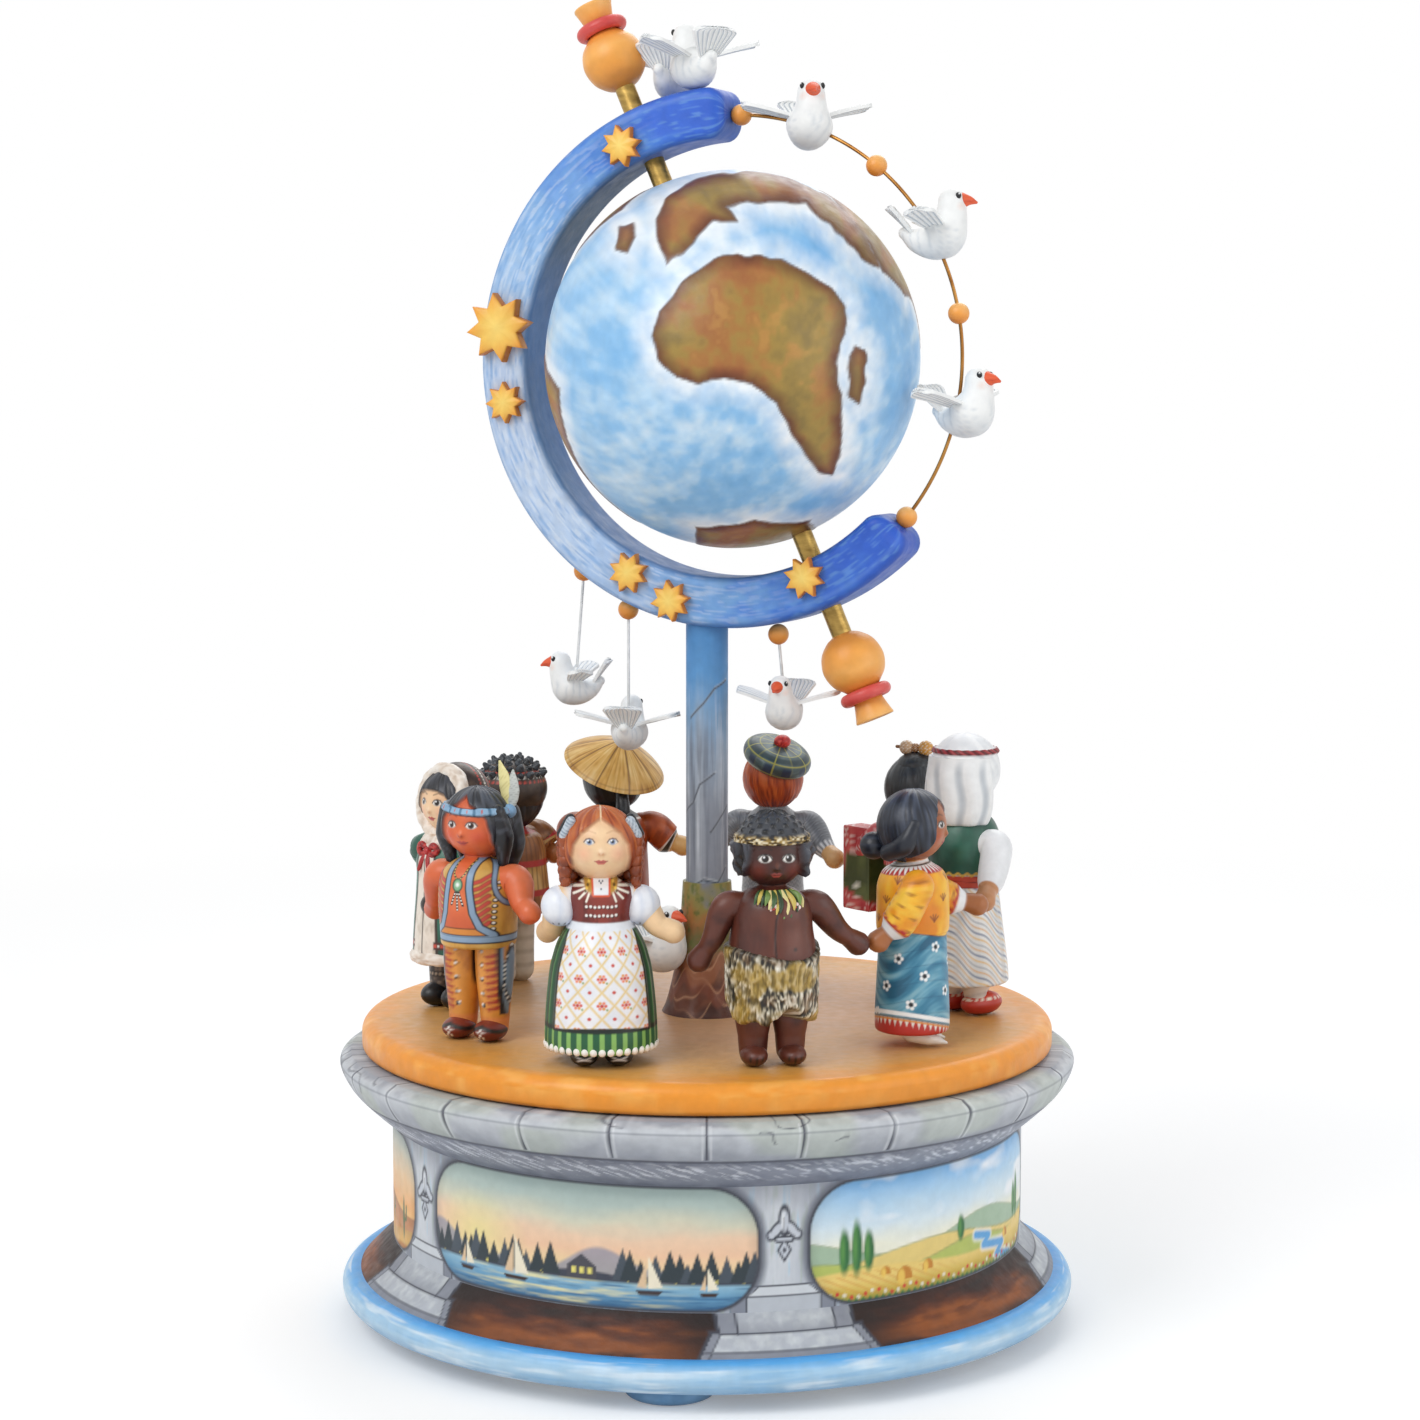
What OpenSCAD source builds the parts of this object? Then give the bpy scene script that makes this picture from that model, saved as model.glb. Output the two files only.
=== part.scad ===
// Turning music box: a globe in an open ring above a carousel of dancing dolls.
// Heights run up from the underside of the feet, and the front of the box faces -Y.
// Angles round the box are counted from the front, positive towards +X.

/* [Base] */
// Radius of the base disc at its widest
base_r = 100; // [98:1:108]
// Thickness of the base disc
base_t = 8.5; // [7.5:0.5:11]
// Height of the feet
foot_h = 5; // [4:0.5:9]
// Radius of a foot at its belly
foot_r = 12; // [10:0.5:14]
// Distance of the feet from the middle of the box
foot_ring_r = 80; // [78:1:84]
// Turn of the first foot from the front
foot_turn = -6.6; // [-30:0.1:30]
// Height of the sloping plinth, which leans in by as much
plinth_h = 9; // [7:0.5:9.5]
// Outer radius of the drum
drum_r = 86; // [84:1:88]
// Thickness of the drum wall
drum_wall = 6; // [4:0.5:8]
// Height of the drum
drum_h = 32; // [30:1:44]
// Height of the cornice
cornice_h = 19; // [17:0.5:24]
// Radius of the cornice at its widest
cornice_r = 100; // [97:0.5:104]

/* [Turntable] */
// Radius of the turntable
turn_r = 94; // [92:0.5:97]
// Thickness of the turntable
turn_t = 8; // [6.5:0.5:11]
// Gap between cornice and turntable
turn_gap = 0.5; // [0.3:0.1:1.5]
// Radius of the spindle
spindle_r = 4; // [3:0.1:5]
// Radius of the hub under the turntable
hub_r = 28; // [20:1:40]

/* [Column and ring] */
// Radius of the column
column_r = 5.7; // [5:0.1:6]
// Height of the column above the turntable
column_h = 106; // [98:1:120]
// Radius of the flared column foot at the turntable
foot_flare_r = 12.3; // [10:0.1:16]
// Height of the flared column foot
foot_flare_h = 36; // [24:1:44]
// Outer radius of the ring round the globe
ring_r = 71.6; // [69:0.1:75]
// Radial thickness of the ring
ring_t = 13.6; // [11:0.1:16]
// Depth of the ring from front to back
ring_depth = 17; // [15:0.5:20]
// Distance of the ring's middle from the column, along the ring
ring_shift = 7.5; // [4:0.5:10]
// Turn of the ring about the column
ring_yaw = -23; // [-40:1:0]
// Angle at which the ring's upper end stops
ring_from = 90; // [84:1:94]
// Angle at which the ring's lower end stops
ring_to = 318; // [312:1:324]

/* [Globe] */
// Radius of the globe
globe_r = 50.2; // [46:0.1:53]
// Lean of the globe's axle from upright
axle_lean = 23.4; // [18:0.1:28]
// Radius of the axle
axle_r = 2.75; // [2:0.05:3.5]
// Distance of a finial's ball from the middle of the globe
finial_out = 87.4; // [85:0.1:92]
// Radius of a finial's ball
finial_r = 8.5; // [7.5:0.1:10]

/* [Trim] */
// Radius of the big star
big_star_r = 9.5; // [7:0.1:11]
// Radius of a small star
small_star_r = 5.7; // [4:0.1:6]
// Thickness of the small stars
star_t = 3; // [2:0.1:5]
// Radius of the garland's circle
garland_r = 64.5; // [63:0.1:66]
// Radius of the garland wire
wire_r = 0.5; // [0.4:0.05:0.7]
// Radius of a bead
bead_r = 2.8; // [2.2:0.1:3.2]
// Radius of a dove's body
dove_r = 6.2; // [5.4:0.1:6.6]
// Span of a dove's wing from its body's middle
wing_span = 15; // [12:0.5:16]

/* [Dolls] */
// Radius of the ring on which the dolls stand
doll_ring_r = 70; // [68:0.5:72]
// Radius of a doll's face
face_r = 8.6; // [8:0.1:9]
// Radius of a doll's neck
neck_r = 3.4; // [3:0.1:3.8]
// Radius of a doll's hand
hand_r = 2.9; // [2.4:0.1:3.1]
// Height of the joined hands above the turntable
hand_h = 29; // [26:0.5:32]

/* [Movement] */
// Module of the drive gears
gear_m = 1; // [0.95:0.05:1.05]
// Height of the spring barrel
barrel_h = 14; // [12:0.5:16]
// Radius of the pin cylinder
cylinder_r = 7; // [6:0.1:7.4]
// Length of the pin cylinder
cylinder_len = 34; // [28:1:36]
// Tuned teeth of the comb
comb_teeth = 18; // [12:1:20]
// Thickness of the board that carries the movement
board_t = 6; // [4:0.5:8]
// Thickness of the metal bedplate
bed_t = 2.5; // [2:0.1:3]
// Radius of the opening under the winding key
key_hole_r = 28; // [24:0.5:29]
// Half width of the winding key
key_r = 16; // [13:0.5:18]

/* [Hidden] */
$fn = 64;
// Clearance of glued and pushed-in fits
fit = 0.05;
// Clearance of a shaft that turns in its hole
run_clear = 0.05;
// Clearance between moving pieces that face each other
gap = 0.3;

// Heights of the base
base_z = foot_h;
plinth_z = base_z + base_t;
drum_z = plinth_z + plinth_h;
cornice_z = drum_z + drum_h;
cornice_top = cornice_z + cornice_h;
turn_z = cornice_top + turn_gap;
stage_z = turn_z + turn_t;
inner_r = drum_r - drum_wall;

// Deck in the cornice
ledge_w = 4;
ledge_h = 6;
deck_t = 8;
deck_z = cornice_z + ledge_h;
deck_top = deck_z + deck_t;
bush_r = spindle_r + 4;
bush_flange_r = bush_r + 3;
bush_flange_t = 1;
hub_z = deck_top + bush_flange_t + gap;

// Bottom opening and its cover
well_r = inner_r - 8;
cover_r = well_r + 6;
cover_t = 3;
cover_screw_r = 2.4;
cover_screw_ring = (well_r + cover_r) / 2;
cover_screw_at = [for (k = [0 : 2]) foot_turn + 60 + 120 * k];

// Board and bedplate
board_z = plinth_z;
board_r = inner_r - 1;
bed_z = board_z + board_t;
bed_top = bed_z + bed_t;
bed_r = inner_r - 12;
screw_r = 1.5;
screw_head_r = 2.8;
screw_head_h = 1.8;

// Gear train
tooth_share = 0.42;
drive_teeth = 48;
barrel_teeth = 36;
drive_pr = gear_m * drive_teeth / 2;
barrel_pr = gear_m * barrel_teeth / 2;
barrel_x = 0;
barrel_y = drive_pr + barrel_pr;
barrel_z = bed_top + 1;
barrel_wall = 1.5;
barrel_r = barrel_pr - 1.25 * gear_m - 0.25;
gear_t = 4;
gear_z = barrel_z + barrel_h - gear_t;
lid_t = 1;
lid_top = barrel_z + barrel_h + lid_t;
arbor_r = 2.5;

// Crown pins on the lid turn the wheel of the pin cylinder
lid_pins = 30;
wheel_teeth = 12;
pin_ring_r = gear_m * lid_pins / 2;
crown_pin_r = 0.45;
crown_pin_h = 2;
wheel_pr = gear_m * wheel_teeth / 2;
wheel_tip = wheel_pr + 0.8 * gear_m;
tip_clear = 0.5;
cyl_z = lid_top + tip_clear + wheel_tip;
wheel_t = 4;
cyl_arbor_r = 1.6;
bracket_t = 2;
bracket_x = barrel_pr + gear_m + 1;
end_play = 0.6;
cyl_x = bracket_x + bracket_t + end_play;
bracket2_x = cyl_x + cylinder_len + end_play;
note_pin_h = 0.6;
note_pin_r = 0.4;

// Comb beside the cylinder
comb_t = 1.2;
comb_tip_y = barrel_y - cylinder_r - note_pin_h - gap;
comb_len = 18;
comb_root = 7;
comb_block_z = cyl_z - comb_t / 2;
comb_back_y = comb_tip_y - comb_len;
comb_x = cyl_x + 1;
comb_w = cylinder_len - 2;

// Governor: a wheel and an air fan in front of the spindle
gov_pinion_teeth = 12;
gov_wheel_teeth = 40;
fan_teeth = 10;
gov_m = 0.8;
gov_y = -(drive_pr + gear_m * gov_pinion_teeth / 2);
fan_x = -gov_m * (gov_wheel_teeth + fan_teeth) / 2;
gov_wheel_z = gear_z + gear_t + 4;
gov_wheel_t = 3;
gov_arbor_r = 1.5;
fan_z = gov_wheel_z + gov_wheel_t + 1.5;
fan_h = 3.5;
fan_r = 12;
bridge_z = fan_z + fan_h + 1.2;
bridge_t = 2;
post_r = 3;
post_x1 = fan_x - fan_r - post_r - 3;
post_x2 = gov_m * gov_wheel_teeth / 2 + gov_m + post_r + 2;

// Winding key in the opening under the base
key_t = 2.4;
key_z = base_z + 0.6;
key_h = base_t - 1.6;
key_boss_r = 4.6;

// Ring and globe: u runs along the ring, v up, w to the front
ring_inner = ring_r - ring_t;
globe_z = stage_z + column_h + sqrt(ring_r * ring_r - ring_shift * ring_shift);
axle_angle = 90 + axle_lean;
ring_round = 2.5;
dowel_r = 2.5;
dowel_in = 10;
dowel_z = stage_z + column_h - dowel_in;
dowel_len = dowel_in + ring_t / 2;
finial_neck_r = 3.6;
finial_len = 16;
finial_mouth_r = 5.3;
finial_ring_r = 1.7;
finial_ring_at = 9.1;
bell_at = finial_ring_at + finial_ring_r - 0.1;
socket_deep = 3;

// Trim on the ring, as [angle, distance from the middle of the globe]
big_star_t = star_t + 1;
big_star_at = [172.2, 65.1];
small_star_at = [[116.4, 63.2], [190.3, 64.2], [245.2, 62.9], [257.7, 65.9], [293.1, 62.3]];
end_bead_turn = 2 * asin((bead_r + fit) / (2 * garland_r));
bead_at = [ring_from - end_bead_turn, 51, 10.4, ring_to - 360 + end_bead_turn];
wire_grip = 2.4;
wire_hole = garland_r * wire_grip * PI / 180 + 0.4;

// Doves on the garland, as [angle, heading, shift outward]: heading 0 looks right, -90 to the front
garland_dove_at = [[70.5, -88, 0], [29, -5, 1], [-12.3, -25, 2.6]];
// Doves on top of the ring, as [angle, distance to the front, heading, wing span]
perched_dove_at = [[97, 3, 120, wing_span], [105, -7.5, 60, wing_span / 2]];
// Doves that hang under the ring, as [angle, distance to the front, drop, lean along x, heading]
hanging_dove_at = [[231, -5.5, 33, -2.5, 178], [245.5, 0, 34.5, 0, 80], [280.3, 0, 21.5, 2, -112]];
hang_wire_r = 0.4;
peg_r = 1;

// Dolls, as [place round the ring, facing, height]
dolls = [
    [-22.5, 3, 65], [13.5, 8, 64], [49.5, 91, 67], [87, 131, 77], [121.5, 160, 70],
    [164, 170, 69], [203, 185, 66], [233.5, 238, 64], [265.5, -46, 69], [301.5, -28, 66.5]
];
doll_count = len(dolls);
hair_r = face_r + 1.2;
sleeve_r = 3.5;
// Widest radius of each doll's clothes, and the radius of its trunk at the shoulders
doll_w = [14.2, 9.6, 10.6, 11.2, 11.4, 9.4, 9.8, 10, 9.8, 9.6];
shoulder_out = [8.2, 9.8, 9.2, 9.8, 9.6, 9.6, 10, 10.4, 10.6, 9.8];

// Points of a smooth line through a few chosen points
function blend(a, b, c, d, t) =
    0.5 * ((2 * b) + (c - a) * t + (2 * a - 5 * b + 4 * c - d) * t * t
        + (3 * b - a - 3 * c + d) * t * t * t);
function smooth(p, n = 4) = [
    for (i = [0 : len(p) - 2])
        for (k = [0 : n - 1])
            blend(p[max(i - 1, 0)], p[i], p[i + 1], p[min(i + 2, len(p) - 1)], k / n),
    p[len(p) - 1]
];

// Outline of a spur gear with involute flanks
function inv(a) = tan(a) - a * PI / 180;
function half_tooth(m, n, r) =
    tooth_share * 180 / n
    + (inv(20) - inv(acos(min(1, m * n / 2 * cos(20) / r)))) * 180 / PI;
function gear_points(m, n) =
    let (rr = m * n / 2 - 1.2 * m, rp = m * n / 2, ra = m * n / 2 + 0.8 * m)
    [
        for (k = [0 : n - 1])
            for (f = [[-1, rr], [-1, rp], [-1, ra], [1, ra], [1, rp], [1, rr]])
                let (a = 360 * k / n + f[0] * half_tooth(m, n, f[1]))
                f[1] * [cos(a), sin(a)]
    ];
module gear(m, n, t, bore) {
    linear_extrude(t) difference() {
        polygon(gear_points(m, n));
        circle(bore);
    }
}

// A turned piece from its outline, given as [radius, height] from bottom to top
module turned(outline) {
    last = len(outline) - 1;
    rotate_extrude() polygon(concat([[0, outline[0][1]]], outline, [[0, outline[last][1]]]));
}

// A tapered rod between two points, with round ends
module rod(p, q, r1, r2) {
    d = q - p;
    translate(p) {
        rotate([0, acos(d[2] / norm(d)), atan2(d[1], d[0])]) cylinder(h = norm(d), r1 = r1, r2 = r2);
        sphere(r1);
    }
    translate(q) sphere(r2);
}

// A plain wire between two points
module wire(p, q, r) {
    d = q - p;
    translate(p)
        rotate([0, acos(d[2] / norm(d)), atan2(d[1], d[0])]) cylinder(h = norm(d), r = r);
}

// A point round the box, by its angle from the front
function around(r, a, z) = [r * sin(a), -r * cos(a), z];

// Frame of the ring: x along it, y up, z to the front
module ring_frame() {
    translate([ring_shift * cos(ring_yaw), ring_shift * sin(ring_yaw), globe_z])
        rotate([0, 0, ring_yaw]) rotate([90, 0, 0]) children();
}
// A point of the ring's frame, by angle, distance and distance to the front
function ring_point(a, r, w) =
    let (s = ring_shift + r * cos(a))
    [s * cos(ring_yaw) + w * sin(ring_yaw), s * sin(ring_yaw) - w * cos(ring_yaw), globe_z + r * sin(a)];
// Frame of the axle: z up along it
module axle_frame() {
    ring_frame() rotate([0, 0, axle_angle - 90]) rotate([-90, 0, 0]) children();
}

module feet() {
    edge = foot_h / 2;
    color("lightsteelblue")
        for (k = [0 : 2])
            translate(around(foot_ring_r, foot_turn + 120 * k, 0))
                rotate_extrude() {
                    square([foot_r - edge, foot_h]);
                    intersection() {
                        translate([foot_r - edge, edge]) circle(edge);
                        square([foot_r, foot_h]);
                    }
                }
}

module base_disc() {
    edge = base_t / 2;
    color("lightskyblue")
        difference() {
            translate([0, 0, base_z]) rotate_extrude() {
                translate([well_r, 0]) square([base_r - edge - well_r, base_t]);
                translate([base_r - edge, edge]) circle(edge);
            }
            translate([0, 0, base_z - 1]) cylinder(h = cover_t + 1 + fit, r = cover_r + fit);
            for (a = cover_screw_at)
                translate(around(cover_screw_ring, a, base_z))
                    cylinder(h = cover_t + 3, r = screw_r / 2 + fit);
        }
}

module bottom_cover() {
    color("burlywood")
        difference() {
            translate([0, 0, base_z]) cylinder(h = cover_t, r = cover_r);
            translate([barrel_x, barrel_y, base_z - 1]) cylinder(h = cover_t + 2, r = key_hole_r);
            for (a = cover_screw_at)
                translate(around(cover_screw_ring, a, base_z - 1))
                    cylinder(h = cover_t + 2, r = screw_r / 2 + fit);
        }
}

module cover_screws() {
    color("gold")
        for (a = cover_screw_at)
            translate(around(cover_screw_ring, a, base_z)) {
                translate([0, 0, -1]) cylinder(h = 1, r = cover_screw_r);
                cylinder(h = cover_t + 2, r = screw_r / 2);
            }
}

module plinth() {
    color("saddlebrown")
        translate([0, 0, plinth_z])
            rotate_extrude()
                polygon([[inner_r, 0], [drum_r + plinth_h, 0], [drum_r, plinth_h], [inner_r, plinth_h]]);
}

module drum() {
    color("lightgray")
        translate([0, 0, drum_z]) difference() {
            cylinder(h = drum_h, r = drum_r);
            translate([0, 0, -1]) cylinder(h = drum_h + 2, r = inner_r);
        }
}

module cornice() {
    lip = cornice_r - drum_r;
    cove = smooth([
        [drum_r, 0], [drum_r + 0.45 * lip, 0.28 * cornice_h], [drum_r + 0.82 * lip, 0.56 * cornice_h],
        [cornice_r, 0.86 * cornice_h], [cornice_r - 3, cornice_h]
    ], 3);
    color("darkgray")
        translate([0, 0, cornice_z])
            rotate_extrude()
                polygon(concat(
                    [[inner_r - ledge_w, 0]], cove,
                    [[inner_r, cornice_h], [inner_r, ledge_h], [inner_r - ledge_w, ledge_h]]
                ));
}

module deck() {
    color("burlywood")
        translate([0, 0, deck_z]) difference() {
            cylinder(h = deck_t, r = inner_r - fit);
            translate([0, 0, -1]) cylinder(h = deck_t + 2, r = bush_r + fit);
        }
}

module deck_bush() {
    color("gold")
        difference() {
            union() {
                translate([0, 0, deck_z]) cylinder(h = deck_t, r = bush_r);
                translate([0, 0, deck_top]) cylinder(h = bush_flange_t, r = bush_flange_r);
            }
            translate([0, 0, deck_z - 1])
                cylinder(h = deck_t + bush_flange_t + 2, r = spindle_r + run_clear);
        }
}

// Places of the screws that hold board and bedplate
bed_screw_at = [for (a = [35, 145, 215, 325]) around(bed_r - 5, a, 0)];

// Two half boards, with the winding arbor in the gap between them
module movement_board() {
    slot = 2 * (arbor_r + 2);
    color("burlywood")
        translate([0, 0, board_z]) difference() {
            cylinder(h = board_t, r = board_r);
            translate([barrel_x - slot / 2, -board_r - 1, -1]) cube([slot, 2 * board_r + 2, board_t + 2]);
            for (p = bed_screw_at)
                translate([p[0], p[1], -1]) cylinder(h = board_t + 2, r = screw_r + fit);
        }
}

module bedplate() {
    color("gold")
        translate([0, 0, bed_z]) difference() {
            cylinder(h = bed_t, r = bed_r);
            translate([0, 0, -1]) cylinder(h = bed_t + 2, r = spindle_r + run_clear);
            translate([barrel_x, barrel_y, -1]) cylinder(h = bed_t + 2, r = arbor_r + run_clear);
            translate([0, gov_y, -1]) cylinder(h = bed_t + 2, r = gov_arbor_r + run_clear);
            translate([fan_x, gov_y, -1]) cylinder(h = bed_t + 2, r = gov_arbor_r + run_clear);
            for (p = bed_screw_at)
                translate([p[0], p[1], -1]) cylinder(h = bed_t + 2, r = screw_r + fit);
        }
}

module bedplate_screws() {
    color("silver")
        for (p = bed_screw_at)
            translate([p[0], p[1], 0]) {
                translate([0, 0, board_z]) cylinder(h = board_t + bed_t, r = screw_r);
                translate([0, 0, bed_top]) cylinder(h = screw_head_h, r = screw_head_r);
            }
}

module cylinder_brackets() {
    side = cylinder_r + 1;
    color("gold")
        for (x = [bracket_x, bracket2_x])
            difference() {
                translate([x, barrel_y - side / 2, bed_top])
                    cube([bracket_t, side, cyl_z + 4 - bed_top]);
                translate([x - 1, barrel_y, cyl_z]) rotate([0, 90, 0])
                    cylinder(h = bracket_t + 2, r = cyl_arbor_r + run_clear);
            }
}

// Places of the comb's screws
comb_screw_at = [for (k = [1, 3]) [comb_x + comb_w * k / 4, comb_back_y + comb_root / 2]];

module comb_block() {
    color("gold")
        difference() {
            translate([comb_x, comb_back_y, bed_top]) cube([comb_w, comb_root, comb_block_z - bed_top]);
            for (p = comb_screw_at)
                translate([p[0], p[1], comb_block_z - 6]) cylinder(h = 7, r = screw_r + fit);
        }
}

module comb() {
    pitch = comb_w / comb_teeth;
    slit = 0.35;
    color("silver")
        difference() {
            translate([comb_x, comb_back_y, comb_block_z]) cube([comb_w, comb_len, comb_t]);
            for (k = [1 : comb_teeth - 1])
                translate([comb_x + k * pitch - slit / 2, comb_back_y + comb_root + 1, comb_block_z - 1])
                    cube([slit, comb_len, comb_t + 2]);
            for (p = comb_screw_at)
                translate([p[0], p[1], comb_block_z - 1]) cylinder(h = comb_t + 2, r = screw_r + fit);
        }
}

module comb_screws() {
    color("dimgray")
        for (p = comb_screw_at)
            translate([p[0], p[1], comb_block_z]) {
                translate([0, 0, -5]) cylinder(h = 5 + comb_t, r = screw_r);
                translate([0, 0, comb_t]) cylinder(h = screw_head_h, r = screw_head_r);
            }
}

module governor_bridge() {
    color("gold")
        difference() {
            union() {
                for (x = [post_x1, post_x2])
                    translate([x, gov_y, bed_top]) cylinder(h = bridge_z - bed_top, r = post_r);
                translate([post_x1 - post_r, gov_y - 4, bridge_z])
                    cube([post_x2 - post_x1 + 2 * post_r, 8, bridge_t]);
            }
            for (x = [0, fan_x])
                translate([x, gov_y, bridge_z - 1]) cylinder(h = bridge_t + 2, r = gov_arbor_r + run_clear);
        }
}

module spring_barrel() {
    color("silver")
        translate([barrel_x, barrel_y, barrel_z]) difference() {
            union() {
                cylinder(h = barrel_h, r = barrel_r);
                translate([0, 0, gear_z - barrel_z])
                    rotate([0, 0, -90 + 180 / barrel_teeth]) gear(gear_m, barrel_teeth, gear_t, arbor_r);
            }
            translate([0, 0, barrel_wall]) cylinder(h = barrel_h, r = barrel_r - barrel_wall);
            translate([0, 0, -1]) cylinder(h = barrel_h + 2, r = arbor_r + run_clear);
        }
}

module barrel_lid() {
    color("silver")
        translate([barrel_x, barrel_y, barrel_z + barrel_h]) {
            difference() {
                cylinder(h = lid_t, r = barrel_r);
                translate([0, 0, -1]) cylinder(h = lid_t + 2, r = arbor_r + run_clear);
            }
            for (k = [0 : lid_pins - 1])
                rotate([0, 0, 360 * k / lid_pins])
                    translate([pin_ring_r, 0, lid_t]) cylinder(h = crown_pin_h, r = crown_pin_r);
        }
}

module mainspring() {
    turns = 7;
    steps = turns * 16;
    strip = 0.5;
    start = arbor_r + 1;
    pitch = (barrel_r - barrel_wall - gap - strip - start) / turns;
    line = [for (k = [0 : steps]) [start + pitch * turns * k / steps, 360 * turns * k / steps]];
    color("slategray")
        translate([barrel_x, barrel_y, barrel_z + barrel_wall + gap])
            linear_extrude(barrel_h - barrel_wall - 2 * gap)
                polygon(concat(
                    [for (p = line) p[0] * [cos(p[1]), sin(p[1])]],
                    [for (k = [steps : -1 : 0]) (line[k][0] + strip) * [cos(line[k][1]), sin(line[k][1])]]
                ));
}

module pin_cylinder() {
    rows = comb_teeth;
    per_row = 3;
    first = (comb_x - cyl_x) + comb_w / rows / 2;
    color("gold")
        translate([0, barrel_y, cyl_z]) rotate([0, 90, 0]) {
            translate([0, 0, cyl_x]) cylinder(h = cylinder_len, r = cylinder_r);
            translate([0, 0, pin_ring_r - wheel_t / 2 - 1])
                cylinder(h = bracket2_x + bracket_t + 1 - pin_ring_r + wheel_t / 2, r = cyl_arbor_r);
            for (k = [0 : rows - 1])
                for (j = [0 : per_row - 1])
                    rotate([0, 0, 137.5 * (k * per_row + j)])
                        translate([cylinder_r - 0.5, 0, cyl_x + first + k * comb_w / rows])
                            rotate([0, 90, 0]) cylinder(h = note_pin_h + 0.5, r = note_pin_r);
        }
}

module cylinder_wheel() {
    color("goldenrod")
        translate([pin_ring_r - wheel_t / 2, barrel_y, cyl_z]) rotate([0, 90, 0])
            rotate([0, 0, 180 / wheel_teeth]) gear(gear_m, wheel_teeth, wheel_t, cyl_arbor_r + fit);
}

module governor_wheel() {
    color("goldenrod")
        translate([0, gov_y, 0]) {
            translate([0, 0, gear_z - 1])
                rotate([0, 0, 90 + 180 / gov_pinion_teeth])
                    gear(gear_m, gov_pinion_teeth, gear_t + 2, gov_arbor_r);
            translate([0, 0, gov_wheel_z]) rotate([0, 0, 180])
                gear(gov_m, gov_wheel_teeth, gov_wheel_t, gov_arbor_r);
            translate([0, 0, bed_z]) cylinder(h = bridge_z + bridge_t - bed_z, r = gov_arbor_r);
        }
}

module governor_fan() {
    color("peru")
        translate([fan_x, gov_y, 0]) {
            translate([0, 0, gov_wheel_z - 0.5]) rotate([0, 0, 180 / fan_teeth])
                gear(gov_m, fan_teeth, gov_wheel_t + 1, gov_arbor_r);
            translate([0, 0, bed_z]) cylinder(h = bridge_z + bridge_t - bed_z, r = gov_arbor_r);
            translate([-fan_r, -0.4, fan_z]) cube([2 * fan_r, 0.8, fan_h]);
        }
}

module winding_arbor() {
    color("silver")
        translate([barrel_x, barrel_y, key_z]) cylinder(h = lid_top + 1 - key_z, r = arbor_r);
}

module winding_key() {
    color("gold")
        translate([barrel_x, barrel_y, key_z]) difference() {
            union() {
                cylinder(h = key_h, r = key_boss_r);
                for (s = [-1, 1])
                    translate([s * key_r / 2, key_t / 2, key_h / 2]) rotate([90, 0, 0])
                        linear_extrude(key_t) intersection() {
                            circle(key_r / 2);
                            square([key_r, key_h], center = true);
                        }
            }
            translate([0, 0, -1]) cylinder(h = key_h + 2, r = arbor_r + fit);
        }
}

module turntable() {
    low = 1.5;
    high = 3.5;
    color("orange")
        translate([0, 0, turn_z]) rotate_extrude() {
            translate([spindle_r + fit, 0]) square([turn_r - high - spindle_r - fit, turn_t]);
            translate([turn_r - high - 1, low]) square([high + 1, turn_t - high - low]);
            translate([turn_r - high - 1, 0]) square([high + 1 - low, low + 0.5]);
            translate([turn_r - low, low]) circle(low);
            translate([turn_r - high, turn_t - high]) circle(high);
        }
}

module turntable_hub() {
    color("burlywood")
        translate([0, 0, hub_z]) difference() {
            cylinder(h = turn_z - hub_z, r = hub_r);
            translate([0, 0, -1]) cylinder(h = turn_z - hub_z + 2, r = spindle_r + fit);
        }
}

spindle_top = stage_z + 10;
module spindle() {
    color("silver")
        translate([0, 0, bed_z]) cylinder(h = spindle_top - bed_z, r = spindle_r);
}

module drive_gear() {
    color("goldenrod")
        translate([0, 0, gear_z]) rotate([0, 0, 90])
            gear(gear_m, drive_teeth, gear_t, spindle_r + fit);
}

module column() {
    color("lightslategray")
        difference() {
            translate([0, 0, stage_z]) cylinder(h = column_h + 4, r = column_r);
            ring_frame() cylinder(h = 3 * ring_depth, r = ring_r + fit, center = true);
            translate([0, 0, stage_z - 1])
                cylinder(h = spindle_top - stage_z + 1 + fit, r = spindle_r + fit);
            translate([0, 0, dowel_z - fit]) cylinder(h = dowel_in * 2, r = dowel_r + fit);
        }
}

module column_foot() {
    flare = smooth([
        [foot_flare_r, 0], [foot_flare_r - 1.6, 0.12 * foot_flare_h],
        [column_r + 2.2, 0.5 * foot_flare_h], [column_r + 0.9, foot_flare_h]
    ], 4);
    color("sienna")
        translate([0, 0, stage_z]) difference() {
            turned(flare);
            translate([0, 0, -1]) cylinder(h = foot_flare_h + 2, r = column_r + fit);
        }
}

module column_dowel() {
    color("burlywood")
        translate([0, 0, dowel_z]) cylinder(h = dowel_len, r = dowel_r);
}

// Section of the ring, with rounded corners
module ring_section() {
    out = ring_t / 2 - ring_round;
    up = ring_depth / 2 - ring_round;
    corners = [[1, 1, 0], [-1, 1, 90], [-1, -1, 180], [1, -1, 270]];
    translate([ring_r - ring_t / 2, 0])
        polygon([
            for (c = corners)
                for (a = [0 : 30 : 90])
                    [c[0] * out, c[1] * up] + ring_round * [cos(a + c[2]), sin(a + c[2])]
        ]);
}

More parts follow.
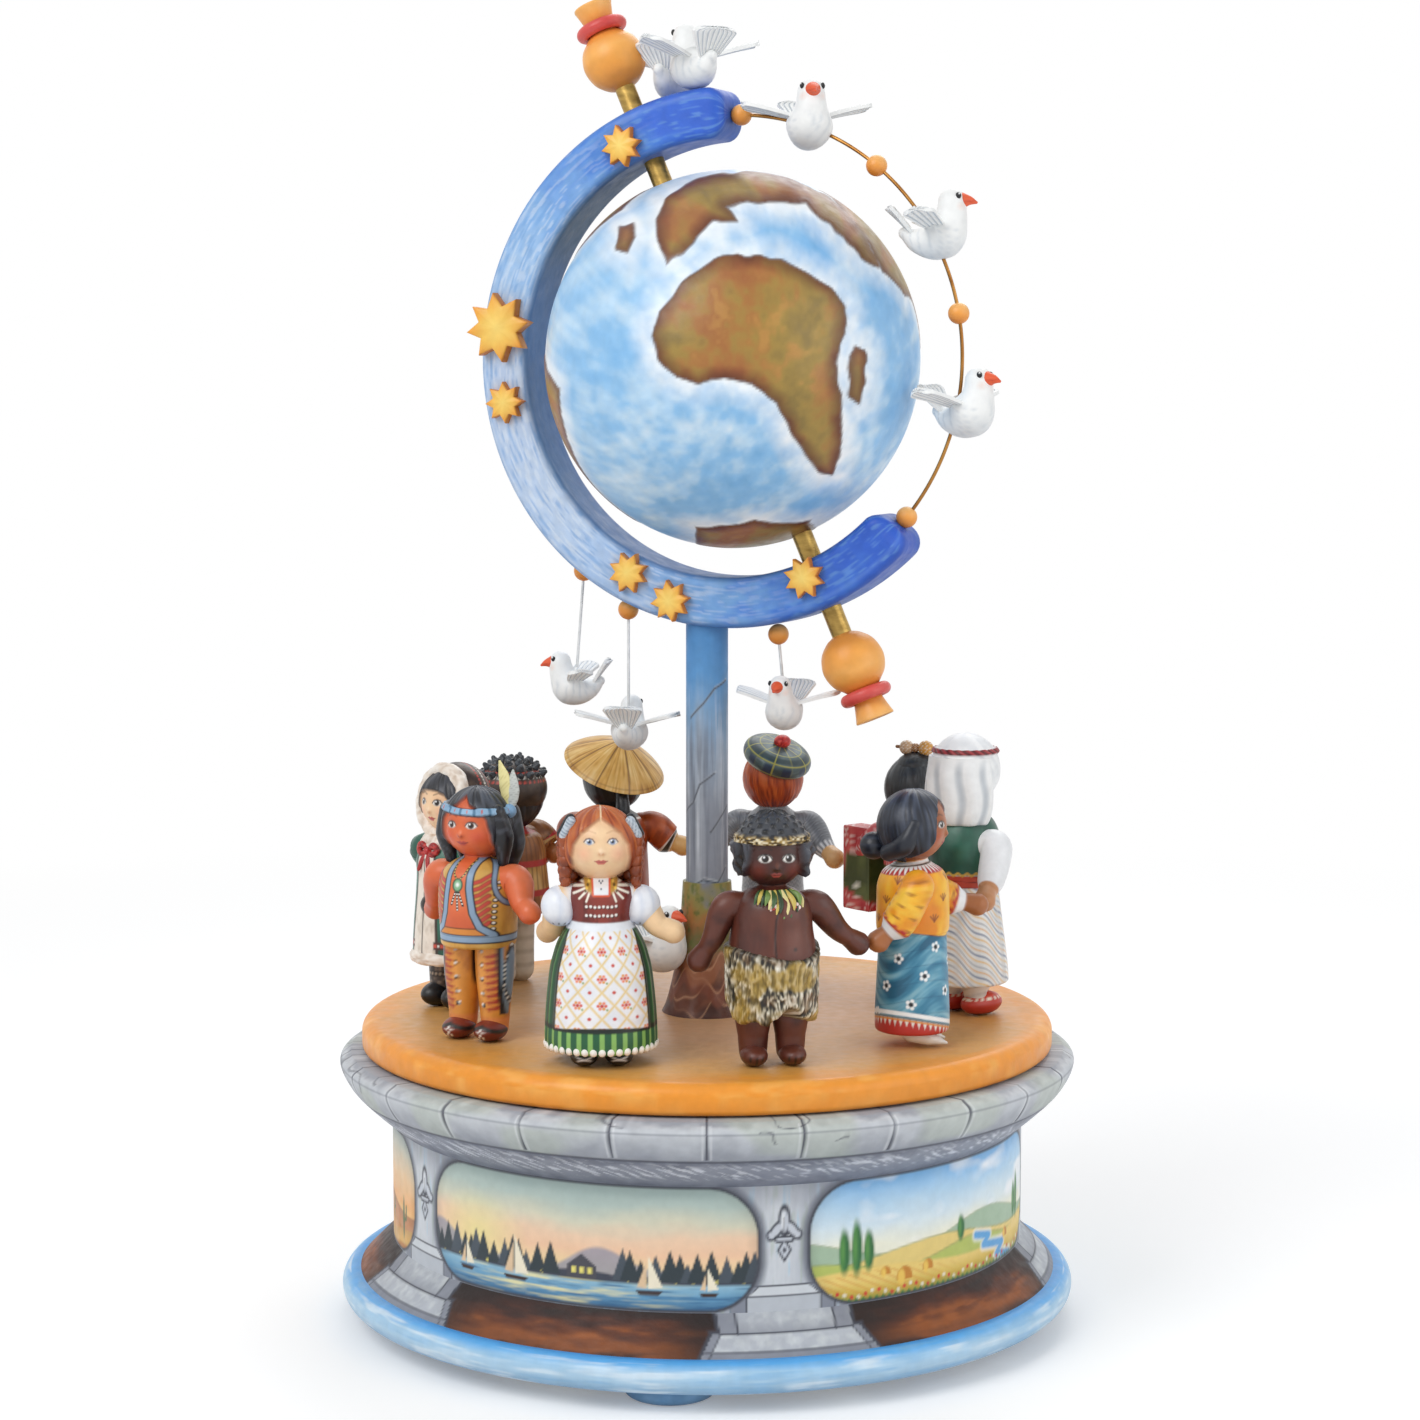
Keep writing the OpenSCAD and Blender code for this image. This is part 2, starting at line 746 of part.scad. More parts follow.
module meridian_ring() {
    color("royalblue")
        difference() {
            ring_frame() difference() {
                rotate([0, 0, ring_from]) rotate_extrude(angle = ring_to - ring_from) ring_section();
                rotate([0, 0, axle_angle]) rotate([0, 90, 0])
                    cylinder(h = 3 * ring_r, r = axle_r + run_clear, center = true);
                for (a = [ring_from, ring_to])
                    rotate([0, 0, a]) translate([garland_r, 0, 0]) rotate([90, 0, 0])
                        cylinder(h = 2 * wire_hole, r = wire_r + 0.15, center = true);
                for (d = perched_dove_at)
                    rotate([0, 0, d[0]]) translate([ring_r - 5, 0, d[1]]) rotate([0, 90, 0])
                        cylinder(h = 6, r = peg_r + fit);
            }
            translate([0, 0, dowel_z]) cylinder(h = dowel_len + fit, r = dowel_r + fit);
        }
}

module star(r, t) {
    inner = 0.62;
    linear_extrude(t)
        polygon([for (k = [0 : 15]) (k % 2 == 0 ? r : inner * r) * [cos(22.5 * k), sin(22.5 * k)]]);
}

module big_star() {
    color("gold")
        ring_frame() rotate([0, 0, big_star_at[0]])
            translate([big_star_at[1], 0, ring_depth / 2]) rotate([0, 0, 8]) star(big_star_r, big_star_t);
}

module small_stars() {
    color("gold")
        ring_frame()
            for (p = small_star_at)
                rotate([0, 0, p[0]]) translate([p[1], 0, ring_depth / 2]) star(small_star_r, star_t);
}

module garland_wire() {
    color("peru")
        ring_frame() rotate([0, 0, ring_to - wire_grip])
            rotate_extrude(angle = 360 - ring_to + ring_from + 2 * wire_grip)
                translate([garland_r, 0]) circle(wire_r);
}

module garland_beads() {
    color("orange")
        ring_frame()
            for (a = bead_at)
                rotate([0, 0, a]) translate([garland_r, 0, 0]) difference() {
                    sphere(bead_r);
                    rotate([90, 0, 0]) cylinder(h = 3 * bead_r, r = wire_r + 0.12, center = true);
                }
}

// Middle of a hanging bead, and of the dove under it
function hang_bead(d) = ring_point(d[0], ring_r + bead_r + fit, d[1]);
function hang_dove(d) = hang_bead(d) + [d[3], 0, -d[2]];

module hanging_beads() {
    color("orange")
        for (d = hanging_dove_at)
            translate(hang_bead(d)) sphere(bead_r);
}

module dove_wires() {
    color("silver")
        for (d = hanging_dove_at)
            difference() {
                wire(hang_bead(d), hang_dove(d), hang_wire_r);
                translate(hang_bead(d)) sphere(bead_r + fit);
                translate(hang_dove(d)) sphere(dove_r + fit);
            }
}

// A dove that looks along +x, about the middle of its body
module dove(span) {
    body = smooth([
        [0.8, -dove_r - 4], [3.2, -dove_r - 1], [5.2, -3.4], [dove_r, 0.4],
        [5.4, 3.6], [2.6, 5.8], [0.4, 6.4]
    ], 3);
    blade = 0.9;
    head = [5, 0, 8];
    neck = 3;
    rotate([0, 90, 0]) rotate([0, 0, 45]) turned(body);
    wire([2, 0, 0], head, neck);
    translate(head) sphere(neck + 0.9);
    translate(head) rotate([0, 96, 0]) cylinder(h = 8.2, r1 = 2.2, r2 = 0.4);
    for (s = [-1, 1])
        translate([0, 0, 2.2]) rotate([s * 18, 0, 0]) linear_extrude(blade)
            polygon([
                [3, s * 1.5], [3.4, s * 4], [1, s * span], [-1.2, s * (span + 0.6)],
                [-3.6, s * 0.72 * span], [-3.4, s * 1.5]
            ]);
    translate([-dove_r, 0, 0.6]) rotate([0, 28, 0]) linear_extrude(blade)
        polygon([[2, -1.2], [-8.6, -5.6], [-10, -2], [-10.4, 0], [-10, 2], [-8.6, 5.6], [2, 1.2]]);
}

module garland_doves() {
    color("white")
        for (d = garland_dove_at)
            difference() {
                translate(ring_point(d[0], garland_r + d[2], 0)) rotate([0, 0, d[1]]) dove(wing_span);
                ring_frame() rotate([0, 0, d[0]]) translate([garland_r, 0, 0]) rotate([90, 0, 0])
                    cylinder(h = 6 * dove_r, r = wire_r + 0.6, center = true);
            }
}

module perched_doves() {
    color("white")
        for (d = perched_dove_at) {
            translate(ring_point(d[0], ring_r + dove_r + gap, d[1])) rotate([0, 0, d[2]]) dove(d[3]);
            ring_frame() rotate([0, 0, d[0]]) translate([ring_r - 4, 0, d[1]]) rotate([0, 90, 0])
                cylinder(h = 6, r = peg_r);
        }
}

module hanging_doves() {
    color("white")
        for (d = hanging_dove_at)
            translate(hang_dove(d)) rotate([0, 0, d[4]]) dove(wing_span);
}

module globe() {
    color("skyblue")
        axle_frame() difference() {
            sphere(globe_r, $fn = 96);
            cylinder(h = 3 * globe_r, r = axle_r + fit, center = true);
        }
}

axle_half = finial_out + socket_deep;
module globe_axle() {
    color("goldenrod")
        axle_frame() cylinder(h = 2 * axle_half, r = axle_r, center = true);
}

module finials() {
    color("orange")
        axle_frame()
            for (s = [0, 180])
                rotate([s, 0, 0]) translate([0, 0, finial_out]) difference() {
                    union() {
                        sphere(finial_r);
                        cylinder(h = bell_at, r = finial_neck_r);
                        translate([0, 0, bell_at])
                            cylinder(h = finial_len - bell_at, r1 = finial_neck_r, r2 = finial_mouth_r);
                    }
                    translate([0, 0, -finial_r - 1])
                        cylinder(h = finial_r + 1 + socket_deep + fit, r = axle_r + fit);
                }
}

module finial_rings() {
    color("crimson")
        axle_frame()
            for (s = [0, 180])
                rotate([s, 0, 0]) translate([0, 0, finial_out + finial_ring_at]) rotate_extrude()
                    translate([finial_neck_r + finial_ring_r + fit, 0]) circle(finial_ring_r);
}

// Dolls
function doll_spot(i) = around(doll_ring_r, dolls[i][0], stage_z);
function doll_turn(i) = dolls[i][1];
// Height of a doll's neck and of its head's middle above the turntable
function neck_h(i) = dolls[i][2] - 2 * face_r - 1.6;
function head_h(i) = dolls[i][2] - face_r - 1.2;
// A point of a doll's own frame, in the frame of the box
function doll_point(i, p) =
    doll_spot(i) + [p[0] * cos(doll_turn(i)) - p[1] * sin(doll_turn(i)),
        p[0] * sin(doll_turn(i)) + p[1] * cos(doll_turn(i)), p[2]];
// Where two neighbours' hands meet
function hand_spot(i, j) = (doll_spot(i) + doll_spot(j)) / 2 + [0, 0, hand_h];
module doll_frame(i) {
    translate(doll_spot(i)) rotate([0, 0, doll_turn(i)]) children();
}

// Outlines of a doll's body as [radius, height]; w is the widest radius and n the height of the neck
function dress_outline(n, w, waist) = smooth([
    [w - 2.4, 3.6], [w, 5], [w - 0.8, 14], [waist + 2.2, 0.64 * n], [waist, 0.76 * n],
    [waist + 1.2, 0.87 * n], [waist - 0.4, 0.95 * n], [neck_r, n]
], 3);
function coat_outline(n, w, low) =
    let (tall = n - low)
    smooth([
        [w - 1.6, low], [w, low + 0.1 * tall], [w - 0.3, low + 0.4 * tall], [w - 1, low + 0.62 * tall],
        [w - 0.6, low + 0.8 * tall], [w - 2.6, low + 0.93 * tall], [neck_r, n]
    ], 3);

// A pair of shoes that lie flat on the turntable and point to the front
module shoes(apart, long) {
    heel = 2.5;
    sole = 0.9;
    outline = smooth([
        [0.6, 0], [2.1, 0.6], [2.5, 2.4], [2.6, heel + long - 1.4],
        [1.9, heel + long + 0.9], [0.6, heel + long + 1.5]
    ], 2);
    difference() {
        for (s = [-1, 1])
            translate([s * apart, heel, sole]) rotate([90, 0, s * 4]) turned(outline);
        translate([-20, -20, -10]) cube([40, 40, 10]);
    }
}

module legs(apart, r, top) {
    for (s = [-1, 1])
        translate([s * apart, 0, 1.5]) cylinder(h = top - 1.5, r = r);
}

module neck(i) {
    translate([0, 0, neck_h(i) - 1]) cylinder(h = 3.6, r = neck_r);
}

// A doll's trunk by itself, grown a little where another piece lies on it
module trunk(i, grow = 0) {
    n = neck_h(i);
    w = doll_w[i];
    waist = shoulder_out[i] - 1.2;
    low = [0, 13, 0, 0, 0, 22, 20, 20, 14, 26][i];
    outline = low > 0 ? coat_outline(n, w, low) : dress_outline(n, w, waist);
    turned([for (p = outline) [p[0] + grow, p[1]]]);
}

module doll_with_shoes(i, apart, long) {
    doll_frame(i) {
        trunk(i);
        neck(i);
        shoes(apart, long);
        legs(apart, 2, 6);
    }
}
module doll_with_legs(i, apart, r, top) {
    doll_frame(i) {
        trunk(i);
        neck(i);
        shoes(apart, 4);
        legs(apart, r, top);
    }
}

module apron_girl() { color("darkgreen") doll_with_shoes(0, 4.6, 5); }
module fur_cloth_boy() { color("saddlebrown") doll_with_legs(1, 4.8, 4, 15); }
module wrap_skirt_girl() { color("steelblue") doll_with_shoes(2, 4, 5); }
module headcloth_boy() { color("whitesmoke") doll_with_shoes(3, 4.2, 5); }
module kimono_girl() { color("indianred") doll_with_shoes(4, 4, 4); }
module tam_boy() { color("dimgray") doll_with_legs(5, 4.5, 4.2, 24); }
module straw_hat_boy() { color("chocolate") doll_with_legs(6, 4.5, 4.4, 22); }
module poncho_boy() { color("brown") doll_with_legs(7, 4.5, 4, 22); }
module hooded_girl() { color("darkgreen") doll_with_legs(8, 4.5, 4, 16); }
module feather_boy() { color("sandybrown") doll_with_legs(9, 5, 4.7, 28); }

// Hair and headgear, about the middle of the head
module headgear(i) {
    low = head_h(i) - neck_h(i);
    if (i == 0) {
        translate([0, 1.2, 0.4]) sphere(hair_r);
        for (s = [-1, 1]) rod([s * 8, 1.5, -2], [s * 8.4, 1.5, -10], 2.2, 1.6);
    }
    if (i == 1) {
        translate([0, 1, 1.2]) sphere(hair_r);
    }
    if (i == 2) {
        translate([0, 1, 0.6]) sphere(hair_r);
        translate([0, 10.5, -5]) sphere(3.8);
    }
    if (i == 3) {
        translate([0, 0.8, 0.6]) sphere(hair_r + 0.4);
        translate([0, 1.2, -0.72 * low - 4]) cylinder(h = 0.72 * low + 4, r1 = 7.6, r2 = hair_r);
    }
    if (i == 4) {
        translate([0, 1, 1]) sphere(hair_r);
        translate([0, 1.6, 8.6]) sphere(3.4);
        rod([-5, 1.6, 11], [5, 1.6, 11.4], 1.5, 1.5);
    }
    if (i == 5) {
        translate([0, 1, 0.4]) sphere(hair_r - 0.4);
        translate([0, 1.5, 4.5]) rotate([-14, 0, 0]) turned(smooth([
            [7.4, 0], [10.6, 2.2], [10.2, 5], [6, 7], [0.6, 7.4]
        ], 3));
        translate([0, 3.4, 11.8]) sphere(2.2);
    }
    if (i == 6) {
        translate([0, 1, 0]) sphere(hair_r - 0.6);
        translate([0, 10.4, -16]) rotate([7, 0, 0])
            turned(smooth([[0.6, 0], [1.5, 3], [2.1, 8], [1.7, 13]], 2));
        translate([0, 1, 3.4]) rotate([-14, 0, 0]) cylinder(h = 8.6, r1 = 14.8, r2 = 1.2);
    }
    if (i == 7) {
        translate([0, 1, 0.6]) sphere(hair_r);
        translate([0, 0.6, 4.4]) cylinder(h = 1.4, r = 12);
        translate([0, 0.6, 4.4]) cylinder(h = 5.2, r1 = 8.6, r2 = 6);
    }
    if (i == 8) {
        translate([0, 1.4, 0.6]) sphere(hair_r + 0.8);
        translate([0, 0.4, -6.6]) cylinder(h = 3.4, r1 = 7.4, r2 = 8.6);
    }
    if (i == 9) {
        translate([0, 1.2, 0.4]) sphere(hair_r);
        translate([0, 4, -9.4]) cylinder(h = 8, r1 = 6.6, r2 = 8);
        translate([7.4, 2, 2]) rotate([0, 16, 0]) cylinder(h = 11.6, r1 = 0.7, r2 = 1.5);
    }
}

module doll_heads() {
    color("wheat")
        for (i = [0 : doll_count - 1])
            doll_frame(i) difference() {
                translate([0, 0, head_h(i)]) {
                    sphere(face_r);
                    headgear(i);
                }
                trunk(i, fit);
                translate([0, 0, neck_h(i) - 1]) cylinder(h = 3.6 + fit, r = neck_r + fit);
            }
}

// One arm from shoulder to hand; side is -1 for the doll's right
module doll_arm(i, side) {
    j = (i + (side > 0 ? 1 : doll_count - 1)) % doll_count;
    shoulder = doll_point(i, [side * (shoulder_out[i] + sleeve_r + fit), 0, 0.88 * neck_h(i)]);
    meet = hand_spot(i, j);
    apart = doll_spot(i) - doll_spot(j);
    hand = meet + apart * (hand_r + gap) / norm(apart);
    d = hand - shoulder;
    reach = norm(d);
    translate(shoulder)
        rotate([0, acos(d[2] / reach), atan2(d[1], d[0])])
            turned(concat(
                [for (a = [-90 : 30 : 0]) sleeve_r * [cos(a), sin(a)]],
                smooth([
                    [sleeve_r, 0.1 * reach], [sleeve_r - 0.4, 0.5 * reach], [hand_r - 0.8, 0.84 * reach]
                ], 2),
                [for (a = [-40 : 26 : 90]) [hand_r * cos(a), reach + hand_r * sin(a)]]
            ));
}

module doll_arms() {
    color("burlywood")
        for (i = [0 : doll_count - 1])
            for (side = [-1, 1])
                doll_arm(i, side);
}

feet();
base_disc();
bottom_cover();
cover_screws();
plinth();
drum();
cornice();
deck();
deck_bush();
movement_board();
bedplate();
bedplate_screws();
cylinder_brackets();
comb_block();
comb();
comb_screws();
governor_bridge();
spring_barrel();
barrel_lid();
mainspring();
pin_cylinder();
cylinder_wheel();
governor_wheel();
governor_fan();
winding_arbor();
winding_key();
turntable();
turntable_hub();
spindle();
drive_gear();
column();
column_foot();
column_dowel();
meridian_ring();
big_star();
small_stars();
garland_wire();
garland_beads();
hanging_beads();
dove_wires();
garland_doves();
perched_doves();
hanging_doves();
globe();
globe_axle();
finials();
finial_rings();
apron_girl();
fur_cloth_boy();
wrap_skirt_girl();
headcloth_boy();
kimono_girl();
tam_boy();
straw_hat_boy();
poncho_boy();
hooded_girl();
feather_boy();
doll_heads();
doll_arms();
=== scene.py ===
import math

import bpy
import numpy as np
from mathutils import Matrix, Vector


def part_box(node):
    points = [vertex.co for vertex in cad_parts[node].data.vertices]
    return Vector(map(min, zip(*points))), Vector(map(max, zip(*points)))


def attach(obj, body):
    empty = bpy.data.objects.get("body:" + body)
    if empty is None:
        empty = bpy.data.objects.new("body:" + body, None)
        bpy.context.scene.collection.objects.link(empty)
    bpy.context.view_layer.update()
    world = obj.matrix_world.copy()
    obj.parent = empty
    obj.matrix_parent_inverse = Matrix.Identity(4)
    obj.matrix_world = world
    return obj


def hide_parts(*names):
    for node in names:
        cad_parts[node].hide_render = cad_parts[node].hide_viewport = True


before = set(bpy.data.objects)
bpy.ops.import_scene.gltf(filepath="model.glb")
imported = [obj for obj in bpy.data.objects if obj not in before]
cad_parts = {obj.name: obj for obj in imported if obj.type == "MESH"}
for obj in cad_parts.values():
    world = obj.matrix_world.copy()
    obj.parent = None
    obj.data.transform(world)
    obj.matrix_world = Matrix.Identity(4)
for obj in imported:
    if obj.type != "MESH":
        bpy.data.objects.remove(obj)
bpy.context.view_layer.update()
mm = 0.001
print("frame loaded:", len(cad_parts), "nodes")

# camera, light and floor
shot = {"place": (0.8, -850.0, 250.3), "tilt": 5.75, "lens": 79.8}
studio = {
    "world": 0.5,
    "key": {"place": (-620, -700, 900), "size": 700, "watts": 6.4},
    "fill": {"place": (800, -520, 420), "size": 800, "watts": 2.6},
    "back": {"place": (150, 700, 900), "size": 700, "watts": 3.2},
    "floorGlow": 0.22, "fadeFrom": 0.25, "fadeTo": 0.9,
}


def addLamp(name, lamp):
    data = bpy.data.lights.new(name, "AREA")
    data.size = lamp["size"] * mm
    data.energy = lamp["watts"]
    obj = bpy.data.objects.new(name, data)
    obj.location = Vector(lamp["place"]) * mm
    aim = Vector((0, 0, 0.17)) - obj.location
    obj.rotation_euler = aim.to_track_quat("-Z", "Y").to_euler()
    bpy.context.scene.collection.objects.link(obj)


def seenShare(nodes, links):  # 1 for rays that show the background
    path = nodes.new("ShaderNodeLightPath")
    glossy = nodes.new("ShaderNodeMath")
    glossy.operation = "MAXIMUM"
    links.new(path.outputs["Is Camera Ray"], glossy.inputs[0])
    links.new(path.outputs["Is Glossy Ray"], glossy.inputs[1])
    through = nodes.new("ShaderNodeMath")
    through.operation = "MAXIMUM"
    links.new(glossy.outputs[0], through.inputs[0])
    links.new(path.outputs["Is Transmission Ray"], through.inputs[1])
    return through.outputs[0]


def setStage():
    scene = bpy.context.scene
    scene.view_settings.view_transform = "Standard"
    data = bpy.data.cameras.new("photoCamera")
    data.lens = shot["lens"]
    cam = bpy.data.objects.new("photoCamera", data)
    cam.location = Vector(shot["place"]) * mm
    cam.rotation_euler = (math.radians(90 - shot["tilt"]), 0, 0)
    scene.collection.objects.link(cam)
    scene.camera = cam
    for name in ("key", "fill", "back"):
        addLamp(name + "Light", studio[name])

    world = bpy.data.worlds.new("studio")
    world.use_nodes = True
    scene.world = world
    nodes, links = world.node_tree.nodes, world.node_tree.links
    lit = nodes["Background"]
    lit.inputs["Color"].default_value = (0.97, 0.985, 1.0, 1)
    lit.inputs["Strength"].default_value = studio["world"]
    white = nodes.new("ShaderNodeBackground")
    white.inputs["Color"].default_value = (1, 1, 1, 1)
    pick = nodes.new("ShaderNodeMixShader")
    links.new(seenShare(nodes, links), pick.inputs[0])
    links.new(lit.outputs[0], pick.inputs[1])
    links.new(white.outputs[0], pick.inputs[2])
    links.new(pick.outputs[0], nodes["World Output"].inputs["Surface"])

    mesh = bpy.data.meshes.new("floor")
    corners = [(-4, -4, 0), (4, -4, 0), (4, 4, 0), (-4, 4, 0)]
    mesh.from_pydata(corners, [], [(0, 1, 2, 3)])
    floor = bpy.data.objects.new("floor", mesh)
    scene.collection.objects.link(floor)
    mat = bpy.data.materials.new("paleFloor")
    mat.use_nodes = True
    nodes, links = mat.node_tree.nodes, mat.node_tree.links
    nodes.clear()
    out = nodes.new("ShaderNodeOutputMaterial")
    matte = nodes.new("ShaderNodeBsdfDiffuse")
    matte.inputs["Color"].default_value = (0.9, 0.9, 0.9, 1)
    glow = nodes.new("ShaderNodeEmission")
    share = seenShare(nodes, links)
    strength = nodes.new("ShaderNodeMath")
    strength.operation = "MULTIPLY"
    strength.inputs[1].default_value = studio["floorGlow"]
    links.new(share, strength.inputs[0])
    links.new(strength.outputs[0], glow.inputs["Strength"])
    near = nodes.new("ShaderNodeAddShader")
    links.new(matte.outputs[0], near.inputs[0])
    links.new(glow.outputs[0], near.inputs[1])
    far = nodes.new("ShaderNodeEmission")
    place = nodes.new("ShaderNodeTexCoord")
    length = nodes.new("ShaderNodeVectorMath")
    length.operation = "LENGTH"
    links.new(place.outputs["Object"], length.inputs[0])
    fade = nodes.new("ShaderNodeMapRange")
    fade.inputs["From Min"].default_value = studio["fadeFrom"]
    fade.inputs["From Max"].default_value = studio["fadeTo"]
    links.new(length.outputs["Value"], fade.inputs["Value"])
    both = nodes.new("ShaderNodeMath")
    both.operation = "MULTIPLY"
    links.new(fade.outputs[0], both.inputs[0])
    links.new(share, both.inputs[1])
    mix = nodes.new("ShaderNodeMixShader")
    links.new(both.outputs[0], mix.inputs[0])
    links.new(near.outputs[0], mix.inputs[1])
    links.new(far.outputs[0], mix.inputs[2])
    links.new(mix.outputs[0], out.inputs["Surface"])
    mesh.materials.append(mat)


setStage()
print("stage set")


# colours and flat shapes for the painter's work
def tint(code):
    share = np.array([int(code[k:k + 2], 16) for k in (1, 3, 5)]) / 255
    return np.where(share <= 0.04045, share / 12.92, ((share + 0.055) / 1.055) ** 2.4)


def flat(colour, grid):  # one colour all over a grid
    return np.broadcast_to(tint(colour), grid.shape)


def ramp(value, stops):  # colours along a scale
    at = [stop[0] for stop in stops]
    tones = np.array([tint(stop[1]) for stop in stops])
    return np.stack([np.interp(value, at, tones[:, k]) for k in range(3)], -1)


def lay(paint, colour, mask):  # lays a colour over the paint where the mask is 1
    tone = tint(colour) if isinstance(colour, str) else colour
    return paint + (tone - paint) * np.clip(mask, 0, 1)[..., None]


def fill(distance, blur=0.35):  # 1 inside a shape and 0 outside
    return np.clip(0.5 - distance / blur, 0, 1)


def daub(paint, colour, distance, blur, share=1.0):  # lays a colour inside a shape
    return lay(paint, colour, fill(distance, blur) * share)


def disc(u, v, at, radius):
    return np.hypot(u - at[0], v - at[1]) - radius


def oval(u, v, at, half, turn=0.0):
    c, s = math.cos(math.radians(turn)), math.sin(math.radians(turn))
    x = (u - at[0]) * c + (v - at[1]) * s
    y = (v - at[1]) * c - (u - at[0]) * s
    return (np.hypot(x / half[0], y / half[1]) - 1) * min(half)


def slab(u, v, at, half, corner=0.0):
    x = np.abs(u - at[0]) - half[0] + corner
    y = np.abs(v - at[1]) - half[1] + corner
    return np.hypot(np.maximum(x, 0), np.maximum(y, 0)) + np.minimum(np.maximum(x, y), 0) - corner


def stroke(u, v, points, width):  # a brush line through a few points
    best = np.full(np.shape(u), 1e9)
    for a, b in zip(points[:-1], points[1:]):
        dx, dy = b[0] - a[0], b[1] - a[1]
        t = np.clip(((u - a[0]) * dx + (v - a[1]) * dy) / max(dx * dx + dy * dy, 1e-9), 0, 1)
        best = np.minimum(best, np.hypot(u - a[0] - t * dx, v - a[1] - t * dy))
    return best - width / 2


def patch(u, v, points):  # a field with a closed outline
    best = stroke(u, v, points + points[:1], 0)
    odd = np.zeros(np.shape(u), bool)
    for a, b in zip(points, points[1:] + points[:1]):
        if a[1] != b[1]:
            edge = a[0] + (v - a[1]) * (b[0] - a[0]) / (b[1] - a[1])
            odd ^= ((a[1] > v) != (b[1] > v)) & (u < edge)
    return np.where(odd, -best, best)


def specks(x, y, seed=0, period=None):  # smooth noise from 0 to 1
    x0, y0 = np.floor(x), np.floor(y)
    fx, fy = x - x0, y - y0
    fx = fx * fx * (3 - 2 * fx)
    fy = fy * fy * (3 - 2 * fy)

    def dice(a, b):
        a = np.mod(a, period) if period else a
        h = np.sin(a * 127.1 + b * 311.7 + seed * 74.7) * 43758.5453
        return h - np.floor(h)

    low = dice(x0, y0) * (1 - fx) + dice(x0 + 1, y0) * fx
    high = dice(x0, y0 + 1) * (1 - fx) + dice(x0 + 1, y0 + 1) * fx
    return low * (1 - fy) + high * fy


def clouds(x, y, seed=0, period=None):  # noise in three sizes
    half = 2 * period if period else None
    fine = 4 * period if period else None
    return (0.55 * specks(x, y, seed, period) + 0.3 * specks(2 * x, 2 * y, seed + 1, half)
            + 0.15 * specks(4 * x, 4 * y, seed + 2, fine))


# grids of points and the pieces made of them
def newHeap():
    return {"count": 0, "points": [], "paint": [], "quads": [], "tris": []}


def turnedOut(points, quads, tris):  # flips the faces of a grid that is inside out
    faces = np.concatenate([quads[:, [0, 1, 2]], quads[:, [0, 2, 3]], tris])
    a, b, c = points[faces[:, 0]], points[faces[:, 1]], points[faces[:, 2]]
    if (a * np.cross(b, c)).sum() < 0:
        return quads[:, ::-1], tris[:, ::-1]
    return quads, tris


def addGrid(heap, grid, paint, wrapV=False):  # a closed skin; its first direction always wraps
    nu, nv = grid.shape[:2]
    paint = np.broadcast_to(paint, grid.shape)
    index = np.arange(nu * nv).reshape(nu, nv)
    ids = np.concatenate([index, index[:1]])
    ids = np.concatenate([ids, ids[:, :1]], 1) if wrapV else ids
    quads = np.stack([ids[:-1, :-1], ids[1:, :-1], ids[1:, 1:], ids[:-1, 1:]], -1).reshape(-1, 4)
    points, colours = grid.reshape(-1, 3), paint.reshape(-1, 3)
    tris = np.zeros((0, 3), int)
    if not wrapV:
        first, last = index[:, 0], index[:, -1]
        points = np.concatenate([points, [grid[:, 0].mean(0), grid[:, -1].mean(0)]])
        colours = np.concatenate([colours, [paint[:, 0].mean(0), paint[:, -1].mean(0)]])
        low = np.stack([np.roll(first, -1), first, np.full(nu, nu * nv)], -1)
        high = np.stack([last, np.roll(last, -1), np.full(nu, nu * nv + 1)], -1)
        tris = np.concatenate([low, high])
    quads, tris = turnedOut(points - points.mean(0), quads, tris)
    heap["points"].append(points)
    heap["paint"].append(colours)
    heap["quads"].append(quads + heap["count"])
    heap["tris"].append(tris + heap["count"])
    heap["count"] += len(points)


def buildPiece(name, heap, material, body, *nodes, crease=38):
    points = np.concatenate(heap["points"]) * mm
    quads, tris = np.concatenate(heap["quads"]), np.concatenate(heap["tris"])
    mesh = bpy.data.meshes.new(name)
    mesh.vertices.add(len(points))
    mesh.vertices.foreach_set("co", points.astype(np.float32).ravel())
    corners = np.concatenate([quads.ravel(), tris.ravel()]).astype(np.int32)
    mesh.loops.add(len(corners))
    mesh.loops.foreach_set("vertex_index", corners)
    starts = np.concatenate([np.arange(len(quads)) * 4, len(quads) * 4 + np.arange(len(tris)) * 3])
    mesh.polygons.add(len(starts))
    mesh.polygons.foreach_set("loop_start", starts.astype(np.int32))
    mesh.polygons.foreach_set("use_smooth", np.ones(len(starts), bool))
    mesh.update(calc_edges=True)
    mesh.validate()
    mesh.set_sharp_from_angle(angle=math.radians(crease))
    colours = np.concatenate([np.concatenate(heap["paint"]), np.ones((len(points), 1))], 1)
    layer = mesh.color_attributes.new("paint", "FLOAT_COLOR", "POINT")
    layer.data.foreach_set("color", np.clip(colours, 0, 1).astype(np.float32).ravel())
    mesh.materials.append(material)
    obj = bpy.data.objects.new(name, mesh)
    bpy.context.scene.collection.objects.link(obj)
    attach(obj, body)
    if nodes:
        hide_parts(*nodes)
    return obj


def even(line, count):  # the same line with evenly spaced points
    line = np.asarray(line, float)
    steps = np.linalg.norm(np.diff(line, axis=0), axis=1)
    length = np.concatenate([[0], np.cumsum(steps)])
    want = np.linspace(0, length[-1], count)
    return np.stack([np.interp(want, length, line[:, k]) for k in range(line.shape[1])], -1)


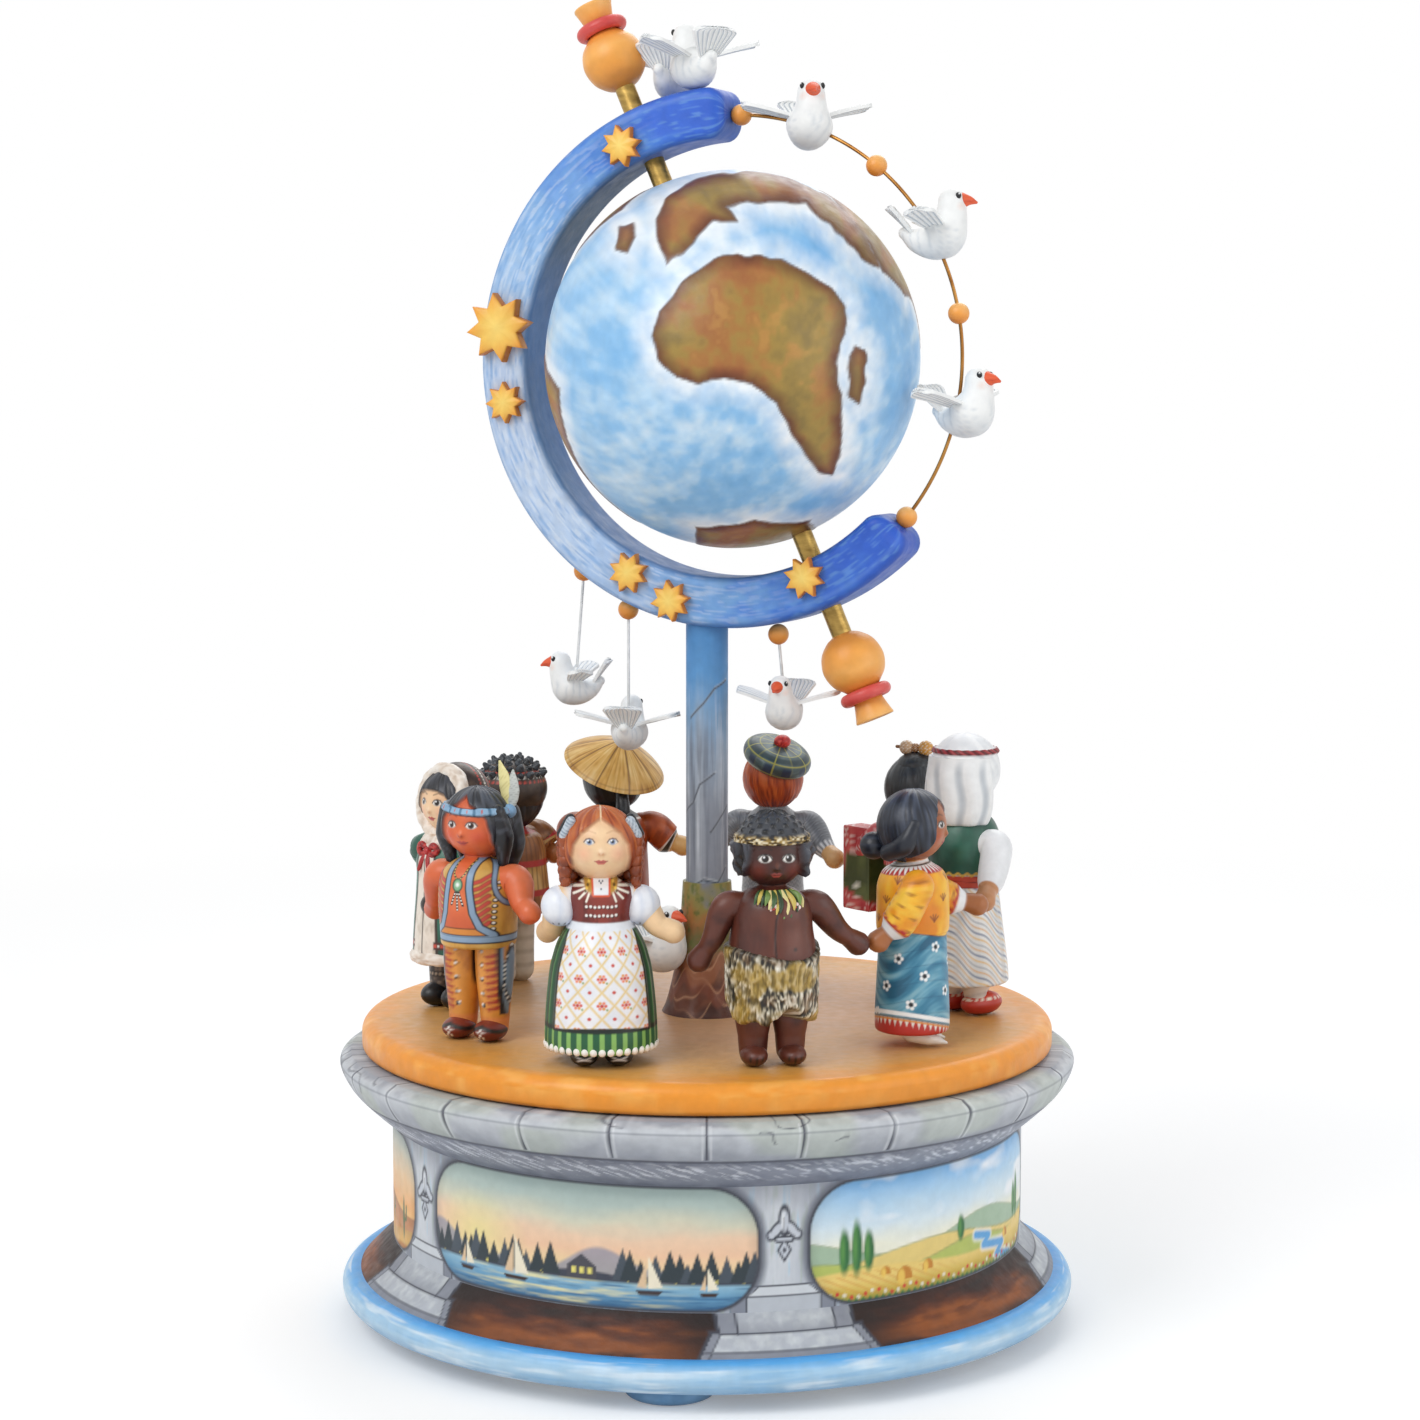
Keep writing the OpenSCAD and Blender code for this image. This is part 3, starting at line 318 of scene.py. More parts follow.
def smoothLine(points, count):  # a smooth line through a few points
    p = np.asarray(points, float)
    p = np.concatenate([[2 * p[0] - p[1]], p, [2 * p[-1] - p[-2]]])
    t = np.linspace(0, len(points) - 1, 16 * len(points))
    k = np.minimum(t.astype(int), len(points) - 2)
    f = (t - k)[:, None]
    a, b, c, d = p[k], p[k + 1], p[k + 2], p[k + 3]
    line = (0.5 * (2 * b + (c - a) * f + (2 * a - 5 * b + 4 * c - d) * f ** 2 + (3 * b - a - 3 * c + d)
                   * f ** 3))
    return even(line, count)


def arc(centre, radius, start, stop, count):
    a = np.radians(np.linspace(start, stop, count))
    return np.stack([centre[0] + radius * np.cos(a), centre[1] + radius * np.sin(a)], -1)


def latheGrid(outline, count):  # a turned skin; its angle starts at the front
    angle = np.linspace(-np.pi, np.pi, count, endpoint=False)
    r, z = outline[:, 0], outline[:, 1]
    grid = np.stack([np.outer(np.sin(angle), r), -np.outer(np.cos(angle), r),
                     np.outer(np.ones(count), z)], -1)
    return grid, angle


def ballGrid(centre, half, around=48, rows=30):
    a = np.linspace(-np.pi, np.pi, around, endpoint=False)[:, None]
    e = np.linspace(-np.pi / 2 + 0.05, np.pi / 2 - 0.05, rows)[None]
    way = np.stack([np.sin(a) * np.cos(e), -np.cos(a) * np.cos(e), np.sin(e) + 0 * a], -1)
    return way * np.asarray(half, float) + np.asarray(centre, float), way


def tubeGrid(line, radius, sides=20, squash=1.0, up=(0, 0, 1)):  # a round-ended tube along a line
    line = np.asarray(line, float)
    radius = np.broadcast_to(radius, len(line)).astype(float)
    ahead = np.gradient(line, axis=0)
    ahead /= np.linalg.norm(ahead, axis=1)[:, None]
    side = np.cross(ahead, np.asarray(up, float))
    side /= np.linalg.norm(side, axis=1)[:, None]
    rise = np.cross(side, ahead)
    dome = np.radians([84, 62, 40, 18])
    back = line[0] - np.outer(np.sin(dome), ahead[0]) * radius[0]
    front = line[-1] + np.outer(np.sin(dome[::-1]), ahead[-1]) * radius[-1]
    centres = np.concatenate([back, line, front])
    radii = np.concatenate([np.cos(dome) * radius[0], radius, np.cos(dome[::-1]) * radius[-1]])
    n = len(dome)
    side = np.concatenate([np.repeat(side[:1], n, 0), side, np.repeat(side[-1:], n, 0)])
    rise = np.concatenate([np.repeat(rise[:1], n, 0), rise, np.repeat(rise[-1:], n, 0)])
    turn = np.linspace(0, 2 * np.pi, sides, endpoint=False)[:, None, None]
    return centres + radii[:, None] * (np.cos(turn) * side + squash * np.sin(turn) * rise)


def alongTube(line):  # share of the way at each ring of a tube
    ends = np.zeros(4)
    return np.concatenate([ends, np.linspace(0, 1, len(line)), ends + 1])


# finishes
def finish(name, look):
    mat = bpy.data.materials.new(name)
    mat.use_nodes = True
    nodes, links = mat.node_tree.nodes, mat.node_tree.links
    skin = nodes["Principled BSDF"]
    place = nodes.new("ShaderNodeTexCoord")

    def noise(scale, detail=3.0, stretch=(1, 1, 1)):
        fit = nodes.new("ShaderNodeMapping")
        fit.inputs["Scale"].default_value = stretch
        links.new(place.outputs["Object"], fit.inputs["Vector"])
        tex = nodes.new("ShaderNodeTexNoise")
        tex.inputs["Scale"].default_value = scale
        tex.inputs["Detail"].default_value = detail
        links.new(fit.outputs[0], tex.inputs["Vector"])
        return tex.outputs["Fac"]

    def spread(value, low, high):
        fit = nodes.new("ShaderNodeMapRange")
        for socket, level in (("From Min", 0.3), ("From Max", 0.7), ("To Min", low), ("To Max", high)):
            fit.inputs[socket].default_value = level
        links.new(value, fit.inputs["Value"])
        return fit.outputs[0]

    if "tones" in look:  # two tones that the noise mixes
        base = nodes.new("ShaderNodeMix")
        base.data_type = "RGBA"
        base.inputs[6].default_value = (*tint(look["tones"][0]), 1)
        base.inputs[7].default_value = (*tint(look["tones"][1]), 1)
        grainy = noise(look.get("grain", 90), 5.0, look.get("stretch", (1, 1, 1)))
        links.new(spread(grainy, 0, 1), base.inputs[0])
        colour = base.outputs[2]
    else:
        layer = nodes.new("ShaderNodeVertexColor")
        layer.layer_name = "paint"
        colour = layer.outputs["Color"]
    shade = nodes.new("ShaderNodeHueSaturation")
    links.new(colour, shade.inputs["Color"])
    vary = look.get("vary", 0.06)
    mottle = noise(look.get("mottle", 260), 4.0, look.get("brush", (1, 1, 1)))
    links.new(spread(mottle, 1 - vary, 1 + vary), shade.inputs["Value"])
    links.new(shade.outputs["Color"], skin.inputs["Base Color"])
    rough = look.get("rough", 0.42)
    wear = look.get("wear", 0.08)
    links.new(spread(noise(340, 2.0), rough - wear, rough + wear), skin.inputs["Roughness"])
    bump = nodes.new("ShaderNodeBump")
    bump.inputs["Strength"].default_value = look.get("bump", 0.12)
    bump.inputs["Distance"].default_value = 0.0004
    links.new(noise(look.get("bumpScale", 900), 3.0, look.get("brush", (1, 1, 1))), bump.inputs["Height"])
    links.new(bump.outputs["Normal"], skin.inputs["Normal"])
    skin.inputs["Metallic"].default_value = look.get("metal", 0.0)
    skin.inputs["Specular IOR Level"].default_value = look.get("gloss", 0.4)
    skin.inputs["Coat Weight"].default_value = look.get("coat", 0.0)
    skin.inputs["Coat Roughness"].default_value = 0.25
    return mat


dollPaint = finish("dollPaint", {"rough": 0.4, "vary": 0.045, "mottle": 420, "bump": 0.08, "coat": 0.12})
stonePaint = finish("stonePaint", {"rough": 0.5, "vary": 0.06, "mottle": 300, "bump": 0.16})
panelPaint = finish("panelPaint", {"rough": 0.44, "vary": 0.035, "mottle": 350, "bump": 0.1})
skyPaint = finish("skyPaint", {"rough": 0.4, "vary": 0.05, "mottle": 240, "bump": 0.12, "coat": 0.1})
ringPaint = finish("ringPaint", {"rough": 0.46, "vary": 0.06, "mottle": 330, "bump": 0.22,
                                 "bumpScale": 700})
warmPaint = finish("warmPaint", {"rough": 0.42, "vary": 0.05, "mottle": 300, "bump": 0.12, "coat": 0.1})
whitePaint = finish("whitePaint", {"rough": 0.45, "vary": 0.025, "mottle": 500, "bump": 0.1})
metalPaint = finish("brass", {"rough": 0.3, "metal": 1.0, "vary": 0.08, "mottle": 600, "bump": 0.05})
bareWood = finish("bareWood", {
    "tones": ("#C9A26A", "#E0C08E"), "grain": 60, "stretch": (1, 9, 9), "rough": 0.6, "bump": 0.2})
steel = finish("steel", {
    "tones": ("#8F9399", "#B9BDC2"), "grain": 300, "stretch": (1, 1, 12), "rough": 0.32, "metal": 1.0})
yellowBrass = finish("yellowBrass", {
    "tones": ("#B08A45", "#D0AE66"), "grain": 260, "stretch": (1, 1, 8), "rough": 0.3, "metal": 1.0})
footBlue = finish("footBlue", {
    "tones": ("#5F8DB8", "#86AFD2"), "grain": 120, "rough": 0.46, "vary": 0.08})
sealedNodes = {
    bareWood: ["bottom_cover", "deck", "movement_board", "turntable_hub", "column_dowel"],
    steel: [
        "bedplate_screws", "comb", "comb_screws", "spring_barrel", "barrel_lid", "mainspring",
        "winding_arbor", "spindle",
    ],
    yellowBrass: [
        "cover_screws", "deck_bush", "bedplate", "cylinder_brackets", "comb_block", "governor_bridge",
        "pin_cylinder", "cylinder_wheel", "governor_wheel", "governor_fan", "winding_key", "drive_gear",
    ],
    footBlue: ["feet"],
}
for material, names in sealedNodes.items():
    for name in names:
        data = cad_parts[name].data
        data.materials.clear()
        data.materials.append(material)
print("finishes made")


# levels come from the frame, in millimetres
def span(node):
    low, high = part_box(node)
    return low.z / mm, high.z / mm


def wide(node):
    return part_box(node)[1].x / mm


pillars = {"first": 13.0, "count": 5}


def fromPillar(angle):  # turn from the nearest painted pillar
    step = 2 * np.pi / pillars["count"]
    return (angle - math.radians(pillars["first"]) + step / 2) % step - step / 2


# rim board at the bottom
rimBoard = {
    "well": 72.0, "rebate": 78.05, "deep": 3.05, "around": 900,
    # colours by the bullnose's lean, from its underside (-90) to its top (90); the greyer, darker blues
    # towards the underside are painted shade
    "tones": [
        (-90, "#7FA6C6"), (-45, "#8FB8D8"), (-5, "#AFD0E8"), (30, "#A3CBE8"), (58, "#62B1EE"),
        (90, "#48A3EC"),
    ],
    "streak": "#DCEBF6",
}


def makeRimBoard():
    low, high = span("base_disc")
    edge = (high - low) / 2
    nose = arc((wide("base_disc") - edge, low + edge), edge, -90, 90, 44)
    shelf = low + rimBoard["deep"]
    inner = [
        (rimBoard["well"], high), (rimBoard["well"], shelf), (rimBoard["rebate"], shelf),
        (rimBoard["rebate"], low),
    ]
    grid, angle = latheGrid(np.concatenate([inner, nose]), rimBoard["around"])
    lean = np.concatenate([[90, -90, -90, -90], np.linspace(-90, 90, 44)])[None] + 0 * angle[:, None]
    turn = angle[:, None] / (2 * np.pi) + 0 * lean
    paint = ramp(lean + 16 * (clouds(turn * 60, lean / 40, 3, 60) - 0.5), rimBoard["tones"])
    dabs = clouds(turn * 46, lean / 17, 5, 46)
    paint = lay(paint, rimBoard["streak"], np.clip((dabs - 0.52) * 3.2, 0, 0.75) * (lean < 62))
    paint = lay(paint, "#7FB4DE", np.clip((0.4 - dabs) * 3, 0, 0.5))
    heap = newHeap()
    addGrid(heap, grid, paint, wrapV=True)
    buildPiece("rimBoard", heap, skyPaint, "base", "base_disc")


# sloping plinth with the painted pillar feet
plinth = {
    "around": 1100, "rows": 34,
    # ground colours from the slope's top (0) to its foot (1); the darkest browns at the top are painted
    # shade where the slope meets the drum
    "ground": [
        (0, "#1D0E0A"), (0.25, "#35180F"), (0.5, "#5E2E15"), (0.78, "#85481F"), (0.95, "#7A421E"),
        (1.1, "#3A1D12"),
    ],
    "stepHalf": (12.6, 17.0), "stepTo": 0.46, "slope": 12.7, "slabHalf": (19.0, 23.0), "stone": "#B4B9C1",
    "stoneDark": "#7C808C", "line": "#3F424D",
}


def makePlinth():
    low, high = span("plinth")
    inner = wide("drum") - drum["wall"]
    slope = even([(wide("plinth"), low), (wide("drum"), high)], plinth["rows"])
    outline = np.concatenate([[(inner, low)], slope, [(inner, high)]])
    grid, angle = latheGrid(outline, plinth["around"])
    down = np.concatenate([[1], np.linspace(1, 0, plinth["rows"]), [0]])[None] + 0 * angle[:, None]
    away = fromPillar(angle)[:, None] * np.interp(down, [0, 1], [wide("drum"), wide("plinth")])
    turn = angle[:, None] / (2 * np.pi) + 0 * down
    streaks = clouds(turn * 55, down * 5, 11, 55)
    paint = ramp(down + 0.7 * (streaks - 0.5), plinth["ground"])
    # painted light: lighter orange-brown streaks in a band across the lower middle of the slope
    paintedLightBand = fill(np.abs(down - 0.66) - 0.22, 0.2)
    paint = lay(paint, "#A25A26", np.clip((streaks - 0.6) * 4, 0, 0.6) * paintedLightBand)
    paint = daub(paint, "#1A0C09", np.abs(away) - 30, 14, 0.8)
    face, side = plinth["stepHalf"]
    step = np.maximum(np.abs(away) - side, (down - plinth["stepTo"]) * plinth["slope"])
    half = np.interp(down, [plinth["stepTo"], 1], plinth["slabHalf"])
    board = np.maximum(np.abs(away) - half, (plinth["stepTo"] - down) * plinth["slope"])
    cloudy = clouds(turn * 300, down * 6, 13, 300)
    paint = daub(paint, plinth["line"], np.minimum(step, board) - 1.0, 0.8)
    stone = lay(flat(plinth["stone"], paint), "#D3D8DA", (cloudy - 0.4) * 1.6)
    paint = lay(paint, stone, fill(board))
    rimMask = np.maximum(fill(half - 2.0 - np.abs(away), 0.5), fill((0.86 - down) * plinth["slope"], 0.5))
    paint = lay(paint, plinth["stoneDark"], fill(board) * rimMask * 0.85)
    edge = np.minimum(np.abs(np.abs(away) - half + 2.0), np.abs(down - 0.86) * plinth["slope"])
    paint = lay(paint, plinth["line"], fill(board) * fill(edge - 0.2, 0.5) * (np.abs(away) < half))
    paint = lay(paint, stone * 0.92, fill(step))
    paint = lay(paint, plinth["stoneDark"], fill(step) * fill(face - np.abs(away), 0.4) * 0.8)
    paint = lay(paint, "#8B8F9A", fill(step) * fill((0.3 - down) * plinth["slope"], 3.0) * 0.6)
    lines = np.minimum(np.abs(np.abs(away) - face), np.abs(down - plinth["stepTo"]) * plinth["slope"])
    paint = lay(paint, plinth["line"], fill(step - 0.4) * fill(lines - 0.28, 0.4))
    heap = newHeap()
    addGrid(heap, grid, paint, wrapV=True)
    buildPiece("plinthSlope", heap, stonePaint, "base", "plinth")


# landscapes in the arched panels: u runs across from the middle and v up from the foot, in millimetres
def paintSails(u, v):  # a lake at dusk, with dark firs and boats
    haze = clouds(u / 14 + 50, v / 6, 21)
    paint = ramp(v + 4 * (haze - 0.5), [(9, "#F3D9A4"), (14, "#F4C9A6"), (18, "#F1CFB0"), (22, "#D8D5BE"),
                                        (27, "#B7C7BF"), (31, "#A9BCB8")])
    paint = daub(paint, "#F2E59A", disc(u, v * 1.5, (-30, 22), 9), 16, 0.8)
    ridge = 11.5 + 2.6 * np.sin(u / 9 + 0.6) + 1.6 * np.sin(u / 4.1)
    paint = daub(paint, "#8E93A6", v - ridge, 1.0, 0.8)
    shore = 8.6 + 1.0 * np.sin(u / 6.5 + 1.2)
    paint = daub(paint, "#3E4350", v - shore, 0.6)
    for k in range(34):
        x = -47 + 2.86 * k + 0.9 * math.sin(5.1 * k)
        tall = 4.2 + 3.4 * abs(math.sin(2.3 * k + 0.7))
        spread = 0.9 + 0.25 * tall
        fir = [(x - spread, 7.6), (x, 8.4 + tall), (x + spread, 7.6)]
        if abs(x - 3) > 9:
            paint = lay(paint, "#2F3A40" if k % 3 else "#46505A", fill(patch(u, v, fir)))
            paint = lay(paint, "#E9DC74", fill(disc(u, v, (x + 1.4, 7.9), 0.42)) * (k % 2))
    hut = [(-1.6, 7.2), (-1.6, 10.6), (2.4, 13.6), (6.4, 10.6), (6.4, 7.2)]
    paint = lay(paint, "#4A4A52", fill(patch(u, v, hut)))
    for x in (0.2, 2.4, 4.6):
        paint = lay(paint, "#F1E47C", fill(slab(u, v, (x, 9.4), (0.6, 0.75))))
    water = ramp(v, [(0, "#3C6E9A"), (4, "#6CA3C6"), (7.6, "#9CC4D6")])
    ripple = clouds(u / 11 + 30, v * 1.3, 24)
    water = lay(water, "#EFE7B0", np.clip((ripple - 0.5) * 4, 0, 0.9) * fill(np.abs(u + 4) - 26, 22))
    water = lay(water, "#2F628F", np.clip((0.42 - ripple) * 4, 0, 0.7))
    paint = daub(paint, water, v - 7.0, 0.5)
    for x, size in ((-34, 1.0), (-17, 1.5), (20, 1.3), (35, 0.9)):
        base = 4.6 + 0.6 * size
        hull = [
            (x - 2.6 * size, base), (x - 1.9 * size, base - 1.1), (x + 1.9 * size, base - 1.1),
            (x + 2.8 * size, base),
        ]
        sail = [(x - 0.2, base + 0.5), (x - 0.2, base + 7 * size), (x + 2.7 * size, base + 0.9)]
        jib = [(x - 0.7, base + 0.6), (x - 0.6, base + 5.6 * size), (x - 2.3 * size, base + 0.8)]
        paint = lay(paint, "#3B2A26", fill(patch(u, v, hull)))
        paint = lay(paint, "#F5EBD2", fill(patch(u, v, sail)))
        paint = lay(paint, "#E6C7A2", fill(patch(u, v, jib)))
    return paint


def paintMeadow(u, v):  # a stream through fields, with poplars and hay
    haze = clouds(u / 16 + 12, v / 7, 31)
    paint = ramp(v + 5 * (haze - 0.5), [(14, "#F3F2DE"), (19, "#DCEBF2"), (25, "#B5D7F0"), (31, "#7FB9EA")])
    paint = lay(paint, "#FFFFFF", np.clip((haze - 0.55) * 4, 0, 0.8))
    for base, tall, long, shift, colour in ((14.0, 2.8, 10.5, 0.4, "#A7BFA4"),
                                            (11.4, 2.2, 13.0, 2.2, "#E9CF7E"),
                                            (9.2, 1.6, 8.0, 0.9, "#B9C465")):
        top = base + tall * np.sin(u / long + shift)
        paint = daub(paint, colour, v - top, 0.7)
        paint = daub(paint, "#7F8C55", np.abs(v - top) - 0.15, 0.5, 0.6)
    field = 7.6 + 1.3 * np.sin(u / 12 + 4)
    paint = daub(paint, ramp(v + 3 * (haze - 0.5), [(0, "#7FA042"), (3, "#D9B84C"), (6, "#EFD078")]),
                 v - field, 0.7)
    rows = np.sin((u + 2.2 * v) * 1.5)
    paint = lay(paint, "#D99A3A", fill(v - field + 1) * np.clip(rows, 0, 1) * 0.5 * fill(u + 6, 20))
    stream = [(30, 0.5), (20, 2.6), (24, 5.0), (12, 6.8), (15, 8.8), (8, 10.2)]
    paint = daub(paint, "#FFFFFF", stroke(u, v, stream, 3.2), 1.4, 0.8)
    paint = daub(paint, "#5FA6DC", stroke(u, v, stream, 2.1), 0.8)
    for x, base, tall in ((-38, 8, 11), (-34.5, 7.4, 13.5), (-31, 8.2, 10), (34, 9.4, 9), (37, 9, 11.5),
                          (1, 10.4, 6.5)):
        paint = daub(paint, "#2F6B3A", oval(u, v, (x, base + tall / 2), (1.5, tall / 2)), 0.7)
        paint = daub(paint, "#5E9A4A", oval(u, v, (x - 0.5, base + tall / 2 + 0.4), (0.6, tall / 2.6)),
                     0.8, 0.8)
    for x, base, size in ((-20, 4.6, 2.6), (-12, 6.0, 1.9), (-26, 6.6, 1.6), (26, 6.4, 1.7)):
        paint = lay(paint, "#C9852E", fill(oval(u, v, (x, base), (size, size * 1.15))) * (v > base - 0.4))
        paint = daub(paint, "#F2C85C",
                     oval(u, v, (x - 0.4 * size, base + 0.3), (size * 0.45, size * 0.8)), 0.6)
    for k in range(46):
        x, y = -46 + 2.0 * k, 1.6 + 1.3 * math.sin(3.7 * k) ** 2
        paint = lay(paint, "#D9412F" if k % 2 else "#F4EBD0", fill(disc(u, v, (x, y), 0.55)))
    grass = np.sin(u * 3.1 + 4 * haze) * 0.5 + 1.0
    return daub(paint, "#4E8A3A", v - grass, 0.5)


def paintDunes(u, v):  # warm dunes at evening
    haze = clouds(u / 12 + 70, v / 5, 41)
    paint = ramp(v + 5 * (haze - 0.5), [(8, "#F6D58A"), (14, "#F0B170"), (20, "#EBC79A"), (27, "#C9C6B4"),
                                        (31, "#A9B6B4")])
    paint = daub(paint, "#FBE9A0", disc(u, v, (14, 16), 4.2), 1.2)
    for base, tall, long, shift, colour in ((12.5, 1.8, 9.0, 0.0, "#C98A5A"),
                                            (9.0, 2.4, 12.0, 1.4, "#D99A52"),
                                            (5.2, 1.8, 10.0, 3.1, "#E9B862")):
        top = base + tall * np.sin(u / long + shift)
        paint = daub(paint, colour, v - top, 0.6)
        paint = lay(paint, "#8A4E2C", fill(v - top, 0.6) * fill(top - 1.6 - v, 2.4) * 0.35)
    for x, base, tall in ((-36, 5, 9), (-30, 6, 6), (24, 5.5, 8), (38, 4, 11)):
        paint = lay(paint, "#5A6A3C", fill(oval(u, v, (x, base + tall / 2), (0.9, tall / 2))))
        arm = [(x, base + 0.45 * tall), (x + 2.2, base + 0.5 * tall), (x + 2.3, base + 0.8 * tall)]
        paint = lay(paint, "#5A6A3C", fill(stroke(u, v, arm, 1.0)))
    return daub(paint, "#C9772E", v - 1.6 - 0.8 * np.sin(u / 5), 0.8, 0.8)


def paintFirs(u, v):  # snow hills with firs
    haze = clouds(u / 15 + 90, v / 6, 51)
    paint = ramp(v + 5 * (haze - 0.5), [(12, "#E9EEF2"), (20, "#C3D6E8"), (31, "#7FA8D6")])
    for base, tall, long, shift, colour in ((15.0, 3.4, 11.0, 0.5, "#B7C3D6"),
                                            (10.5, 2.2, 9.0, 2.0, "#DDE6EE"),
                                            (6.0, 1.6, 14.0, 0.2, "#F4F6F8")):
        paint = daub(paint, colour, v - base - tall * np.sin(u / long + shift), 0.7)
    for k in range(15):
        x, base = -44 + 6.3 * k, 3.2 + 4.2 * abs(math.sin(1.9 * k))
        for level in range(3):
            w, z = 3.0 - 0.75 * level, base + 2.5 * level
            paint = lay(paint, "#2F5A4C", fill(patch(u, v, [(x - w, z), (x, z + 4.2), (x + w, z)])))
            paint = lay(paint, "#F4F7F9",
                        fill(patch(u, v, [(x - 0.8 * w, z + 1.0), (x, z + 4.3), (x - 0.1, z + 2.2)])))
    return lay(paint, "#A9BED6", np.clip((haze - 0.55) * 3, 0, 0.5) * fill(v - 5, 2))


def paintCoast(u, v):  # green islands in a blue sea
    haze = clouds(u / 13 + 120, v / 5, 61)
    paint = ramp(v + 4 * (haze - 0.5), [(12, "#F4E7C6"), (18, "#CFE4F0"), (31, "#6FB0E4")])
    sea = ramp(v + 3 * (clouds(u / 7, v * 1.2, 62) - 0.5),
               [(0, "#2F7FA8"), (6, "#57A6C2"), (12, "#A5D2D6")])
    paint = daub(paint, sea, v - 12.5, 0.5)
    for x, w, tall, colour in ((-32, 13, 7, "#4F8A58"), (6, 16, 9, "#6B9A4E"), (38, 11, 6, "#467C5A")):
        hill = 12.2 + tall * np.clip(1 - ((u - x) / w) ** 2, 0, 1)
        paint = daub(paint, colour, v - hill, 0.7, fill(12.0 - v, 0.5))
        paint = daub(paint, "#E9D29A", oval(u, v, (x, 11.6), (w, 1.1)), 0.6)
    for x in (-12, 22, 31):
        paint = lay(paint, "#F7F2E4", fill(patch(u, v, [(x, 7), (x, 12), (x + 2.6, 7.6)])))
        paint = lay(paint, "#8A3A2A", fill(slab(u, v, (x + 0.6, 6.4), (2.2, 0.6), 0.4)))
    return daub(paint, "#EAD8A4", v - 2.0 - 1.2 * np.sin(u / 8), 0.8)


# drum with five painted pillars and five arched panels
drum = {
    "around": 1200, "rows": 74, "wall": 6, "panelHalf": (47.2, 15.3), "panelMid": 16.1, "corner": 12.5,
    "scenes": [paintMeadow, paintCoast, paintFirs, paintDunes, paintSails],
    "stone": [(0, "#8F939F"), (0.45, "#B9BEC7"), (0.8, "#D2D6DB"), (1, "#BFC4CB")], "line": "#42454F",
    "flower": "#C8CDD6", "flowerAt": 19.5,
}


def paintFlower(paint, u, v):  # three-leaved ornament with a small lozenge under it
    leaf = oval(u, v, (0, 3.4), (1.15, 3.0))
    for s in (-1, 1):
        leaf = np.minimum(leaf, oval(u, v, (s * 2.0, 1.2), (1.0, 2.3), 38 * s))
        leaf = np.minimum(leaf, disc(u, v, (s * 3.3, -0.1), 0.95))
    leaf = np.minimum(leaf, slab(u, v, (0, -1.2), (2.1, 0.45), 0.4))
    gem = np.abs(u) / 1.5 + np.abs(v + 4.0) / 2.5 - 1
    paint = lay(paint, drum["line"], np.maximum(fill(leaf - 0.5, 0.4), fill(gem - 0.3, 0.3)))
    paint = lay(paint, drum["flower"], np.maximum(fill(leaf + 0.1, 0.4), fill(gem + 0.12, 0.3)))
    paint = daub(paint, "#F0F2F4", oval(u, v, (-0.35, 3.8), (0.35, 1.8)), 0.5)
    return lay(paint, drum["line"], np.maximum(fill(np.abs(u) - 0.12, 0.35) * (np.abs(v - 2.6) < 1.6),
                                               fill(gem + 0.62, 0.3)))


def paintPillars(u, v):  # u from the pillar's middle and v up from the drum's foot
    streak = clouds(u * 0.9 + 40, v / 11, 71)
    light = np.clip(1 - np.abs(u + 2) / 17, 0, 1)
    paint = ramp(0.75 * light + 0.5 * (streak - 0.35), drum["stone"])
    paint = lay(paint, "#A9CBE0", np.clip((streak - 0.6) * 4, 0, 0.55))
    paint = lay(paint, "#B5C3AE", np.clip((0.36 - streak) * 4, 0, 0.4))
    # painted shade: the pillars darken towards the drum's top, under the cornice's overhang
    paint = daub(paint, "#7C808D", 28.5 - v, 6, 0.45)
    paint = paintFlower(paint, u, v - drum["flowerAt"])
    half = np.interp(v, [0, 3.9, 6.3], [13.2, 13.2, 9.4])
    block = np.maximum(np.abs(u) - half, v - 6.3)
    face = np.interp(v, [0, 3.9, 6.3], [9.6, 9.6, 6.6])
    paint = lay(paint, drum["line"], fill(block - 0.5))
    paint = lay(paint, "#BEC3CA", fill(block))
    paint = lay(paint, "#DADEE2", fill(block) * fill(3.9 - v, 0.4) * 0.7)
    paint = lay(paint, "#858A96", fill(block) * fill(face - np.abs(u), 0.4))
    lines = np.minimum(np.abs(np.abs(u) - face), np.abs(v - 3.9))
    return lay(paint, drum["line"], fill(block) * fill(lines - 0.2, 0.4))


def makeDrum():
    low, high = span("drum")
    outer = wide("drum")
    wall = even([(outer, low), (outer, high)], drum["rows"])
    outline = np.concatenate([wall, [(outer - drum["wall"], high), (outer - drum["wall"], low)]])
    grid, angle = latheGrid(outline, drum["around"])
    v = (outline[:, 1] - low)[None] + 0 * angle[:, None]
    fromMid = fromPillar(angle)[:, None] + 0 * v
    paint = paintPillars(fromMid * outer, v)
    step = 2 * np.pi / pillars["count"]
    for k, scene in enumerate(drum["scenes"]):
        middle = math.radians(pillars["first"]) + step * (k + 0.5)
        turn = (angle - middle + np.pi) % (2 * np.pi) - np.pi
        rows = np.abs(turn) < step / 2
        u = turn[rows][:, None] * outer + 0 * v[rows]
        field = slab(u, v[rows], (0, drum["panelMid"]), drum["panelHalf"], drum["corner"])
        part = paint[rows]
        part = lay(part, "#6A6E7A", fill(field - 2.2, 1.6) * (v[rows] > 6.4) * 0.9)
        part = daub(part, drum["line"], field - 0.9, 0.6)
        part = daub(part, scene(u, v[rows]), field, 0.5)
        shade = np.clip(1 + field / 3.0, 0, 1) * (field < 0)
        paint[rows] = lay(part, part * 0.72, shade * 0.7)
    heap = newHeap()
    addGrid(heap, grid, paint, wrapV=True)
    buildPiece("pictureDrum", heap, panelPaint, "base", "drum")


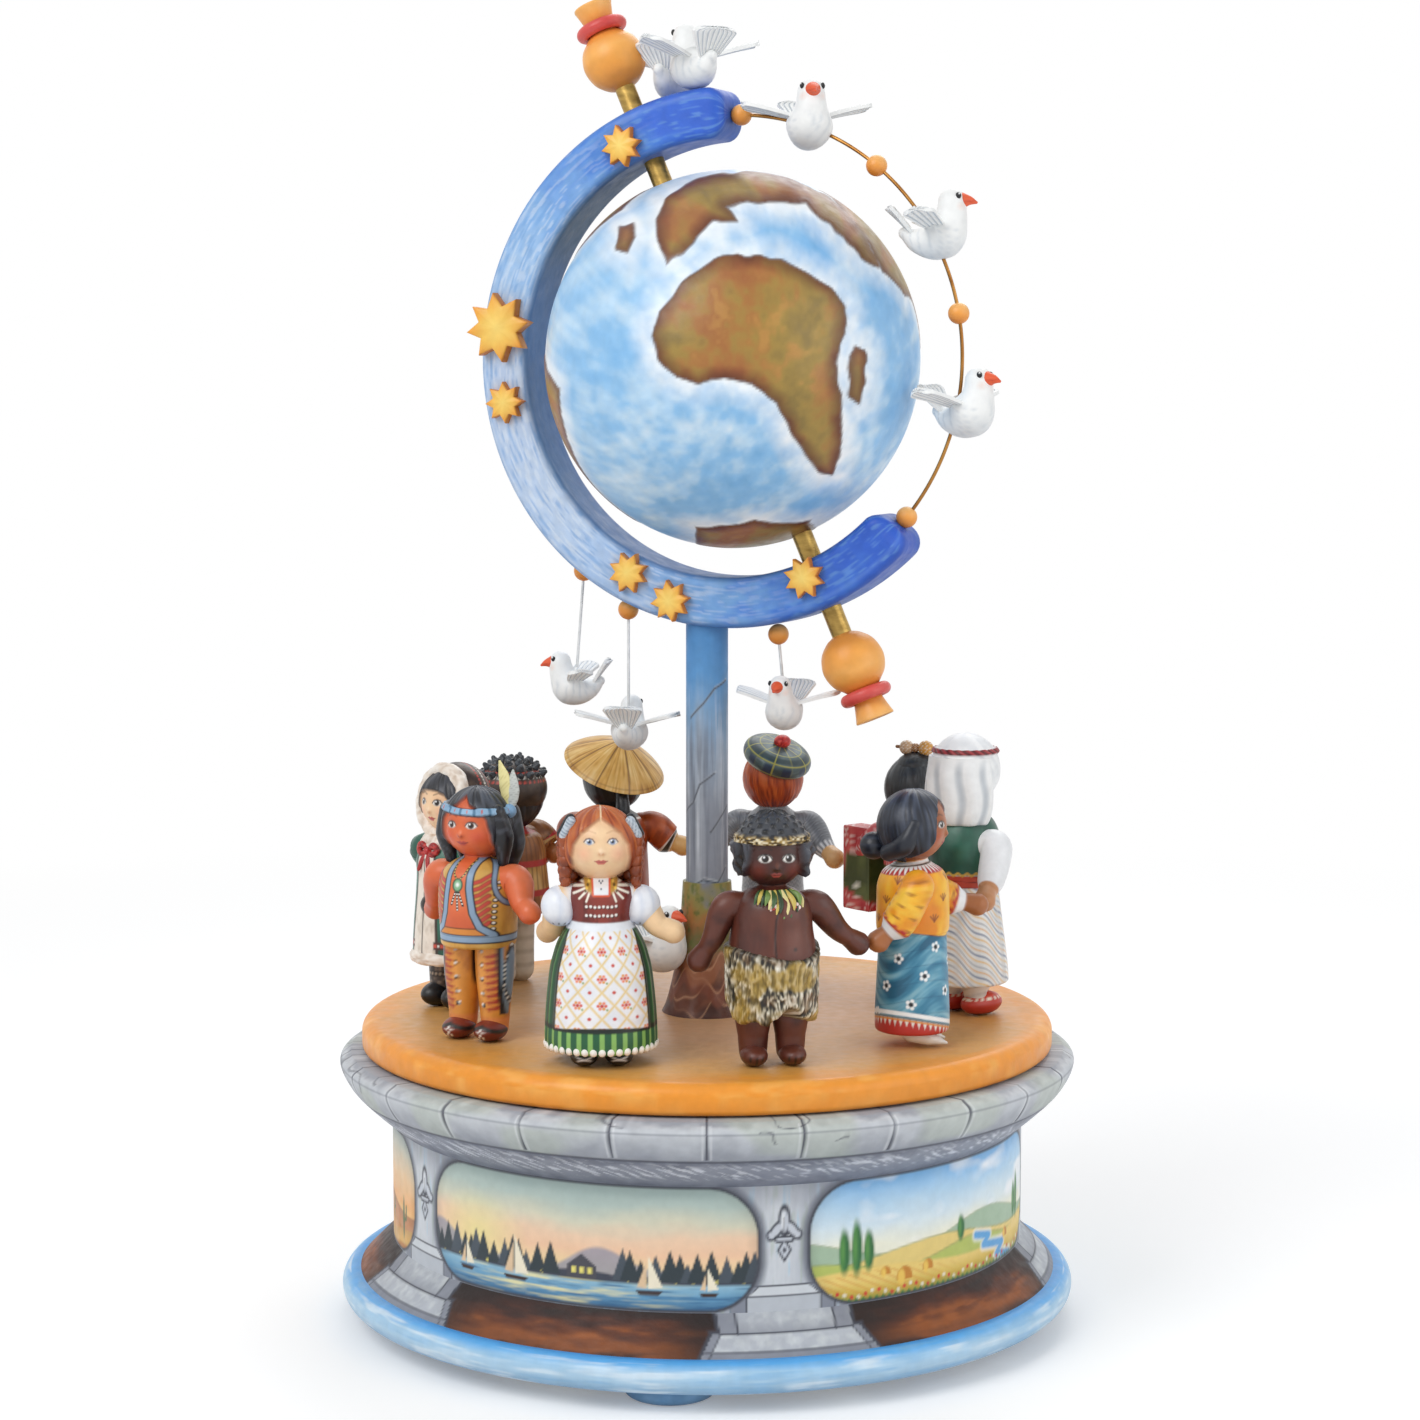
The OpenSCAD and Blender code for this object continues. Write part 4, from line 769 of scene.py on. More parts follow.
# cornice of painted stone blocks
cornice = {
    "around": 1200, "coveRows": 58, "ledge": 6.0, "seat": 4, "lip": 8, "blocks": 26, "lineAt": 0.5,
    "groove": 0.28, "cove": [(0, 0), (0.45, 0.28), (0.82, 0.56), (1.0, 0.86), (0.786, 1.0)],
    # the band is darkest at the cove's foot, where it faces down over the drum: painted shade
    "band": [(0, "#6F7380"), (0.12, "#878B98"), (0.36, "#979BA8"), (0.47, "#7A7E8B")],
    # the blocks are lightest on the upper bulge (painted light) and darker across the flat top under the
    # turntable's edge (painted shade)
    "block": [(0.5, "#9CA0AA"), (0.62, "#A9ADB5"), (0.8, "#BFC3C9"), (0.9, "#C6CACF"), (1, "#9DA1AA")],
    "line": "#4A4D58",
}


def makeCornice():
    low, high = span("cornice")
    inner, outer = wide("drum") - drum["wall"], wide("cornice")
    reach, tall = outer - wide("drum"), high - low
    cove = smoothLine([(wide("drum") + reach * a, low + tall * b) for a, b in cornice["cove"]],
                      cornice["coveRows"])
    cove[:, 0] = np.minimum(cove[:, 0], outer)
    ledge, seat = low + cornice["ledge"], inner - cornice["seat"]
    rest = [(inner + cornice["lip"], high), (inner, high), (inner, ledge), (seat, ledge), (seat, low)]
    grid, angle = latheGrid(np.concatenate([cove, rest]), cornice["around"])
    up = (np.concatenate([np.linspace(0, 1, cornice["coveRows"]), [1, 1, 1, 1, 0]])[None]
          + 0 * angle[:, None])
    turn = angle[:, None] / (2 * np.pi) + 0 * up
    cloudy = clouds(turn * 130, up * 6, 81, 130)
    paint = ramp(up + 0.25 * (cloudy - 0.5), cornice["band"])
    scribble = specks(turn * 620 + 40 * up, up * 17, 82)
    frieze = fill(np.abs(up - 0.3) - 0.13, 0.12)
    paint = lay(paint, "#DDE0E8", np.clip((scribble - 0.6) * 5, 0, 0.8) * frieze)
    stone = ramp(up + 0.3 * (cloudy - 0.5), cornice["block"])
    stone = lay(stone, "#B9C2B4", np.clip((specks(turn * 40, up * 3, 84, 40) - 0.6) * 3, 0, 0.5))
    paint = daub(paint, stone, (cornice["lineAt"] - up) * 30, 0.4)
    slip = 0.16 * np.sin(up * 9 + 3 * np.floor(turn * cornice["blocks"]))
    place = turn * cornice["blocks"] + 0.03 * slip
    joint = np.abs(place - np.round(place)) * 2 * np.pi * outer / cornice["blocks"]
    joint = np.where(up > cornice["lineAt"] + 0.03, joint, 9)
    seam = np.abs(up - cornice["lineAt"]) * 30
    crack = np.abs(specks(turn * 90, up * 5 + 3, 85, 90) - 0.5) * 12
    crack = np.where((up > 0.72) & (specks(turn * 26, up * 0, 86, 26) > 0.55), crack, 9)
    paint = lay(paint, "#E6E9EC", fill(np.abs(joint - 1.0) - 0.25, 0.5) * 0.5 * (up < 0.95))
    paint = lay(paint, cornice["line"], np.maximum(fill(joint - 0.32, 0.45), fill(seam - 0.5, 0.7) * 0.85))
    paint = daub(paint, cornice["line"], crack - 0.25, 0.5, 0.8)
    edgeLine = np.abs(up - 0.84) * 30
    paint = daub(paint, "#6A6D79", edgeLine - 0.2, 0.5, 0.6)
    depth = cornice["groove"] * np.maximum(fill(joint - 0.3, 0.6), fill(seam - 0.4, 0.6))
    shrink = 1 - depth / outer * (up > 0.02)
    grid[..., 0] *= shrink
    grid[..., 1] *= shrink
    heap = newHeap()
    addGrid(heap, grid, paint, wrapV=True)
    buildPiece("stoneCornice", heap, stonePaint, "base", "cornice")


# turntable, column and its painted foot
table = {
    "bore": 4.05, "low": 1.5, "high": 3.5, "around": 720,
    "tones": [
        (0, "#C89A72"), (40, "#CFA27A"), (66, "#D4A26A"), (80, "#DBA257"), (88, "#E79E3E"),
        (92, "#EE9A33"), (94, "#EE962C"),
    ],
}


def makeTable():
    low, high = span("turntable")
    outer = wide("turntable")
    rim = np.concatenate([
        arc((outer - table["low"], low + table["low"]), table["low"], -90, 0, 8),
        arc((outer - table["high"], high - table["high"]), table["high"], 0, 90, 16)])
    top = even([(outer - table["high"], high), (table["bore"], high)], 60)[1:]
    grid, angle = latheGrid(np.concatenate([[(table["bore"], low)], rim, top]), table["around"])
    radius = np.hypot(grid[..., 0], grid[..., 1])
    x, y = grid[..., 0], grid[..., 1]
    haze = clouds(x / 26 + 20, y / 26 + 20, 91)
    paint = ramp(radius + 22 * (haze - 0.5) * (radius < 88), table["tones"])
    paint = lay(paint, "#E8B376", np.clip((clouds(x / 40 + 8, y / 40 + 9, 92) - 0.55) * 3, 0, 0.5)
                * (radius < 85))
    strokes = clouds(angle[:, None] / (2 * np.pi) * 70 + 0 * radius, grid[..., 2] / 2.2, 93, 70)
    paint = lay(paint, "#F7B357", np.clip((strokes - 0.52) * 3, 0, 0.6) * (radius > 90))
    # painted shade: deeper orange on the disc's underside and the lower edge of its rim
    paint = daub(paint, "#D77F1E", grid[..., 2] - low - 1.2, 2.0, 0.7)
    for k in range(20):  # fine rings left by the lathe
        paint = daub(paint, "#B98A5A", np.abs(radius - 10 - 4.1 * k) - 0.3, 1.2, 0.12)
    heap = newHeap()
    addGrid(heap, grid, paint, wrapV=True)
    buildPiece("stageDisc", heap, warmPaint, "turntable", "turntable")


column = {
    "around": 140, "rows": 230, "top": 188.3,
    "tones": [
        (82, "#6E7480"), (110, "#868C98"), (140, "#8D95A2"), (152, "#94A4B8"), (163, "#7FA4C8"),
        (174, "#5B95CB"), (190, "#4A87C2"),
    ],
    "cracks": [
        [(-5, 163), (-1, 167), (2, 171), (6, 173)], [(-8, 137), (-4, 140), (-2, 145), (2, 148)],
        [(1, 132), (4, 136), (7, 139)], [(-6, 116), (-1, 119), (3, 118), (6, 122)],
        [(9, 150), (12, 155), (16, 158)], [(-16, 126), (-12, 131), (-10, 137)],
        [(-17, 160), (-13, 158), (-9, 161)], [(-3, 100), (1, 104), (5, 106)],
    ],
}


def makeColumn():
    outer = wide("column")
    wall = even([(outer, span("turntable")[1]), (outer, column["top"])], column["rows"])
    grid, angle = latheGrid(wall, column["around"])
    z = grid[..., 2]
    s = angle[:, None] * outer + 0 * z
    streak = clouds(s * 0.8 + 30, z / 26, 101)
    paint = ramp(z + 10 * (streak - 0.5), column["tones"])
    paint = lay(paint, "#D5DBE2", np.clip((streak - 0.56) * 3.2, 0, 0.6) * fill(z - 168, 10))
    # painted highlight: a pale vertical stripe just left of the column's front, on its upper part
    paint = lay(paint, "#C3CCD6", fill(np.abs(s + 2.2) - 0.8, 2.4) * 0.5 * fill(z - 166, 14))
    paint = lay(paint, "#5E6572", np.clip((0.42 - streak) * 3, 0, 0.6) * fill(z - 160, 16))
    for line in column["cracks"]:
        paint = daub(paint, "#C9D0D8", stroke(s - 0.35, z - 0.4, line, 0.5), 0.6, 0.6)
        paint = daub(paint, "#3C424E", stroke(s, z, line, 0.45), 0.5)
    heap = newHeap()
    addGrid(heap, grid, paint)
    buildPiece("stoneColumn", heap, stonePaint, "turntable", "column")


columnFoot = {
    "around": 200, "rows": 90,
    "tones": [
        (82, "#4E2A1E"), (87, "#7A4A34"), (92, "#5C3324"), (97, "#8A5A3C"), (103, "#6F6A3C"),
        (109, "#A3703E"), (114, "#8B8448"), (118, "#7C8088"),
    ],
}


def makeColumnFoot():
    low, high = span("column_foot")
    outer, tall = wide("column_foot"), high - low
    slim = wide("column") + 0.9
    side = smoothLine([(outer, 0), (outer - 1.6, 0.12 * tall), (slim + 1.3, 0.5 * tall), (slim, tall)],
                      columnFoot["rows"])
    outline = side + [0, low]
    grid, angle = latheGrid(outline, columnFoot["around"])
    z = grid[..., 2]
    turn = angle[:, None] / (2 * np.pi) + 0 * z
    rocks = clouds(turn * 9, z / 7, 111, 9)
    paint = ramp(z + 15 * (rocks - 0.5), columnFoot["tones"])
    paint = lay(paint, "#D98A4A", np.clip((clouds(turn * 14, z / 4, 112, 14) - 0.6) * 4, 0, 0.8)
                * fill(np.abs(z - 103) - 7, 5))
    paint = lay(paint, "#5E6A34", np.clip((clouds(turn * 30, z / 2, 113, 30) - 0.56) * 5, 0, 0.8)
                * fill(94 - z, 6))
    for k, level in enumerate((85.0, 88.6, 92.4, 96.4)):  # mounds of rock, one behind the other
        crest = (level + 2.2 * np.sin(turn * 2 * np.pi * (4 + k % 2) + 1.9 * k)
                 + 1.2 * np.sin(turn * 2 * np.pi * 9 + k))
        depth = crest - z
        band = fill(np.abs(depth - 2.2) - 2.2, 1.2)
        paint = lay(paint, ("#3E2018", "#5E3426", "#7E4632", "#9A6244")[k], band * 0.75)
        paint = daub(paint, "#C99A78", np.abs(depth - 0.4) - 0.25, 0.6, 0.7)
    bulge = 1 + 0.06 * (rocks - 0.5) * fill(z - 100, 10)
    grid[..., 0] *= bulge
    grid[..., 1] *= bulge
    heap = newHeap()
    addGrid(heap, grid, paint)
    buildPiece("rockFoot", heap, warmPaint, "turntable", "column_foot")


makeRimBoard()
makePlinth()
makeDrum()
makeCornice()
makeTable()
makeColumn()
makeColumnFoot()
print("base, turntable and column painted")


# open ring round the globe: u across, v up and w toward the front of the ring, from the globe's middle
axle = {"lean": 23.4, "half": 87.4}
ring = {
    "outer": 71.6, "inner": 58.0, "depth": 17.0, "from": 90.0, "to": 318.0, "shift": 7.5, "yaw": -23.0,
    "round": 2.6, "endRound": 4.6, "rows": 420,
    "tones": [
        (90, "#2F5FC8"), (104, "#3768D0"), (122, "#4E86D8"), (142, "#86B2E4"), (160, "#A3C4E8"),
        (188, "#B9CDE9"), (224, "#BDD1EB"), (246, "#A2C1E8"), (266, "#75A5DC"), (286, "#477CD4"),
        (304, "#3464CC"), (318, "#2C5BC4"),
    ],
}
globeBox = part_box("globe")
globeAt = np.array([(a + b) / 2 / mm for a, b in zip(*globeBox)])
globeR = (globeBox[1].z - globeBox[0].z) / 2 / mm


def ringPlace(u, v, w):  # from the ring's own directions to the frame
    yaw = math.radians(ring["yaw"])
    x = u * math.cos(yaw) + w * math.sin(yaw)
    y = u * math.sin(yaw) - w * math.cos(yaw)
    return np.stack(np.broadcast_arrays(x, y, v + globeAt[2]), -1)


def ringPoint(degrees, radius, w=0.0):
    a = math.radians(degrees)
    return ringPlace(ring["shift"] + radius * math.cos(a), radius * math.sin(a), w)


def makeRing():
    mid, half = (ring["outer"] + ring["inner"]) / 2, (ring["outer"] - ring["inner"]) / 2
    deep, r = ring["depth"] / 2, ring["round"]
    corners = [
        ((half - r, deep - r), 0), ((r - half, deep - r), 90), ((r - half, r - deep), 180),
        ((half - r, r - deep), 270),
    ]
    loop = np.concatenate([arc(at, r, start, start + 90, 9) for at, start in corners])
    loop = even(np.concatenate([loop, loop[:1]]), 141)[:-1]
    turn = np.linspace(ring["from"], ring["to"], ring["rows"])
    c = ring["endRound"]
    step = np.array([0.0, 0.012, 0.05, 0.12, 0.22, 0.36, 0.54, 0.76, 1.0]) * math.degrees(c / mid)
    turn = np.concatenate([ring["from"] + step, turn[6:-6], ring["to"] - step[::-1]])
    gone = np.minimum(turn - ring["from"], ring["to"] - turn) * math.radians(mid)
    lost = c - np.sqrt(np.clip(c ** 2 - np.clip(c - gone, 0, c) ** 2, 0, None))
    wide = (half - lost) / half
    thin = (deep - 0.6 * lost) / deep
    across = mid + loop[:, :1] * wide
    w = loop[:, 1:] * thin
    a = np.radians(turn)[None]
    grid = ringPlace(ring["shift"] + across * np.cos(a), across * np.sin(a), w)
    turned = turn[None] + 0 * across
    strokes = clouds(turned / 5.5, loop[:, :1] / 3.2 + loop[:, 1:] / 6 + 40 + 0 * turned, 121)
    paint = ramp(turned + 26 * (strokes - 0.5), ring["tones"])
    bristle = specks(turned / 3.0, loop[:, :1] * 2.2 + loop[:, 1:] * 1.1 + 90 + 0 * turned, 125)
    pale = fill(np.abs(turned - 200) - 75, 40)
    paint = lay(paint, "#E6EEF7", np.clip((bristle - 0.6) * 3, 0, 0.34) * pale)
    paint = lay(paint, "#6E9FD6", np.clip((0.34 - bristle) * 3, 0, 0.5))
    # painted shade: the outer and inner walls and the back of the ring get darker blues than the front face
    outside = np.clip((loop[:, :1] - half + 1.6) / 1.6, 0, 1) + 0 * turned
    inside = np.clip((1.2 - half - loop[:, :1]) / 1.2, 0, 1) + 0 * turned
    rear = np.clip(-loop[:, 1:] / deep, 0, 1) + 0 * turned
    paint = lay(paint,
                ramp(turned, [(90, "#2A58BE"), (150, "#3F7CC0"), (200, "#4683BE"), (250, "#3F7CC6"),
                              (318, "#2850B4")]), outside * 0.8)
    paint = lay(paint,
                ramp(turned, [(90, "#3D5FA8"), (150, "#5E86B8"), (210, "#5B83AC"), (270, "#4C78B4"),
                              (318, "#3258AA")]), inside * 0.85)
    paint = lay(paint, "#3F6FB4", rear * 0.3)
    # painted highlight: a paler blue line along the front face's outer rounded edge
    edge = np.abs(loop[:, :1] - half + 2.4) + 0 * turned
    paint = lay(paint, "#7FA8DA", fill(edge - 0.3, 1.2) * 0.35 * (loop[:, 1:] > 0))
    heap = newHeap()
    addGrid(heap, grid, paint)
    buildPiece("openRing", heap, ringPaint, "turntable", "meridian_ring")


stars = {
    "points": 8, "waist": 0.62, "face": 8.5,
    "big": [(172.2, 65.1, 9.5, 4.0, 8)],
    "small": [(116.4, 63.2, 5.7, 3.0, 14), (190.3, 64.2, 5.7, 3.0, 4), (245.2, 62.9, 5.7, 3.0, 20),
              (257.7, 65.9, 5.7, 3.0, 9), (293.1, 62.3, 5.7, 3.0, 31)],
    "tones": [(0, "#F9D774"), (0.45, "#F6C65C"), (0.8, "#F0A842"), (1, "#EA9433")], "side": "#D98428",
}


def makeStars(name, places, node):
    heap = newHeap()
    for degrees, out, size, thick, spin in places:
        n = stars["points"]
        corner = np.radians(np.arange(2 * n + 1) * 180 / n + spin)
        reach = np.where(np.arange(2 * n + 1) % 2, size * stars["waist"], size)
        line = even(np.stack([reach * np.cos(corner), reach * np.sin(corner)], -1), 2 * n * 7 + 1)[:-1]
        share = np.array([0.04, 0.2, 0.4, 0.6, 0.8, 0.93, 0.985, 1, 1, 0.97, 0.05])
        level = np.array([0.5, 0.48, 0.42, 0.32, 0.18, 0.06, -0.18, -0.6, 0.4 - thick, -thick, -thick])
        a = math.radians(degrees)
        u = ring["shift"] + out * math.cos(a) + np.outer(line[:, 0], share)
        v = out * math.sin(a) + np.outer(line[:, 1], share)
        w = stars["face"] + thick - 0.5 + level[None] + 0 * u
        reachShare = np.hypot(line[:, 0], line[:, 1])[:, None] * share / size
        paint = ramp(reachShare + 0.16 * (specks(u / 2, v / 2, 131) - 0.5), stars["tones"])
        # painted shade: the stars' sides and backs are a darker orange than their faces
        paint = lay(paint, stars["side"], fill(level[None] + 0.4, 0.3) + 0 * u)
        addGrid(heap, ringPlace(u, v, w), paint)
    buildPiece(name, heap, warmPaint, "turntable", node)


# globe: each land is drawn in a flat view of the ball, with its turn and rise
lands = [
    {
        "view": (0, 0),
        "lines": [
            [
                (-0.22, 0.41), (-0.10, 0.49), (0.02, 0.52), (0.21, 0.50), (0.37, 0.43), (0.50, 0.36),
                (0.57, 0.26), (0.55, 0.11), (0.52, -0.03), (0.54, -0.21), (0.55, -0.43), (0.51, -0.60),
                (0.44, -0.58), (0.36, -0.49), (0.29, -0.38), (0.21, -0.23), (0.09, -0.13), (-0.05, -0.10),
                (-0.18, -0.13), (-0.29, -0.10), (-0.38, -0.01), (-0.41, 0.11), (-0.38, 0.23),
                (-0.30, 0.33),
            ],
            [
                (-0.34, 0.47), (-0.38, 0.59), (-0.39, 0.71), (-0.36, 0.82), (-0.25, 0.90), (-0.12, 0.95),
                (0.07, 0.98), (0.27, 0.95), (0.47, 0.86), (0.61, 0.76), (0.70, 0.63), (0.75, 0.47),
                (0.65, 0.51), (0.57, 0.61), (0.47, 0.70), (0.37, 0.79), (0.21, 0.79), (0.07, 0.79),
                (-0.05, 0.77), (0.02, 0.69), (-0.10, 0.69), (-0.18, 0.61), (-0.26, 0.53),
            ],
            [(0.61, 0.07), (0.67, 0.04), (0.67, -0.08), (0.64, -0.24), (0.59, -0.19), (0.58, -0.05)],
            [(-0.59, 0.68), (-0.52, 0.69), (-0.50, 0.62), (-0.54, 0.54), (-0.60, 0.56)],
        ],
    },
    {
        "view": (95, 25),
        "lines": [
            [
                (-0.52, 0.10), (-0.40, 0.46), (-0.05, 0.62), (0.38, 0.52), (0.55, 0.25), (0.36, 0.05),
                (0.30, -0.22), (0.18, -0.02), (0.02, -0.10), (-0.06, -0.40), (-0.20, -0.12),
                (-0.38, -0.06),
            ],
            [(0.62, 0.30), (0.70, 0.24), (0.66, 0.05), (0.60, 0.12)],
        ],
    },
    {
        "view": (128, -24),
        "lines": [
            [
                (-0.34, 0.02), (-0.16, 0.22), (0.02, 0.14), (0.14, 0.26), (0.34, 0.06), (0.26, -0.20),
                (0.02, -0.16), (-0.28, -0.20),
            ],
            [(0.46, -0.30), (0.54, -0.24), (0.50, -0.44)],
        ],
    },
    {
        "view": (-112, 34),
        "lines": [
            [
                (-0.50, 0.30), (-0.30, 0.52), (0.10, 0.56), (0.46, 0.40), (0.40, 0.10), (0.22, -0.06),
                (0.20, -0.28), (0.06, -0.12), (-0.10, -0.10), (0.02, -0.44), (-0.16, -0.26),
                (-0.30, 0.02),
            ],
        ],
    },
    {
        "view": (-88, -22),
        "lines": [
            [
                (-0.24, 0.36), (0.06, 0.40), (0.36, 0.20), (0.22, -0.10), (0.06, -0.34), (-0.02, -0.62),
                (-0.10, -0.40), (-0.14, 0.0), (-0.30, 0.18),
            ],
        ],
    },
    {
        "view": (20, -74),
        "lines": [
            [(-0.34, 0.10), (-0.08, 0.30), (0.26, 0.22), (0.40, -0.06), (0.18, -0.28), (-0.22, -0.24)],
        ],
    },
]
globe = {
    "around": 352, "rows": 272, "crowd": 0.55, "relief": 0.28,
    "sea": [(0.2, "#6FAEE2"), (0.45, "#8FC1EA"), (0.6, "#B9D9F2"), (0.8, "#E6F1FA")],
    "land": [(0.25, "#7F7A38"), (0.42, "#A1903F"), (0.55, "#A97B38"), (0.75, "#9A5A2C")],
}


def makeGlobe():
    s = np.linspace(-np.pi, np.pi, globe["around"], endpoint=False)
    a = (s - globe["crowd"] * np.sin(s))[:, None]
    e = np.linspace(-np.pi / 2 + 0.03, np.pi / 2 - 0.03, globe["rows"])[None]
    way = np.stack([np.sin(a) * np.cos(e), -np.cos(a) * np.cos(e), np.sin(e) + 0 * a], -1)
    x, y, z = way[..., 0], way[..., 1], way[..., 2]
    coast = np.full(x.shape, 9.0)
    for land in lands:
        turn, rise = (math.radians(k) for k in land["view"])
        look = np.array([math.sin(turn) * math.cos(rise), -math.cos(turn) * math.cos(rise), math.sin(rise)])
        right = np.array([math.cos(turn), math.sin(turn), 0])
        above = np.cross(right, -look)
        u, v = way @ right, way @ above
        for line in land["lines"]:
            wiggle = 0.022 * (specks(u * 16 + 50, v * 16 + 50, 141) - 0.5)
            coast = np.where(way @ look > 0.02, np.minimum(coast, patch(u, v, line) + wiggle), coast)
    cloudy = clouds(3.2 * x + 2.1 * y + 30, 3.2 * z + 1.4 * y + 30, 143)
    fine = clouds(13 * x + 4 * y + 30, 13 * z - 5 * y + 30, 145)
    paint = ramp(0.46 + 0.62 * (cloudy - 0.5) + 0.42 * (fine - 0.5), globe["sea"])
    paint = daub(paint, "#F4F9FD", coast - 0.07, 0.14, 0.35 + fine)
    soil = ramp(0.6 * cloudy + 0.55 * fine - 0.08, globe["land"])
    soil = lay(soil, "#9C5C38", 0.3 + 0.5 * np.clip(cloudy - 0.35, 0, 0.6))
    soil = lay(soil, "#C79A4E", np.clip((fine - 0.58) * 3, 0, 0.45) * fill(coast + 0.1, 0.1))
    soil = daub(soil, "#5E2E18", -coast - 0.045, 0.06, 0.55 + 0.5 * fine)
    paint = daub(paint, soil, coast, 0.012)
    paint = daub(paint, "#4A2414", np.abs(coast) - 0.004, 0.01, 0.8)
    grid = globeAt + way * (globeR - 0.1 + globe["relief"] * fill(coast, 0.02))[..., None]
    heap = newHeap()
    addGrid(heap, grid, paint)
    buildPiece("paintedGlobe", heap, skyPaint, "globe", "globe")


# finials at both ends of the axle
finial = {
    "outline": [
        (2.76, -8.1), (4.9, -6.95), (7.4, -4.2), (8.5, 0), (7.5, 4.0), (5.2, 6.6), (3.8, 8.0), (3.6, 9.4),
        (3.9, 10.6), (4.4, 12.6), (5.0, 14.8), (5.3, 15.7), (4.9, 16.0), (3.0, 15.8),
    ],
    "tones": [
        (-8, "#D98A3A"), (-3, "#EEA045"), (2, "#F4B05C"), (6, "#EFA047"), (9, "#D98636"), (12, "#F0A44C"),
        (16, "#F3B668"),
    ],
}


def makeFinials():
    lean = math.radians(axle["lean"])
    way = ringPlace(-math.sin(lean), math.cos(lean), 0.0) - (0, 0, globeAt[2])
    side = np.cross(way, (0, 1, 0))
    side /= np.linalg.norm(side)
    across = np.cross(way, side)
    outline = smoothLine(finial["outline"], 70)
    angle = np.linspace(0, 2 * np.pi, 64, endpoint=False)
    heap = newHeap()
    for s in (-1, 1):
        out = (np.outer(np.cos(angle), outline[:, 0])[..., None] * side
               + np.outer(np.sin(angle), outline[:, 0])[..., None] * across)
        grid = globeAt + out + (s * (axle["half"] + outline[:, 1]))[None, :, None] * way
        soft = clouds(angle[:, None] / (2 * np.pi) * 9 + 0 * outline[:, 1], outline[:, 1] / 4, 151, 9)
        addGrid(heap, grid, ramp(outline[:, 1] + 5 * (soft - 0.5), finial["tones"]))
    buildPiece("axleFinials", heap, warmPaint, "globe", "finials")


# garland wire, beads and doves
garland = {"radius": 64.5, "wire": 0.5, "grip": 2.4, "bead": 2.8, "hangRadius": 74.45}


def makeGarland():
    turn = np.linspace(ring["to"] - garland["grip"] - 360, ring["from"] + garland["grip"], 150)
    line = np.array([ringPoint(a, garland["radius"]) for a in turn])
    heap = newHeap()
    tube = tubeGrid(line, garland["wire"], 10, up=(0.39, 0.92, 0.05))
    addGrid(heap, tube,
            lay(flat("#B98648", tube), "#8A5A2E", specks(np.arange(tube.shape[1]) / 3, 0.0)[None]))
    buildPiece("garlandWire", heap, metalPaint, "turntable", "garland_wire")
    reach = math.degrees((garland["bead"] - 0.4) / garland["radius"])
    heap = newHeap()
    for a in (ring["from"] - reach, 51.0, 10.4, ring["to"] - 360 + reach):
        addBead(heap, ringPoint(a, garland["radius"]))
    buildPiece("garlandBeads", heap, warmPaint, "turntable", "garland_beads")
    heap = newHeap()
    for degrees, w, *_ in flock["hanging"]:
        addBead(heap, ringPoint(degrees, garland["hangRadius"], w))
    buildPiece("hangingBeads", heap, warmPaint, "turntable", "hanging_beads")


def addBead(heap, at):
    grid, way = ballGrid(at, [garland["bead"]] * 3, 32, 22)
    # painted light and shade: each bead is lighter on top and towards its right, darker underneath
    addGrid(heap, grid,
            ramp(way[..., 2] + 0.3 * way[..., 0], [(-1, "#D67F2E"), (0, "#F0A047"), (1, "#F8C078")]))


dove = {
    "spine": [(-8.2, 1.8), (-5.0, -0.4), (-1.2, -1.0), (2.0, 0.4), (4.0, 3.6), (4.8, 6.4), (5.0, 8.0)],
    "girth": [1.6, 4.4, 6.1, 5.9, 4.5, 3.9, 3.6],
    "white": "#F3F4F3", "grey": "#A9B3BD", "beak": "#E4603A", "eye": "#1B1B1E",
}


def plate(heap, place, root, tip, length, thick, pleats, lift, curl):  # a thin pleated wing or tail
    s = np.linspace(0, 1, 18)
    across = np.linspace(-1, 1, 6 * pleats + 1)
    side = np.concatenate([across, across[::-1]])[:, None]
    skin = np.concatenate([across * 0 + 0.5, across * 0 - 0.5])[:, None] * thick
    half = root + (tip - root) * s ** 0.8
    half = half * np.where(s > 0.86, np.sqrt(np.clip(1 - ((s - 0.86) / 0.17) ** 2, 0.05, 1)), 1)
    fold = np.abs((side * pleats / 2 + 0.25) % 1 - 0.5) * 2
    x = s[None] * length + 0 * side
    x = x + 0.9 * (1 - side ** 2) * s[None] ** 3
    y = half[None] * side
    z = (skin + 0.5 * (fold - 0.5) * np.clip(s[None] * 3, 0, 1) + lift * np.sin(s[None] * 1.4)
         + curl * side ** 2 * s[None])
    paint = lay(np.broadcast_to(tint(dove["white"]), (*x.shape, 3)), dove["grey"],
                np.clip(1.1 - 2.4 * fold, 0, 0.9) * (s[None] > 0.12))
    addGrid(heap, place(np.stack([x, y, z], -1)), paint)


def turnBy(degrees, axis):
    c, s = math.cos(math.radians(degrees)), math.sin(math.radians(degrees))
    ways = {
        "x": [[1, 0, 0], [0, c, -s], [0, s, c]], "y": [[c, 0, s], [0, 1, 0], [-s, 0, c]],
        "z": [[c, -s, 0], [s, c, 0], [0, 0, 1]],
    }
    return np.array(ways[axis])


